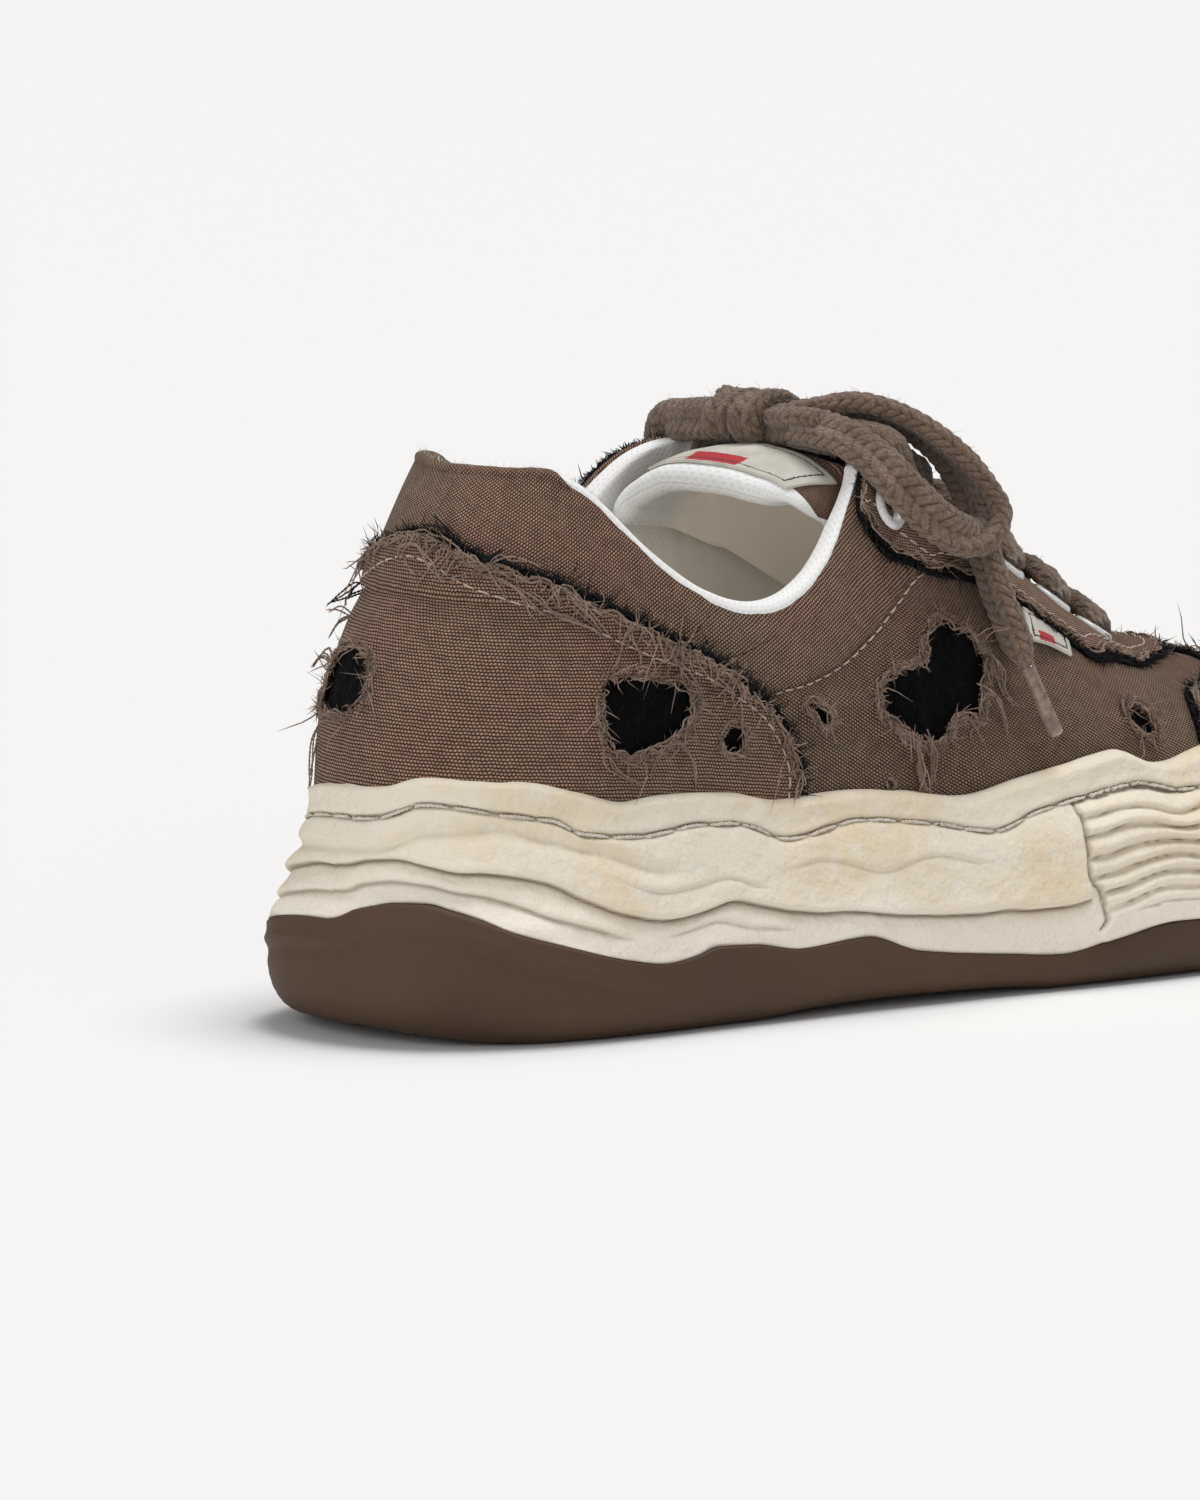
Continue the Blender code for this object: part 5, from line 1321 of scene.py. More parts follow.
# %% Tears and panel outlines
COUNTER_HOLES = [
    [(-0.92, 0.30), (-0.86, 0.40), (-0.55, 0.45), (-0.10, 0.44), (0.02, 0.38), (-0.02, 0.30),
     (-0.35, 0.27), (-0.75, 0.27)],
    [(2.44, 0.46), (2.84, 0.52), (3.35, 0.55), (3.40, 0.46), (3.18, 0.36), (2.91, 0.30), (2.60, 0.26), (2.48, 0.32)],
    [(3.66, 0.40), (3.76, 0.46), (3.92, 0.455), (3.90, 0.38), (3.72, 0.365)],
    [(-3.35, 0.30), (-3.10, 0.44), (-2.70, 0.50), (-2.35, 0.44), (-2.45, 0.32), (-2.85, 0.27)],
]
QUARTER_HOLES = [
    [(4.68, 0.53), (4.80, 0.535), (5.02, 0.47), (5.05, 0.43), (4.93, 0.43), (4.75, 0.49)],
    [(7.38, 0.50), (8.0, 0.52), (8.6, 0.49), (8.78, 0.45), (8.50, 0.38), (8.1, 0.30), (7.55, 0.31), (7.2, 0.27),
     (6.70, 0.25), (6.3, 0.30), (5.85, 0.40), (5.91, 0.45), (6.41, 0.46), (7.0, 0.45)],
    [(5.78, 0.195), (5.86, 0.215), (5.94, 0.195), (5.86, 0.175)],
    [(10.85, 0.40), (11.1, 0.48), (11.4, 0.46), (11.42, 0.38), (11.1, 0.35)],
    [(21.0, 0.34), (21.6, 0.46), (22.6, 0.50), (23.2, 0.44), (23.0, 0.33), (22.1, 0.29)],
    [(18.6, 0.38), (18.8, 0.46), (19.2, 0.45), (19.2, 0.37), (18.9, 0.35)],
]
COUNTER_EDGE = [(0, 0.77), (0.47, 0.75), (1.0, 0.70), (1.75, 0.66), (2.34, 0.65), (2.78, 0.66), (3.25, 0.67),
                (3.62, 0.655), (3.95, 0.60), (4.22, 0.53), (4.42, 0.43), (4.54, 0.32), (4.54, 0.21), (4.50, 0.10),
                (4.48, 0.04)]
EYESTAY_EDGE = [(7.06, 1.0), (6.62, 0.965), (6.42, 0.90), (6.62, 0.80), (6.98, 0.71), (7.53, 0.66), (8.38, 0.62),
                (9.03, 0.64), (9.70, 0.665), (10.44, 0.62), (10.95, 0.60), (11.6, 0.69), (12.7, 0.75), (13.8, 0.77),
                (15.0, 0.775)]
TOE_EDGE = [(12.02, 0.04), (12.08, 0.20), (12.25, 0.40), (12.63, 0.56), (13.5, 0.60), (14.47, 0.62), (15.0, 0.625)]


def torn(loops, seed):
    """Ragged versions of the hole loops, each turned so that the cloth is to its right."""
    lines = [ragged(fine_line(loop, 0.5), 0.9, seed + k) for k, loop in enumerate(loops)]
    turned = [np.sum(x * np.roll(y, -1) - y * np.roll(x, -1)) > 0 for x, y in (line.T for line in lines)]
    return [line if keeps else line[::-1] for line, keeps in zip(lines, turned)]


def both_sides(edge, from_heel=True):
    """Edge of one side, and its mirror, as one line from the inner side to the outer or back."""
    edge = np.array(edge, float)
    if from_heel:
        mirror = edge[:0:-1] * [-1, 1]
        return np.vstack([mirror, edge])
    mirror = edge[-2::-1] * [-1, 1] + [RIB_COUNT, 0]
    return np.vstack([edge, mirror])


PANEL_BOTTOM = 0.04        # panels end here, under the foam's top edge


def close_below(line):
    """Panel outline: an upper edge closed by a straight bottom edge, turned to run anticlockwise."""
    if line[-1, 0] <= line[0, 0]:
        return line
    ends = np.linspace(line[0, 0], line[-1, 0], 60)
    return np.vstack([np.column_stack([ends, np.full(60, PANEL_BOTTOM)])[:-1], line[::-1]])


counter_holes = torn(COUNTER_HOLES, 200)
quarter_holes = torn(QUARTER_HOLES, 220)
counter_edge = ragged(fine_line(both_sides(COUNTER_EDGE), 0.6, closed=False), 0.8, 240, closed=False)
counter_black_edge = shift_line(fine_line(both_sides(COUNTER_EDGE), 0.6, closed=False), -2.2, closed=False)
toe_edge = ragged(fine_line(both_sides(TOE_EDGE, False), 0.6, closed=False), 0.7, 250, closed=False)
toe_black_edge = shift_line(fine_line(both_sides(TOE_EDGE, False), 0.6, closed=False), -2.0, closed=False)
eyestay_line = fine_line(both_sides(EYESTAY_EDGE, False), 0.6, closed=False)
eyestay_edge = ragged(shift_line(eyestay_line, -2.3, closed=False), 0.6, 260, closed=False)


def close_above(line):
    """Panel outline of the eyestay: its outer edge closed by the throat's edge at v = 1."""
    line = np.column_stack([line[:, 0], np.clip(line[:, 1], 0, 1)])
    ends = np.linspace(line[-1, 0], line[0, 0], 200)
    return np.vstack([line, np.column_stack([ends, np.full(200, 1.0)])[1:-1]])


# %% Base canvas: quarters, collar and vamp in one
COLLAR_END = 7.03          # where the collar's lining stops and the throat begins
ROLL_SHARE = [(0, 3.0), (2.1, 3.2), (2.6, 4.2), (3.2, 4.3), (5.0, 4.0), (5.8, 3.0), (6.6, 2.0), (7.0, 1.6), (15, 1.4)]


def lining_top(t):
    """v of the canvas's upper edge: the rolled lining takes the last few millimetres at the collar."""
    side_t = mirrored_t(t)
    drop = through(ROLL_SHARE, side_t) * (1 - smoothstep(COLLAR_END - 0.15, COLLAR_END + 0.1, side_t))
    tall = np.linalg.norm(upper_steps(t, np.full(np.shape(t), 0.985))[1], axis=-1)
    return 1 - 0.55 * drop / tall


def base_rows(t_line):
    """Rows of v from just inside the foam to the upper edge."""
    low = v_at_height(t_line, side_height(FOXING, t_line) - 4.0)
    return low[None] + (lining_top(t_line) - low)[None] * np.linspace(0, 1, 88)[:, None]


def base_slots(t, v):
    """0 is the quarter's cloth, 1 the collar's; the seam lies between them."""
    side_t = mirrored_t(t)
    return ((v > through(SEAM, side_t)) & (side_t < 8.2)).astype(int)


base = place(cut_panel("canvas_base", None, 0.0, [canvas_quarter, canvas_collar], thickness=2.0, cell=1.06,
                       holes=quarter_holes, curl=1.5, slot_of=base_slots, closed=True, rows_of=base_rows),
             "canvas", "upper")

# %% Black cloth, heel counter, eyestay and toe cap
for number, hole in enumerate(quarter_holes, 1):
    wider = shift_line(hole, 3.5)
    place(cut_panel("black_behind_tear_%d" % number, wider, -1.1, [fleece_black], cell=0.9, thickness=0.6,
                    swell=lambda t, v: 0.3 * noise(upper_point(t, v), 3.0, 85)), "lining")

place(cut_panel("black_under_counter", close_below(counter_black_edge), 0.85, [fleece_black], cell=1.5,
                swell=lambda t, v: 0.25 * noise(upper_point(t, v), 3.0, 86)), "lining")
place(cut_panel("heel_counter", close_below(counter_edge), 1.75, [canvas_level], cell=0.85,
                holes=counter_holes, curl=1.3), "canvas")
place(cut_panel("black_under_toe_cap", close_below(toe_black_edge[::-1])[::-1], 0.85, [fleece_black], cell=1.2),
      "lining")
place(cut_panel("toe_cap", close_below(toe_edge[::-1])[::-1], 1.6, [canvas_level], cell=1.0), "canvas")
place(cut_panel("black_under_eyestay", close_above(eyestay_line), 0.85, [fleece_black], cell=1.3), "lining")
place(cut_panel("eyestay", close_above(eyestay_edge), 1.7, [canvas_level], cell=0.85), "canvas")

# %% [markdown]
# ## White lining
#
# The lining is a white spacer mesh over soft foam. It wraps over the collar's edge, so a white roll
# frames the opening, and goes down inside to the footbed. Near the heel and along the collar the
# wall is padded; at the throat it is thin. One grid does it all: the first rows are half a turn
# over the edge, the others go down inside at the wall's thickness.

# %% Lining
COLLAR_WALL, WALL = 6.0, 2.4
PADDING_ROUND = [(0, 1), (4.5, 0.9), (6.2, 0.6), (7.0, 0.42), (7.6, 0), (15, 0)]
PADDING_UP = [(0, 0), (0.25, 0.0), (0.5, 0.2), (0.76, 0.8), (0.92, 1.0), (1, 1.0)]


def wall_thickness(t, v):
    """Outside to inside of the upper: the padding's share round the shoe times its share up a rib."""
    behind = 1.4 * (1 - smoothstep(0.55, 0.72, v))
    return WALL - 0.5 + behind + (COLLAR_WALL - WALL) * through(PADDING_ROUND, mirrored_t(t)) * through(PADDING_UP, v)


def rolled_edge(t, angle, proud=0.0):
    """The top edge rolled over the wall: angle 0 is its outside and pi its inside, raised by proud.

    The section is half an ellipse, from the canvas over the top to the wall's inner face.
    """
    near_top = np.full(t.shape, 0.992)
    normal, step_up = upper_normal(t, near_top), upper_steps(t, near_top)[1]
    drop = np.linalg.norm(step_up, axis=-1) * (1 - lining_top(t))
    relief = skin_relief(t, lining_top(t), upper_point(t, lining_top(t)))
    wall = wall_thickness(t, np.ones(t.shape))
    turn = np.cos(angle)
    out = (relief + 0.15) * (1 + turn) / 2 - wall * (1 - turn) / 2 + proud * turn
    rise = drop * np.where(angle < 0, np.sin(angle), np.abs(np.sin(angle)) ** 0.8) + proud * np.sin(angle)
    return upper_point(t, np.ones(t.shape)) + out[..., None] * normal + (rise - drop)[..., None] * unit(step_up)


LINING_COLUMNS = 420
lining_t = np.arange(LINING_COLUMNS) * RIB_COUNT / LINING_COLUMNS
edge_normal = upper_normal(lining_t, np.full(LINING_COLUMNS, 0.992))
lining_rows, depth_rows = [], []
for angle in np.linspace(-0.12, 1.0, 12) * math.pi:
    lining_rows.append(rolled_edge(lining_t, np.full(LINING_COLUMNS, angle)))
    depth_rows.append(np.zeros(LINING_COLUMNS))
floor_v = v_at_height(lining_t, through(FOOTBED, foot_outline(lining_t)[0][:, 1]) + 1.0)
# depth rises down the inner wall; there the lining is painted paler as the light inside the shoe.
for share in np.linspace(0.02, 1, 34) ** 1.15:
    v = lining_top(lining_t) * (1 - share) + floor_v * share
    sunk = np.minimum(skin_relief(lining_t, v, upper_point(lining_t, v)), 0) * (1 - smoothstep(0.62, 0.85, v))
    inwards = (sunk - wall_thickness(lining_t, v) + 0.4 * share)[:, None]
    inner = upper_point(lining_t, v) + inwards * upper_normal(lining_t, v)
    lining_rows.append(inner)
    depth_rows.append(np.full(LINING_COLUMNS, share))
lining_grid = np.array(lining_rows)
lining_grid += (0.22 * noise(lining_grid, 6.0, 91) + 0.10 * noise(lining_grid, 2.2, 92))[..., None] * edge_normal[None]
down = walked_down(lining_grid)
across_uv = cloth_millimetres(lining_t, np.full(LINING_COLUMNS, 0.9))[:, 0]
across_uv = np.append(np.unwrap(across_uv, period=length_along[-1]), across_uv[0] + length_along[-1])
lining_uv = np.stack([np.repeat(across_uv[None], len(down), 0), np.concatenate([down, down[:, :1]], 1)], -1)
place(add_surface("lining", lining_grid, [lining_white], closed=True, uv=lining_uv,
                  values={"depth": np.array(depth_rows)}), "lining")

# %% Canvas that turns over the edge at the heel tab and on the inner collar
Binding = namedtuple("Binding", "name first last reach")
# reach: how far over the edge the canvas goes, as (t, angle in turns of pi).
BINDINGS = [Binding("heel_binding", -3.0, 1.98, [(-3.0, -0.12), (-2.3, 0.6), (-1.4, 0.95), (0, 1.0), (1.1, 0.9),
                                                 (1.6, 0.5), (1.98, -0.12)]),
            Binding("inner_collar_binding", 22.4, 25.9, [(22.4, 0.25), (23.2, 0.40), (24.6, 0.42), (25.4, 0.3),
                                                         (25.9, -0.12)])]
for binding in BINDINGS:
    columns = int((binding.last - binding.first) * 14)
    band_t = np.linspace(binding.first, binding.last, columns)
    share = np.linspace(0, 1, 15)[:, None]
    angle = (-0.12 + share * (through(binding.reach, band_t) + 0.12)[None]) * math.pi
    band_t = np.repeat(band_t[None], 15, 0)
    proud = 0.05 + 0.45 * smoothstep(0.0, 0.4, share)
    proud = proud + 0.06 * noise(np.stack([band_t * 6, angle, angle * 0], -1), 1.0, 97)
    band = rolled_edge(band_t, angle, proud)
    walked = walked_down(band)
    band_uv = cloth_millimetres(band_t, np.full(band_t.shape, 0.98)) + np.stack([walked * 0, walked], -1)
    rim = band[-1] - np.array([0, 0, 0.6])
    place(add_surface(binding.name, np.concatenate([band, rim[None]]), [canvas_collar],
                      uv=np.concatenate([band_uv, band_uv[-1:]])), "canvas")

# %% Insole
insole_t = np.arange(240) * RIB_COUNT / 240
footbed = through(FOOTBED, foot_outline(insole_t)[0][:, 1])
rings = []
for rise, inset in ((0.2, 2.2), (0.4, 1.9), (3.2, 1.9), (4.0, 2.4), (4.2, 3.4)):
    ring = upper_point(insole_t, v_at_height(insole_t, footbed + rise))
    normal = np.column_stack([foot_outline(insole_t)[1], np.zeros(240)])
    ring = ring - inset * normal
    ring[:, 2] = footbed + rise
    rings.append(ring)
top = rings[-1]
half = 120
left_edge, right_edge = top[:half + 1], np.roll(top[::-1], 1, axis=0)[:half + 1]
part = np.linspace(0, 1, 25)[:, None, None]
bed = left_edge[None] * (1 - part) + right_edge[None] * part
bed[..., 2] += -1.4 * np.sin(math.pi * part[..., 0]) + 0.4 * noise(bed, 20.0, 95)
bed_uv = bed[..., :2]
# The insole's top and side take the inside's painted light all over (depth 1).
insole = place(add_surface("insole_top", bed, [lining_white], uv=bed_uv, values={"depth": np.ones(bed.shape[:2])}),
               "lining", "insole")
place(add_surface("insole_side", np.array(rings), [lining_white], closed=True,
                  uv=np.zeros((5, 241, 2)), values={"depth": np.ones((5, 240))}), "lining")

# %% [markdown]
# ## Tongue
#
# The tongue is a padded tab. It lies under both eyestays, and its free end arches and leans back
# over the opening. Its face is brown canvas. The white lining wraps round its edge and covers its
# back. Each cross-section is a closed loop: over the face, round one edge, back along the lining
# and round the other edge. The last rows shrink that loop to nothing, which rounds the end.

# %% Tongue surface
TONGUE_CLEAR, TONGUE_THICK, TONGUE_CROWN = 4.6, 6.0, 2.6
TONGUE_STATIONS = [12.4, 11.6, 10.8, 10.0, 9.2, 8.4, 7.8]
TONGUE_TUCK = np.array([0.70, 0.80, 0.90, 1.0])
TongueEnd = namedtuple("TongueEnd", "crown_y crown_z side_x side_y side_z")
TONGUE_END = [TongueEnd(-21, 116, 28, -19.5, 100), TongueEnd(-31, 115.5, 27, -25, 101.5),
              TongueEnd(-39, 113, 25, -29.5, 103)]

INNER_CORNER = np.array([-1.5, -9.0, -0.5])    # the inner corner hangs further back


def refine(grid, factor, axis):
    """Catmull-Rom curve through the rows or columns of a grid, factor points to each old one."""
    grid = np.moveaxis(grid, axis, 0)
    chain = np.concatenate([2 * grid[:1] - grid[1:2], grid, 2 * grid[-1:] - grid[-2:-1]])
    a, b, c, d = (chain[k:len(chain) - 3 + k][:, None] for k in range(4))
    f = np.linspace(0, 1, factor, endpoint=False).reshape((1, factor) + (1,) * (grid.ndim - 1))
    fine = 0.5 * (2 * b + (c - a) * f + (2 * a - 5 * b + 4 * c - d) * f ** 2 + (3 * b - a - 3 * c + d) * f ** 3)
    fine = np.concatenate([fine.reshape((-1,) + grid.shape[1:]), grid[-1:]])
    return np.moveaxis(fine, 0, axis)


tongue_rows = []
for station in TONGUE_STATIONS:
    edges = [upper_point(np.full(4, t), TONGUE_TUCK) - TONGUE_CLEAR * upper_normal(np.full(4, t), TONGUE_TUCK)
             for t in (station, RIB_COUNT - station)]
    part = np.linspace(0, 1, 7)[1:-1, None]
    middle = edges[0][-1] * (1 - part) + edges[1][-1] * part
    middle[:, 2] += TONGUE_CROWN * np.sin(part[:, 0] * math.pi)
    tongue_rows.append(np.concatenate([edges[0], middle, edges[1][::-1]]))
for end, share in zip(TONGUE_END, (0.3, 0.65, 1.0)):
    across = np.linspace(1, -1, 13)
    arch = 1 - np.abs(across) ** np.where(across < 0, 1.75, 2.2)
    corner = share * np.clip(-across, 0, 1)[:, None] ** 2.5 * INNER_CORNER
    tongue_rows.append(corner + np.column_stack([end.side_x * np.sin(across * math.pi / 2),
                                                 end.side_y + (end.crown_y - end.side_y) * arch,
                                                 end.side_z + (end.crown_z - end.side_z) * arch]))
tongue_face = refine(refine(np.array(tongue_rows), 7, 0), 6, 1)
tongue_up = unit(np.cross(np.gradient(tongue_face, axis=1), np.gradient(tongue_face, axis=0)))
tongue_up *= np.sign(tongue_up[..., 2].mean())
face_rows, face_columns = tongue_face.shape[:2]
pillow = 0.5 * noise(tongue_face, 12.0, 101) + 0.2 * noise(tongue_face, 4.0, 102)
tongue_face = tongue_face + pillow[..., None] * tongue_up
rim = np.linspace(0, 1, 7)[1:-1] * math.pi


def tongue_loop(row, thickness, forward):
    """Closed cross-section of the tongue at a row, with its thickness, moved forward off its end."""
    face, up = tongue_face[row] + forward, tongue_up[row]
    middle = face - up * TONGUE_THICK / 2
    upper_side, lower_side = middle + up * thickness / 2, middle - up * thickness / 2
    sideways = unit(face[-1] - face[-2])
    far_rim = (middle[-1] + up[-1] * thickness / 2 * np.cos(rim)[:, None]
               + sideways * thickness / 2 * np.sin(rim)[:, None])
    sideways = unit(face[0] - face[1])
    near_rim = (middle[0] - up[0] * thickness / 2 * np.cos(rim)[:, None]
                + sideways * thickness / 2 * np.sin(rim)[:, None])
    return np.concatenate([upper_side, far_rim, lower_side[::-1], near_rim])


loops = [tongue_loop(row, TONGUE_THICK, 0.0) for row in range(face_rows)]
end_forward = unit(tongue_face[-1] - tongue_face[-3])
ROLL_STEPS = 9
for angle in np.linspace(0, 0.5, ROLL_STEPS + 1)[1:] * math.pi:
    shift = end_forward * TONGUE_THICK / 2 * math.sin(angle) * 1.1
    loops.append(tongue_loop(face_rows - 1, max(TONGUE_THICK * math.cos(angle), 0.05), shift))
tongue_grid = np.array(loops)
columns = tongue_grid.shape[1]
run_along = travelled(tongue_face[:, face_columns // 2])
run_along = np.append(run_along, run_along[-1] + 0.55 * TONGUE_THICK * np.linspace(0.1, 1.4, ROLL_STEPS))
run_round = travelled(np.vstack([tongue_grid[20], tongue_grid[20, :1]]))
tongue_uv = np.stack(np.broadcast_arrays(run_round[None, :], run_along[:, None]), -1)
r, c = grid_faces(len(tongue_grid), columns, closed=True)
is_face = (c.min(1) < face_columns - 1) & (r.min(1) < face_rows - 3)
depth = np.zeros(tongue_grid.shape[:2])
# The tongue's back takes the painted inside light, except near its free end.
depth[:, face_columns:] = (1 - smoothstep(run_along[-1] - 34, run_along[-1] - 12, run_along))[:, None]
tongue = add_mesh("tongue_padded", tongue_grid.reshape(-1, 3), r * columns + c % columns, [lining_white, canvas_level],
                  uv=tongue_uv[r, c], slots=is_face.astype(int), values={"depth": depth.ravel()})
place(tongue, "canvas", "tongue")

# %% [markdown]
# ## Fibres, yarns and stitches
#
# A raw edge is made of hundreds of loose yarns. Each one is a thin tube with three or four sides,
# and all the tubes of one kind are computed together as one array of paths: yarns by points by
# three. They start on the edge, point away from the cloth, lean along it by chance, and curl. A
# stitch is a short thick tube that dips into the cloth at both ends.

# %% Thin tubes in one array
def add_fibres(name, paths, radius, finish, sides=3):
    """Tapered tubes, one for each path (fibres, points, 3). Closed at both ends by triangles.

    The radius is one number or one for each fibre; it follows (1 - s^4)^0.5 towards the tip.
    """
    count, steps = paths.shape[:2]
    ahead = unit(np.gradient(paths, axis=1))
    slanted = unit(random.normal(size=(count, 1, 3)))
    across = unit(slanted - np.sum(slanted * ahead, -1, keepdims=True) * ahead)
    other = np.cross(ahead, across)
    s = np.linspace(0, 1, steps)
    taper = np.sqrt(np.clip(1 - s ** 4, 0.02, 1))
    size = np.reshape(radius, (-1, 1)) * taper[None]
    angle = np.arange(sides) * 2 * math.pi / sides
    ring = np.cos(angle)[:, None] * across[:, :, None] + np.sin(angle)[:, None] * other[:, :, None]
    points = paths[:, :, None] + size[..., None, None] * ring
    k, i, j = np.mgrid[0:count, 0:steps - 1, 0:sides]
    start = (k * steps + i) * sides
    a, b = start + j, start + (j + 1) % sides
    quads = np.stack([a, b, b + sides, a + sides], -1).reshape(-1, 4)
    triangles = np.concatenate([quads[:, [0, 1, 2]], quads[:, [0, 2, 3]]])
    base = (np.arange(count) * steps * sides)[:, None]
    fan = np.array([[0, q + 1, q] for q in range(1, sides - 1)])
    tip = base + (steps - 1) * sides
    lids = [base + triangle for triangle in fan] + [tip + triangle[::-1] for triangle in fan]
    return add_mesh(name, points.reshape(-1, 3), np.concatenate([triangles] + lids), [finish])


def curled(roots, directions, lengths, curl, steps=5, droop=0.0):
    """Paths that leave their roots along the directions, bend sideways with s^2 and wave a little."""
    s = np.linspace(0, 1, steps)[None, :, None]
    count = len(roots)
    bend = random.normal(size=(count, 1, 3)) * curl
    wave = random.normal(size=(count, 1, 3)) * curl * 0.35
    phase = random.uniform(0, 6.28, (count, 1, 1))
    lengths = np.reshape(lengths, (-1, 1, 1))
    drop = np.array([0, 0, -1.0]) * droop
    path = directions[:, None] * s + (bend + drop) * s ** 2 + wave * np.sin(6 * s + phase) * s
    return roots[:, None] + lengths * path


def edge_fibres(line, away, lift, per_mm, length, spread, stand, curl, closed=False, steps=3, droop=0.0, keep=None):
    """Loose fibres along an edge of (t, v). away is +1 to its right and -1 to its left.

    spread lets them lean along the edge, and stand lets them rise off the cloth.
    """
    points, ahead, normal, right = outward(line, closed)
    if keep is not None:
        chosen = keep(line[:, 0], line[:, 1])
        points, ahead, normal, right = points[chosen], ahead[chosen], normal[chosen], right[chosen]
    total = np.linalg.norm(np.diff(points, axis=0), axis=1)
    number = int(total[total < 3].sum() * per_mm)
    k = random.integers(0, len(points) - 1, number)
    f = random.uniform(0, 1, (number, 1))
    near = np.linalg.norm(points[k + 1] - points[k], axis=1) < 3
    k, f = k[near], f[near]
    number = len(k)
    root = points[k] * (1 - f) + points[k + 1] * f
    root = root + normal[k] * (lift + random.uniform(-0.25, 0.25, (number, 1)))
    root = root - away * right[k] * random.uniform(0, 0.7, (number, 1))
    direction = unit(away * right[k] + ahead[k] * random.normal(0, spread, (number, 1))
                     + normal[k] * np.abs(random.normal(stand, 0.3, (number, 1))))
    return curled(root, direction, length * random.lognormal(0, 0.35, number), curl, steps, droop)


YARN_POINTS = 9


def wandering(line, closed, pieces, length, reach, lift, keep=None):
    """Yarns that lie along an edge and weave about it: each follows a stretch of the line."""
    points, ahead, normal, right = outward(line, closed)
    total = len(points)
    spacing = float(np.median(np.linalg.norm(np.diff(points, axis=0), axis=1)))
    span = max(2, int(length / spacing))
    start = random.integers(0, total if closed else max(1, total - span - 1), pieces)
    if keep is not None:
        chosen = keep(line[(start + span // 2) % total, 0], line[(start + span // 2) % total, 1])
        start = start[chosen]
    pieces = len(start)
    run = random.uniform(0.5, 1.0, (pieces, 1)) * span
    index = start[:, None] + np.linspace(0, 1, YARN_POINTS)[None] * run
    low = index.astype(int) % total
    high = (low + 1) % total if closed else np.minimum(low + 1, total - 1)
    f = (index % 1)[..., None]
    gap = np.linalg.norm(points[high] - points[low], axis=-1, keepdims=True) > 4
    base = np.where(gap, points[low], points[low] * (1 - f) + points[high] * f)
    s = np.linspace(0, 1, YARN_POINTS)[None, :, None]
    phase = random.uniform(0, 6.28, (3, pieces, 1, 1))
    side = (reach * random.uniform(-0.7, 0.7, (pieces, 1, 1)) + 0.6 * reach * np.sin(5 * s + phase[0])
            + 0.25 * reach * np.sin(13 * s + phase[1]))
    rise = lift + 0.35 + 0.45 * np.sin(7 * s + phase[2]) * random.uniform(0.3, 1.2, (pieces, 1, 1))
    return base + right[low] * side + normal[low] * rise


# %% Stitches
def stitch_paths(line, lift, pitch, length, proud=0.22):
    """Short arcs along a line of (t, v): each dips into the cloth at its two ends."""
    points, _, normal, _ = outward(line, False)
    run = travelled(points)
    centre = np.arange(pitch / 2, run[-1], pitch)
    s = np.linspace(-0.5, 0.5, 7)
    where = centre[:, None] + s[None] * length
    path = along_line(where, run, points)
    up = along_line(where, run, normal)
    rise = lift + proud * (1 - (2 * s) ** 4) - 0.35 * (np.abs(s) > 0.45)
    return path + rise[None, :, None] * up


def simple_line(knots, mirror=False):
    """Fine open line through knots of (t, v); mirrored to the inner side if asked."""
    knots = np.array(knots, float)
    if mirror:
        knots = knots * [-1, 1] + [RIB_COUNT, 0]
    return fine_line(knots, 0.5, closed=False)


SEAM_STITCHES = [(4.35, 0.583), (4.56, 0.588), (5.35, 0.578), (6.13, 0.578), (6.69, 0.588), (7.22, 0.598),
                 (7.88, 0.618), (8.25, 0.628)]
BACK_SEAM = [(0.18, 0.985), (0.12, 0.92), (0.05, 0.85), (-0.02, 0.79)]
counter_plain = fine_line(both_sides(COUNTER_EDGE), 0.5, closed=False)
counter_seam = shift_line(counter_plain, 4.6 - 2.2 * smoothstep(2.6, 4.3, np.abs(counter_plain[:, 0])), closed=False)
toe_plain = fine_line(both_sides(TOE_EDGE, False), 0.5, closed=False)
toe_seam = shift_line(toe_plain, 3.4, closed=False)
eyestay_seam = shift_line(fine_line(both_sides(EYESTAY_EDGE, False), 0.5, closed=False), -5.2, closed=False)
seams = [stitch_paths(counter_seam, 1.75, 3.3, 2.7), stitch_paths(toe_seam, 1.6, 3.3, 2.7),
         stitch_paths(eyestay_seam, 1.7, 3.3, 2.7)]
for mirror in (False, True):
    seams.append(stitch_paths(simple_line(SEAM_STITCHES, mirror), 0.0, 2.9, 2.2, proud=0.3))
back_seam = stitch_paths(simple_line(BACK_SEAM), 0.0, 1.7, 0.8, proud=0.2)
place(add_fibres("stitches", np.concatenate(seams), 0.23, stitch_thread, sides=5), "lace")
place(add_fibres("back_seam", back_seam, 0.17, yarn_brown, sides=4), "lace")

# %% Raw edges of the heel counter, the toe cap and the eyestay
no_sole = lambda t, v: v > 0.08
black = [edge_fibres(counter_black_edge, -1, 0.75, 4, 1.5, 0.6, 0.5, 0.35, keep=no_sole),
         edge_fibres(toe_black_edge, -1, 0.75, 4, 1.4, 0.6, 0.5, 0.35, keep=no_sole),
         edge_fibres(eyestay_line, 1, 0.75, 4, 1.4, 0.6, 0.5, 0.35, keep=lambda t, v: v < 0.995)]
for line, away, keep in ((counter_black_edge, -1, no_sole), (toe_black_edge, -1, no_sole),
                         (eyestay_line, 1, lambda t, v: v < 0.995)):
    black.append(edge_fibres(shift_line(line, away * -1.0, closed=False), away, 0.85, 2, 1.2, 0.9, 1.4, 0.5, keep=keep))
place(add_fibres("black_raw_edges", np.concatenate(black), 0.13, yarn_black), "lining")

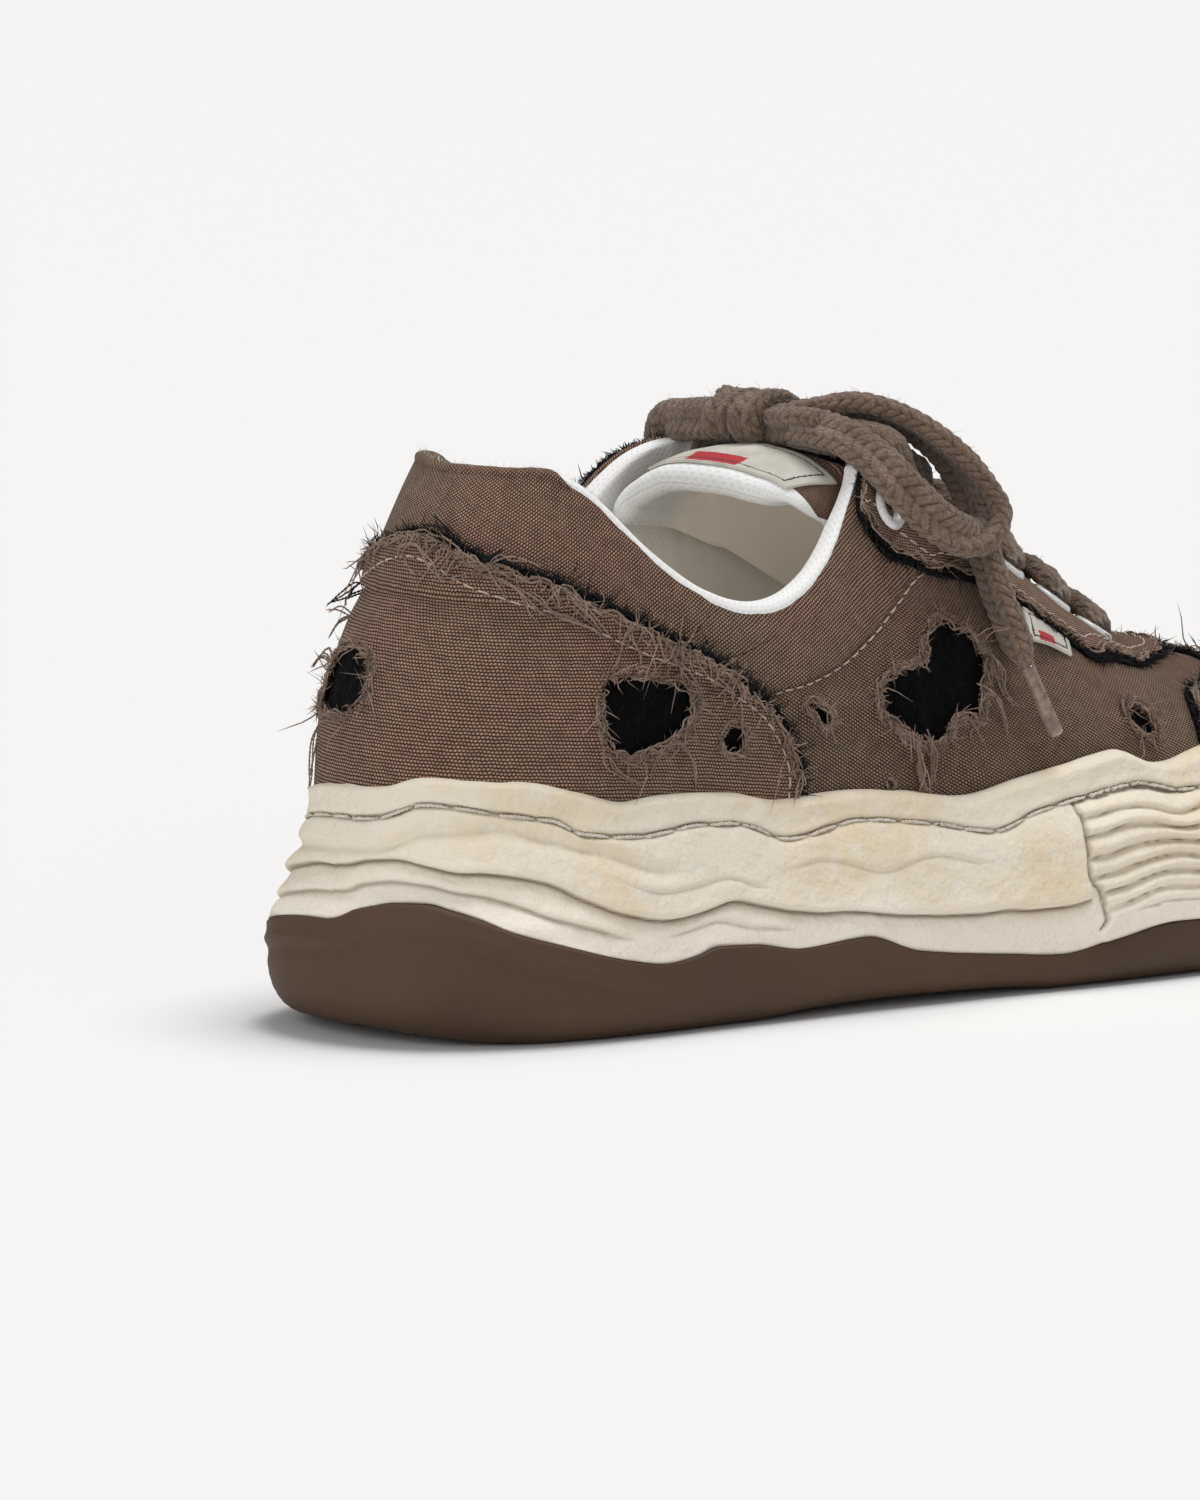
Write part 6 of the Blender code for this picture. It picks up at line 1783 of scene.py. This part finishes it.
brown = [edge_fibres(counter_edge, -1, 1.3, 2.3, 1.6, 0.9, 0.6, 0.6, keep=no_sole),
         edge_fibres(toe_edge, -1, 1.2, 2, 1.5, 0.9, 0.6, 0.6, keep=no_sole),
         edge_fibres(eyestay_edge, 1, 1.2, 2, 1.4, 0.9, 0.6, 0.6, keep=lambda t, v: v < 0.99)]
black_tufts, brown_tufts = [], []
for hole_lines, lift in ((counter_holes, 1.4), (quarter_holes, 0.3)):
    for hole in hole_lines:
        round_it = line_length(upper_point(hole[:, 0], hole[:, 1]))
        size = min(1.0, round_it / 34)
        brown.append(edge_fibres(hole, -1, lift + 0.5, 3, 1.0 * size, 0.9, 0.5, 0.6, closed=True))
        brown.append(edge_fibres(hole, 1, lift + 1.2, 4, 1.5 * size, 1.1, 0.25, 0.7, closed=True, droop=0.15))
        brown.append(edge_fibres(shift_line(hole, 0.7), -1, lift + 1.0, 2, 0.8 * size, 1.6, 1.0, 0.8, closed=True))
        brown_tufts.append(edge_fibres(hole, 1, lift + 0.9, 0.55, 2.6 * size, 1.3, 0.5, 0.9, closed=True,
                                       steps=6, droop=0.4))
        brown_tufts.append(edge_fibres(hole, -1, lift + 0.7, 0.30, 2.2 * size, 1.2, 0.3, 0.9, closed=True,
                                       steps=6, droop=0.3))
brown_tufts.append(edge_fibres(counter_edge, 1, 2.2, 1.2, 2.7, 1.2, 0.15, 0.8, keep=no_sole, steps=6, droop=0.9))
brown_tufts.append(edge_fibres(counter_edge, -1, 2.0, 0.5, 1.9, 1.2, 0.5, 0.9, keep=no_sole, steps=6))
brown_tufts.append(edge_fibres(toe_edge, -1, 1.8, 0.8, 2.2, 1.2, 0.6, 0.8, keep=no_sole, steps=6))
black_tufts.append(edge_fibres(counter_black_edge, -1, 1.4, 0.4, 1.9, 1.4, 0.4, 1.0, keep=no_sole, steps=6))
place(add_fibres("brown_fuzz", np.concatenate(brown), 0.095, yarn_brown), "canvas")

yarns = [wandering(counter_edge, False, 125, 14, 1.15, 1.5, keep=no_sole),
         wandering(toe_edge, False, 60, 14, 1.1, 1.4, keep=no_sole),
         wandering(eyestay_edge, False, 110, 13, 1.1, 1.5)]
for hole_lines, lift in ((counter_holes, 1.6), (quarter_holes, 0.5)):
    for hole in hole_lines:
        around_hole = line_length(upper_point(hole[:, 0], hole[:, 1]))
        yarns.append(wandering(hole, True, int(around_hole * 0.75), min(12, around_hole * 0.6),
                               min(1.25, around_hole / 28), lift + 0.3))
place(add_fibres("brown_yarns", np.concatenate(yarns), 0.25, yarn_brown, sides=4), "canvas")
place(add_fibres("brown_tufts", np.concatenate(brown_tufts), 0.17, yarn_brown, sides=4), "canvas")

# %% Long loose threads, laid one by one
Thread = namedtuple("Thread", "dark copies knots")
# knots as (t, v, millimetres off the cloth)
THREADS = [
    Thread(0, 2, [(-0.11, 0.70, 2.4), (0.01, 0.727, 3.4), (0.15, 0.733, 3.8), (0.26, 0.714, 3.6), (0.40, 0.68, 3.2),
                  (0.57, 0.66, 2.9), (0.77, 0.67, 2.8), (0.93, 0.686, 2.4)]),
    Thread(0, 1, [(-0.02, 0.70, 2.6), (0.10, 0.68, 3.6), (0.20, 0.665, 3.0), (0.32, 0.668, 2.4)]),
    Thread(0, 1, [(0.23, 0.794, 1.4), (0.49, 0.765, 2.6), (0.69, 0.742, 3.2), (0.78, 0.72, 3.4), (0.71, 0.694, 3.0),
                  (0.55, 0.68, 2.6)]),
    Thread(1, 3, [(0.18, 0.82, 1.4), (0.37, 0.795, 2.4), (0.46, 0.776, 2.2), (0.46, 0.745, 1.4)]),
    Thread(0, 2, [(0.97, 0.69, 2.2), (1.08, 0.715, 2.8), (1.25, 0.728, 3.0), (1.45, 0.718, 2.8), (1.60, 0.712, 2.0)]),
    Thread(1, 4, [(0.92, 0.70, 1.8), (1.0, 0.727, 2.4), (1.12, 0.752, 2.6)]),
    Thread(0, 3, [(1.02, 0.68, 2.4), (1.28, 0.655, 3.0), (1.48, 0.62, 3.0), (1.65, 0.59, 2.8), (1.85, 0.578, 2.3)]),
    Thread(0, 3, [(1.38, 0.645, 2.4), (1.6, 0.622, 3.0), (1.78, 0.595, 3.0), (2.0, 0.585, 2.8),
                  (2.2, 0.585, 2.8), (2.42, 0.575, 2.3)]),
    Thread(0, 3, [(2.0, 0.63, 2.4), (2.22, 0.605, 2.9), (2.38, 0.588, 2.3)]),
    Thread(0, 2, [(2.6, 0.62, 2.4), (2.78, 0.58, 2.9), (2.80, 0.54, 2.3)]),
    Thread(0, 2, [(3.05, 0.63, 2.4), (3.28, 0.60, 3.0), (3.40, 0.56, 2.6), (3.38, 0.53, 2.2)]),
    Thread(0, 2, [(3.60, 0.62, 2.4), (3.78, 0.58, 2.8), (3.80, 0.55, 2.2)]),
    Thread(1, 3, [(-1.15, 0.63, 1.2), (-1.19, 0.605, 3.6), (-1.2, 0.575, 4.8), (-1.2, 0.53, 7.2)]),
    Thread(1, 2, [(-1.19, 0.61, 1.2), (-1.17, 0.57, 3.8), (-1.1, 0.545, 3.2)]),
    Thread(0, 2, [(-1.1, 0.525, 1.2), (-1.15, 0.528, 4.4), (-1.2, 0.51, 7.0)]),
    Thread(0, 2, [(-1.1, 0.525, 1.2), (-1.12, 0.49, 3.4), (-1.12, 0.445, 4.2)]),
    Thread(0, 3, [(-1.0, 0.39, 1.4), (-1.05, 0.40, 4.0), (-1.1, 0.365, 5.6)]),
    Thread(0, 2, [(-1.0, 0.40, 1.4), (-1.05, 0.42, 3.4), (-1.08, 0.405, 4.4)]),
    Thread(0, 3, [(-0.95, 0.24, 1.4), (-0.97, 0.20, 3.0), (-0.97, 0.14, 3.0), (-0.95, 0.10, 2.4)]),
    Thread(0, 4, [(2.52, 0.27, 2.4), (2.62, 0.235, 2.8), (2.75, 0.212, 2.4), (2.92, 0.20, 2.1)]),
    Thread(0, 2, [(3.28, 0.37, 2.2), (3.36, 0.32, 2.6), (3.42, 0.27, 2.3), (3.43, 0.21, 2.1)]),
    Thread(0, 9, [(6.50, 0.29, 1.2), (6.44, 0.25, 2.2), (6.42, 0.20, 1.6), (6.48, 0.165, 1.4), (6.60, 0.155, 1.2)]),
    Thread(0, 7, [(6.72, 0.28, 1.2), (6.74, 0.24, 2.2), (6.72, 0.20, 1.8), (6.66, 0.17, 1.4)]),
    Thread(0, 3, [(8.35, 0.36, 1.0), (8.52, 0.35, 2.4), (8.62, 0.31, 1.6), (8.60, 0.28, 1.0)]),
    Thread(0, 4, [(8.75, 0.47, 1.2), (8.92, 0.43, 2.2), (8.86, 0.38, 1.6), (8.94, 0.34, 1.0)]),
]


THREAD_POINTS = 25


def twisted(knots, copies):
    """Two-ply yarns along a thread: each copy strays a little, and its strands wind round each other."""
    strands = []
    for copy in range(copies):
        stray = random.normal(0, (0.035, 0.006, 0.35), (len(knots), 3)) * (0.3 + (copy > 0))
        t, v, lift = (np.array(knots) + stray).T
        line = route(skin(t, v, 0.0) + np.clip(lift, 0.9, None)[:, None] * upper_normal(t, v), 0.3)
        run = travelled(line)
        where = np.linspace(0, run[-1], THREAD_POINTS)
        path = along_line(where, run, line)
        ahead, across, other = tube_frame(path, (0.3, 0.5, 0.8))
        turn = where / 1.8 * 2 * math.pi + copy
        for sign in (1, -1):
            strands.append(path + 0.11 * sign * (np.cos(turn)[:, None] * across + np.sin(turn)[:, None] * other))
    return strands


for dark, name, finish, slot_name in ((0, "brown_threads", yarn_brown, "canvas"),
                                      (1, "black_threads", yarn_black, "lining")):
    chosen = [strand for thread in THREADS if thread.dark == dark
              for strand in twisted(thread.knots, thread.copies)]
    place(add_fibres(name, np.array(chosen), 0.15, finish, sides=4), slot_name)
place(add_fibres("black_tufts", np.concatenate(black_tufts), 0.14, yarn_black, sides=4), "lining")

# The inner side's collar has a raw black edge; the heel's top edge has a little white down.
inner_rim = fine_line([(22.3, 0.975), (23.2, 0.975), (24.0, 0.975), (24.8, 0.975), (25.5, 0.975)], 0.4, closed=False)
rim = [edge_fibres(inner_rim, -1, lift, 11, 1.0, 0.7, 0.30, 0.35) for lift in (0.1, 0.5, 0.9, 1.3)]
place(add_fibres("black_inner_rim", np.concatenate(rim), 0.20, yarn_black), "lining")
heel_rim = fine_line([(-1.6, 0.992), (-0.6, 0.992), (0.6, 0.992), (1.6, 0.992), (2.4, 0.992)], 0.4, closed=False)
white_down = make_yarn("white_down", (0.66, 0.65, 0.63), (0.86, 0.86, 0.85))
down_fibres = [edge_fibres(heel_rim, -1, -0.9, 4, 1.0, 0.8, 0.4, 0.5),
               edge_fibres(heel_rim, -1, -1.4, 3, 1.2, 0.8, 0.1, 0.5)]
place(add_fibres("white_down", np.concatenate(down_fibres), 0.05, white_down), "lining")

# %% [markdown]
# ## Eyelets and crossings
#
# The lace starts as a straight bar over the lowest pair of eyelets. It goes down through them, up
# through the next pair, and from there each bar comes up out of its eyelet, crosses the tongue and
# dives under the opposite edge. The last two strands rise from the top eyelets into the knot. The
# eyelets are turned rings of pale metal: one profile spun round each eyelet's own axis.

# %% Eyelets
EYELET_STATIONS = [8.15, 8.95, 9.65, 10.3, 11.0, 11.7]
EYELET_INSET = 10.5
EYESTAY_LIFT = 1.7


def eyelet_v(t):
    """v of an eyelet: a set way down its rib from the throat's edge."""
    tries = np.linspace(1, 0.5, 101)
    line = upper_point(np.full(101, t), tries)
    run = travelled(line)
    return float(np.interp(EYELET_INSET, run, tries))


def over(t, v, lift):
    """One point over the upper's skin."""
    return skin(np.array([t]), np.array([v]), lift)[0]


def make_metal(name):
    """Pale painted metal, worn a little on its rim."""
    finish, tree, shader = new_material(name, (0.70, 0.70, 0.69), 0.30, Specular_IOR_Level=0.6, Coat_Weight=0.4,
                                        Coat_Roughness=0.15)
    place_in_object = node(tree, "ShaderNodeTexCoord").outputs["Object"]
    patches = patches_on(tree, place_in_object, 350.0, 1500.0)
    worn = blend(tree, patches.outputs["Fine"], (0.78, 0.78, 0.77), (0.55, 0.54, 0.52))
    tree.links.new(worn, shader.inputs["Base Color"])
    tree.links.new(remap(tree, patches.outputs["Broad"], 0.0, 1.0, 0.22, 0.45), shader.inputs["Roughness"])
    bump(tree, shader, patches.outputs["Fine"], 0.15, 0.0001)
    return finish


metal = make_metal("pale_metal")
RING = [(2.5, -2.2), (2.5, 0.3), (2.62, 0.72), (2.95, 1.05), (3.5, 1.2), (4.1, 1.12), (4.6, 0.8), (4.9, 0.3),
        (4.9, 0.0), (3.3, -0.1), (3.3, -2.2)]
ring_angle = np.arange(28) * 2 * math.pi / 28
for side in ("lateral", "medial"):
    for number, station in enumerate(EYELET_STATIONS, 1):
        t = station if side == "lateral" else RIB_COUNT - station
        v, lift = eyelet_v(t), EYESTAY_LIFT - 0.15
        if side == "lateral" and number == 1:      # this one slid towards the collar and stands proud
            t, v, lift = t - 0.65, v - 0.02, lift + 0.9
        spot, axis = over(t, v, lift), upper_normal(np.array([t]), np.array([v]))[0]
        across = unit(np.cross(axis, (0.0, 0.0, 1.0)))
        other = np.cross(axis, across)
        profile = np.array(RING + RING[:1])
        circle = np.cos(ring_angle)[:, None] * across + np.sin(ring_angle)[:, None] * other
        grid = spot + profile[:, :1, None] * circle[None] + profile[:, 1:, None] * axis
        place(add_surface("eyelet_ring_%s_%d" % (side, number), grid, [metal], closed=True, flip=True), "ring",
              "eyelet_%s_%d" % (side, number))

# %% Crossing bars and the strands that rise to the knot
THROAT_UP = np.array([0.0, 0.42, 0.91])


def bar_end(t, dives):
    """Points from the middle of the throat outwards, over the edge to the eyelet or under the edge."""
    v = eyelet_v(t)
    if dives:
        return [over(t, 1.0, -1.6) + (0, 0, 0.8), over(t, 0.5 * (1 + v), -4.4), over(t, v, -4.8)]
    return [over(t, 1.0, 4.6), over(t, 0.45 * 1 + 0.55 * v, 4.5), over(t, v, 3.0), over(t, v, -1.5)]


def bar(t, far_t, crown, dives, far_dives):
    """Grid of one bar between two eyelets; crown is how high its middle passes over the two edges."""
    middle = 0.5 * (over(t, 1.0, 0) + over(far_t, 1.0, 0)) + (0, 0, crown)
    points = bar_end(t, dives)[::-1] + [middle] + bar_end(far_t, far_dives)
    path = route(points, 0.85)
    share = np.abs(np.linspace(-1, 1, len(path)))[:, None]
    wall = upper_normal(np.array([t, far_t]), np.array([0.9, 0.9]))
    outer = np.where(np.linspace(-1, 1, len(path))[:, None] < 0, wall[0], wall[1])
    up = unit(THROAT_UP * (1 - share) + outer * share)
    ahead = unit(np.gradient(path, axis=0))
    return lace_grid(path, np.cross(up, ahead), 5 if dives else 3, 5 if far_dives else 3, 1.7,
                     seed=int(10 * t), sides=24)


last = EYELET_STATIONS[-1]
bars = [bar(last, RIB_COUNT - last, 3.8, False, False)]
for number, (here, after) in enumerate(zip(EYELET_STATIONS, EYELET_STATIONS[1:])):
    # the bar comes up out of the lower eyelet and dives at the upper one
    comes_up = after != last
    bars.append(bar(after, RIB_COUNT - here, 1.6, not comes_up, True))
    bars.append(bar(RIB_COUNT - after, here, 6.0, not comes_up, True))
for side in (1, -1):
    t = EYELET_STATIONS[0] if side > 0 else RIB_COUNT - EYELET_STATIONS[0]
    v = eyelet_v(t)
    rise = route([over(t, v, -1.5), over(t, v, 3.0), over(t, v + 0.08, 5.2),
                  over(t - side * 0.3, 1.0, 4.6) + (0, 0, 1.0),
                  (side * 17.0, -18.5, 119.0), (side * 7.0, -18.5, 119.5)], 0.85)
    bars.append(lace_grid(rise, facing(rise, (0.5, 0.4, 0.5)), 2, 3, 1.9, seed=21, sides=24))
place(add_lace("lace_bars", bars), "lace", "lace_crossings")

# %% [markdown]
# ## Labels
#
# Two woven tapes are sewn on: a wide one on the tongue and a small folded one at the edge of the
# eyestay. Each is a small sheet of cream tape with a dark sewn border and one plain red block. The
# border and the block are drawn by the material from the tape's own map, which is in millimetres.

# %% Tape labels
def make_tape(name, wide, tall, block, border):
    """Cream tape: a dark line a set way in from its edge, and a red block (left, right, low, high)."""
    finish, tree, shader = new_material(name, (0.66, 0.63, 0.56), 0.75, Sheen_Weight=0.1)
    uv = node(tree, "ShaderNodeUVMap", uv_map="UVMap").outputs[0]
    split = node(tree, "ShaderNodeSeparateXYZ", {0: uv})
    x, y = split.outputs[0], split.outputs[1]
    wobble = node(tree, "ShaderNodeTexNoise", {"Vector": uv, "Scale": 1.1, "Detail": 2.0}).outputs[0]
    shake = remap(tree, wobble, 0.3, 0.7, -0.22, 0.22)

    def within(low_x, high_x, low_y, high_y):
        """1 inside a rectangle whose edges waver a little."""
        u, v = calculate(tree, "ADD", x, shake), calculate(tree, "ADD", y, shake)
        a = calculate(tree, "MULTIPLY", remap(tree, u, low_x, low_x + 0.15),
                      remap(tree, u, high_x - 0.15, high_x, 1.0, 0.0))
        b = calculate(tree, "MULTIPLY", remap(tree, v, low_y, low_y + 0.15),
                      remap(tree, v, high_y - 0.15, high_y, 1.0, 0.0))
        return calculate(tree, "MULTIPLY", a, b)

    outer = within(border, wide - border, border, tall - border)
    inner = within(border + 0.45, wide - border - 0.45, border + 0.45, tall - border - 0.45)
    line = calculate(tree, "SUBTRACT", outer, inner)
    rows = calculate(tree, "ABSOLUTE", calculate(tree, "SINE", calculate(tree, "MULTIPLY", y, math.pi / 0.32)))
    place_in_object = node(tree, "ShaderNodeTexCoord").outputs["Object"]
    patches = patches_on(tree, place_in_object, 160.0, 1200.0)
    cream = blend(tree, patches.outputs["Broad"], (0.70, 0.67, 0.60), (0.58, 0.54, 0.46))
    red = blend(tree, within(*block), cream, (0.50, 0.010, 0.022))
    lined = blend(tree, line, red, (0.015, 0.014, 0.014))
    tree.links.new(lined, shader.inputs["Base Color"])
    bump(tree, shader, calculate(tree, "ADD", rows, calculate(tree, "MULTIPLY", line, 1.2)), 0.6, 0.0002)
    return finish


TAPE_THICK = 0.55


def add_tape(name, grid, wide, tall, finish):
    """Tape over a grid of points: the grid, and its rim folded down by its thickness."""
    rows, columns = grid.shape[:2]
    up = unit(np.cross(np.gradient(grid, axis=1), np.gradient(grid, axis=0)))
    big = np.pad(grid, ((1, 1), (1, 1), (0, 0)), mode="edge")
    big_up = np.pad(up, ((1, 1), (1, 1), (0, 0)), mode="edge")
    rim = np.ones(big.shape[:2])
    rim[1:-1, 1:-1] = 0
    big = big - (TAPE_THICK * rim)[..., None] * big_up
    v, u = np.meshgrid(np.linspace(0, tall, rows), np.linspace(0, wide, columns), indexing="ij")
    uv = np.pad(np.stack([u, v], -1), ((1, 1), (1, 1), (0, 0)), mode="edge")
    return add_surface(name, big, [finish], uv=uv)


tongue_tape = make_tape("tongue_tape", 38, 20, (11.0, 23.8, 0.7, 6.8), 2.2)
tape_rows = np.linspace(face_rows - 1.2, face_rows - 13.2, 30)
tape_columns = np.linspace(11, 53, 56)
i, j = np.meshgrid(tape_rows, tape_columns, indexing="ij")
i0, j0 = np.minimum(i.astype(int), face_rows - 2), np.minimum(j.astype(int), face_columns - 2)
f, g = (i - i0)[..., None], (j - j0)[..., None]
tape_grid = ((1 - f) * (1 - g) * tongue_face[i0, j0] + f * (1 - g) * tongue_face[i0 + 1, j0]
             + (1 - f) * g * tongue_face[i0, j0 + 1] + f * g * tongue_face[i0 + 1, j0 + 1])
tape_grid = tape_grid[:, ::-1] + 0.75 * tongue_up[i0, j0][:, ::-1]
place(add_tape("tongue_label", tape_grid, 38, 20, tongue_tape), "lace")

flag_tape = make_tape("flag_tape", 15, 10, (3.2, 8.6, 0.6, 3.6), 1.3)
flag_t = np.array([[9.72, 10.41], [9.92, 10.62]])
flag_v = np.array([[0.535, 0.555], [0.645, 0.672]])
b, a = np.meshgrid(np.linspace(0, 1, 18), np.linspace(0, 1, 26), indexing="ij")
flag_place_t, flag_place_v = ((1 - b) * ((1 - a) * corner[0, 0] + a * corner[0, 1])
                              + b * ((1 - a) * corner[1, 0] + a * corner[1, 1]) for corner in (flag_t, flag_v))
flag_grid = skin(flag_place_t, flag_place_v, 0.0)
flag_lift = 0.9 + 0.5 * np.sin(math.pi * a) * (1 - b) + 0.25 * np.sin(5 * a + 2 * b)
flag_grid += flag_lift[..., None] * upper_normal(flag_place_t, flag_place_v)
place(add_tape("flag_label", flag_grid, 15, 10, flag_tape), "lace")

# %% Cord in the foam's groove and the fuzz of the laces
CORD_PITCH, CORD_STITCH = 8.6, 8.2
groove_t = np.linspace(0, RIB_COUNT, 1401)[:-1]
groove_height = side_height(GROOVE, groove_t)
groove_rubber, groove_foxing = side_height(RUBBER_TOP, groove_t), side_height(FOXING, groove_t)
groove_share = (groove_height - groove_rubber) / (groove_foxing - groove_rubber)
groove_offset = foam_offset(groove_t, groove_share)[0]
groove_line = np.column_stack([foot_outline(groove_t, groove_offset + 0.75)[0], groove_height - 0.25])
groove_out = np.column_stack([foot_outline(groove_t)[1], np.zeros(len(groove_t))])
ring = np.vstack([groove_line, groove_line[:1]])
ring_out = np.vstack([groove_out, groove_out[:1]])
run = travelled(ring)
centre = np.arange(CORD_PITCH / 2, run[-1], CORD_PITCH)
centre = centre + random.uniform(-0.5, 0.5, len(centre))
s = np.linspace(-0.5, 0.5, 13)
where = np.clip(centre[:, None] + s[None] * CORD_STITCH, 0, run[-1])
middle = along_line(where, run, ring)
out = unit(along_line(where, run, ring_out))
sink = 0.15 * (1 - (2 * s) ** 2) - 1.3 * smoothstep(0.40, 0.5, np.abs(s))
middle = middle + sink[None, :, None] * out + np.array([0, 0, 1.0]) * (0.25 * (1 - (2 * s) ** 2))[None, :, None]
twist = where / 1.9 * 2 * math.pi
strands = [middle + 0.24 * sign * (np.cos(twist)[..., None] * out + np.sin(twist)[..., None] * np.array([0, 0, 1.0]))
           for sign in (1, -1)]
cord_yarn = make_yarn("groove_cord", (0.56, 0.50, 0.42), (0.76, 0.71, 0.62))
place(add_fibres("groove_cord", np.concatenate(strands), 0.29, cord_yarn, sides=5), "foam")
print("cord stitches round the sole:", len(centre))

hair_roots = np.concatenate([body[2:-2, ::2].reshape(-1, 3) for body in lace_bodies])
hair_out = np.concatenate([unit(body - body.mean(axis=1, keepdims=True))[2:-2, ::2].reshape(-1, 3)
                           for body in lace_bodies])
LACE_HAIRS = 3600
picked = random.integers(0, len(hair_roots), LACE_HAIRS)
hair_ways = unit(hair_out[picked] + 0.8 * random.normal(size=(len(picked), 3)))
hairs = curled(hair_roots[picked] - 0.1 * hair_out[picked], hair_ways,
               0.95 * random.lognormal(0, 0.4, len(picked)), 0.5, steps=3)
place(add_fibres("lace_fuzz", hairs, 0.042, yarn_brown), "lace")

# %% [markdown]
# ## Room and light
#
# The room is a plain pale floor that goes on past the edge of the picture. A broad soft sun stands
# for a studio's big diffuser overhead. Two weaker and softer ones come in low from behind and from
# the outer side, and the world fills the shade. A sun is as bright far away as it is nearby, so the
# floor stays even without any trick.

# %% Floor, lamps and world
def add_floor():
    """One large flat face on Z = 0."""
    corners = np.array([[-9000.0, -9000, 0], [9000, -9000, 0], [9000, 14000, 0], [-9000, 14000, 0]])
    finish, tree, shader = new_material("pale_floor", (0.85, 0.845, 0.84), 0.9, Specular_IOR_Level=0.1)
    floor = add_mesh("floor", corners, np.array([[0, 1, 2, 3]]), [finish])


def add_sun(name, strength, spread, elevation, azimuth):
    """Sun from a compass direction, in degrees from +Y towards +X."""
    lamp = bpy.data.lights.new(name, "SUN")
    lamp.energy = strength
    lamp.angle = math.radians(spread)
    source = bpy.data.objects.new(name, lamp)
    source.rotation_euler = (math.radians(90 - elevation), 0, math.radians(180 - azimuth))
    bpy.context.scene.collection.objects.link(source)


add_floor()
add_sun("overhead", 2.28, 36, 76, 20)
add_sun("left_fill", 1.08, 60, 17, 172)
add_sun("right_fill", 0.28, 50, 12, 120)
world = bpy.data.worlds.new("studio")
world.use_nodes = True
world.node_tree.nodes["Background"].inputs["Color"].default_value = (1.0, 0.995, 0.985, 1)
world.node_tree.nodes["Background"].inputs["Strength"].default_value = 0.27
bpy.context.scene.world = world
bpy.context.scene.view_settings.view_transform = "Standard"
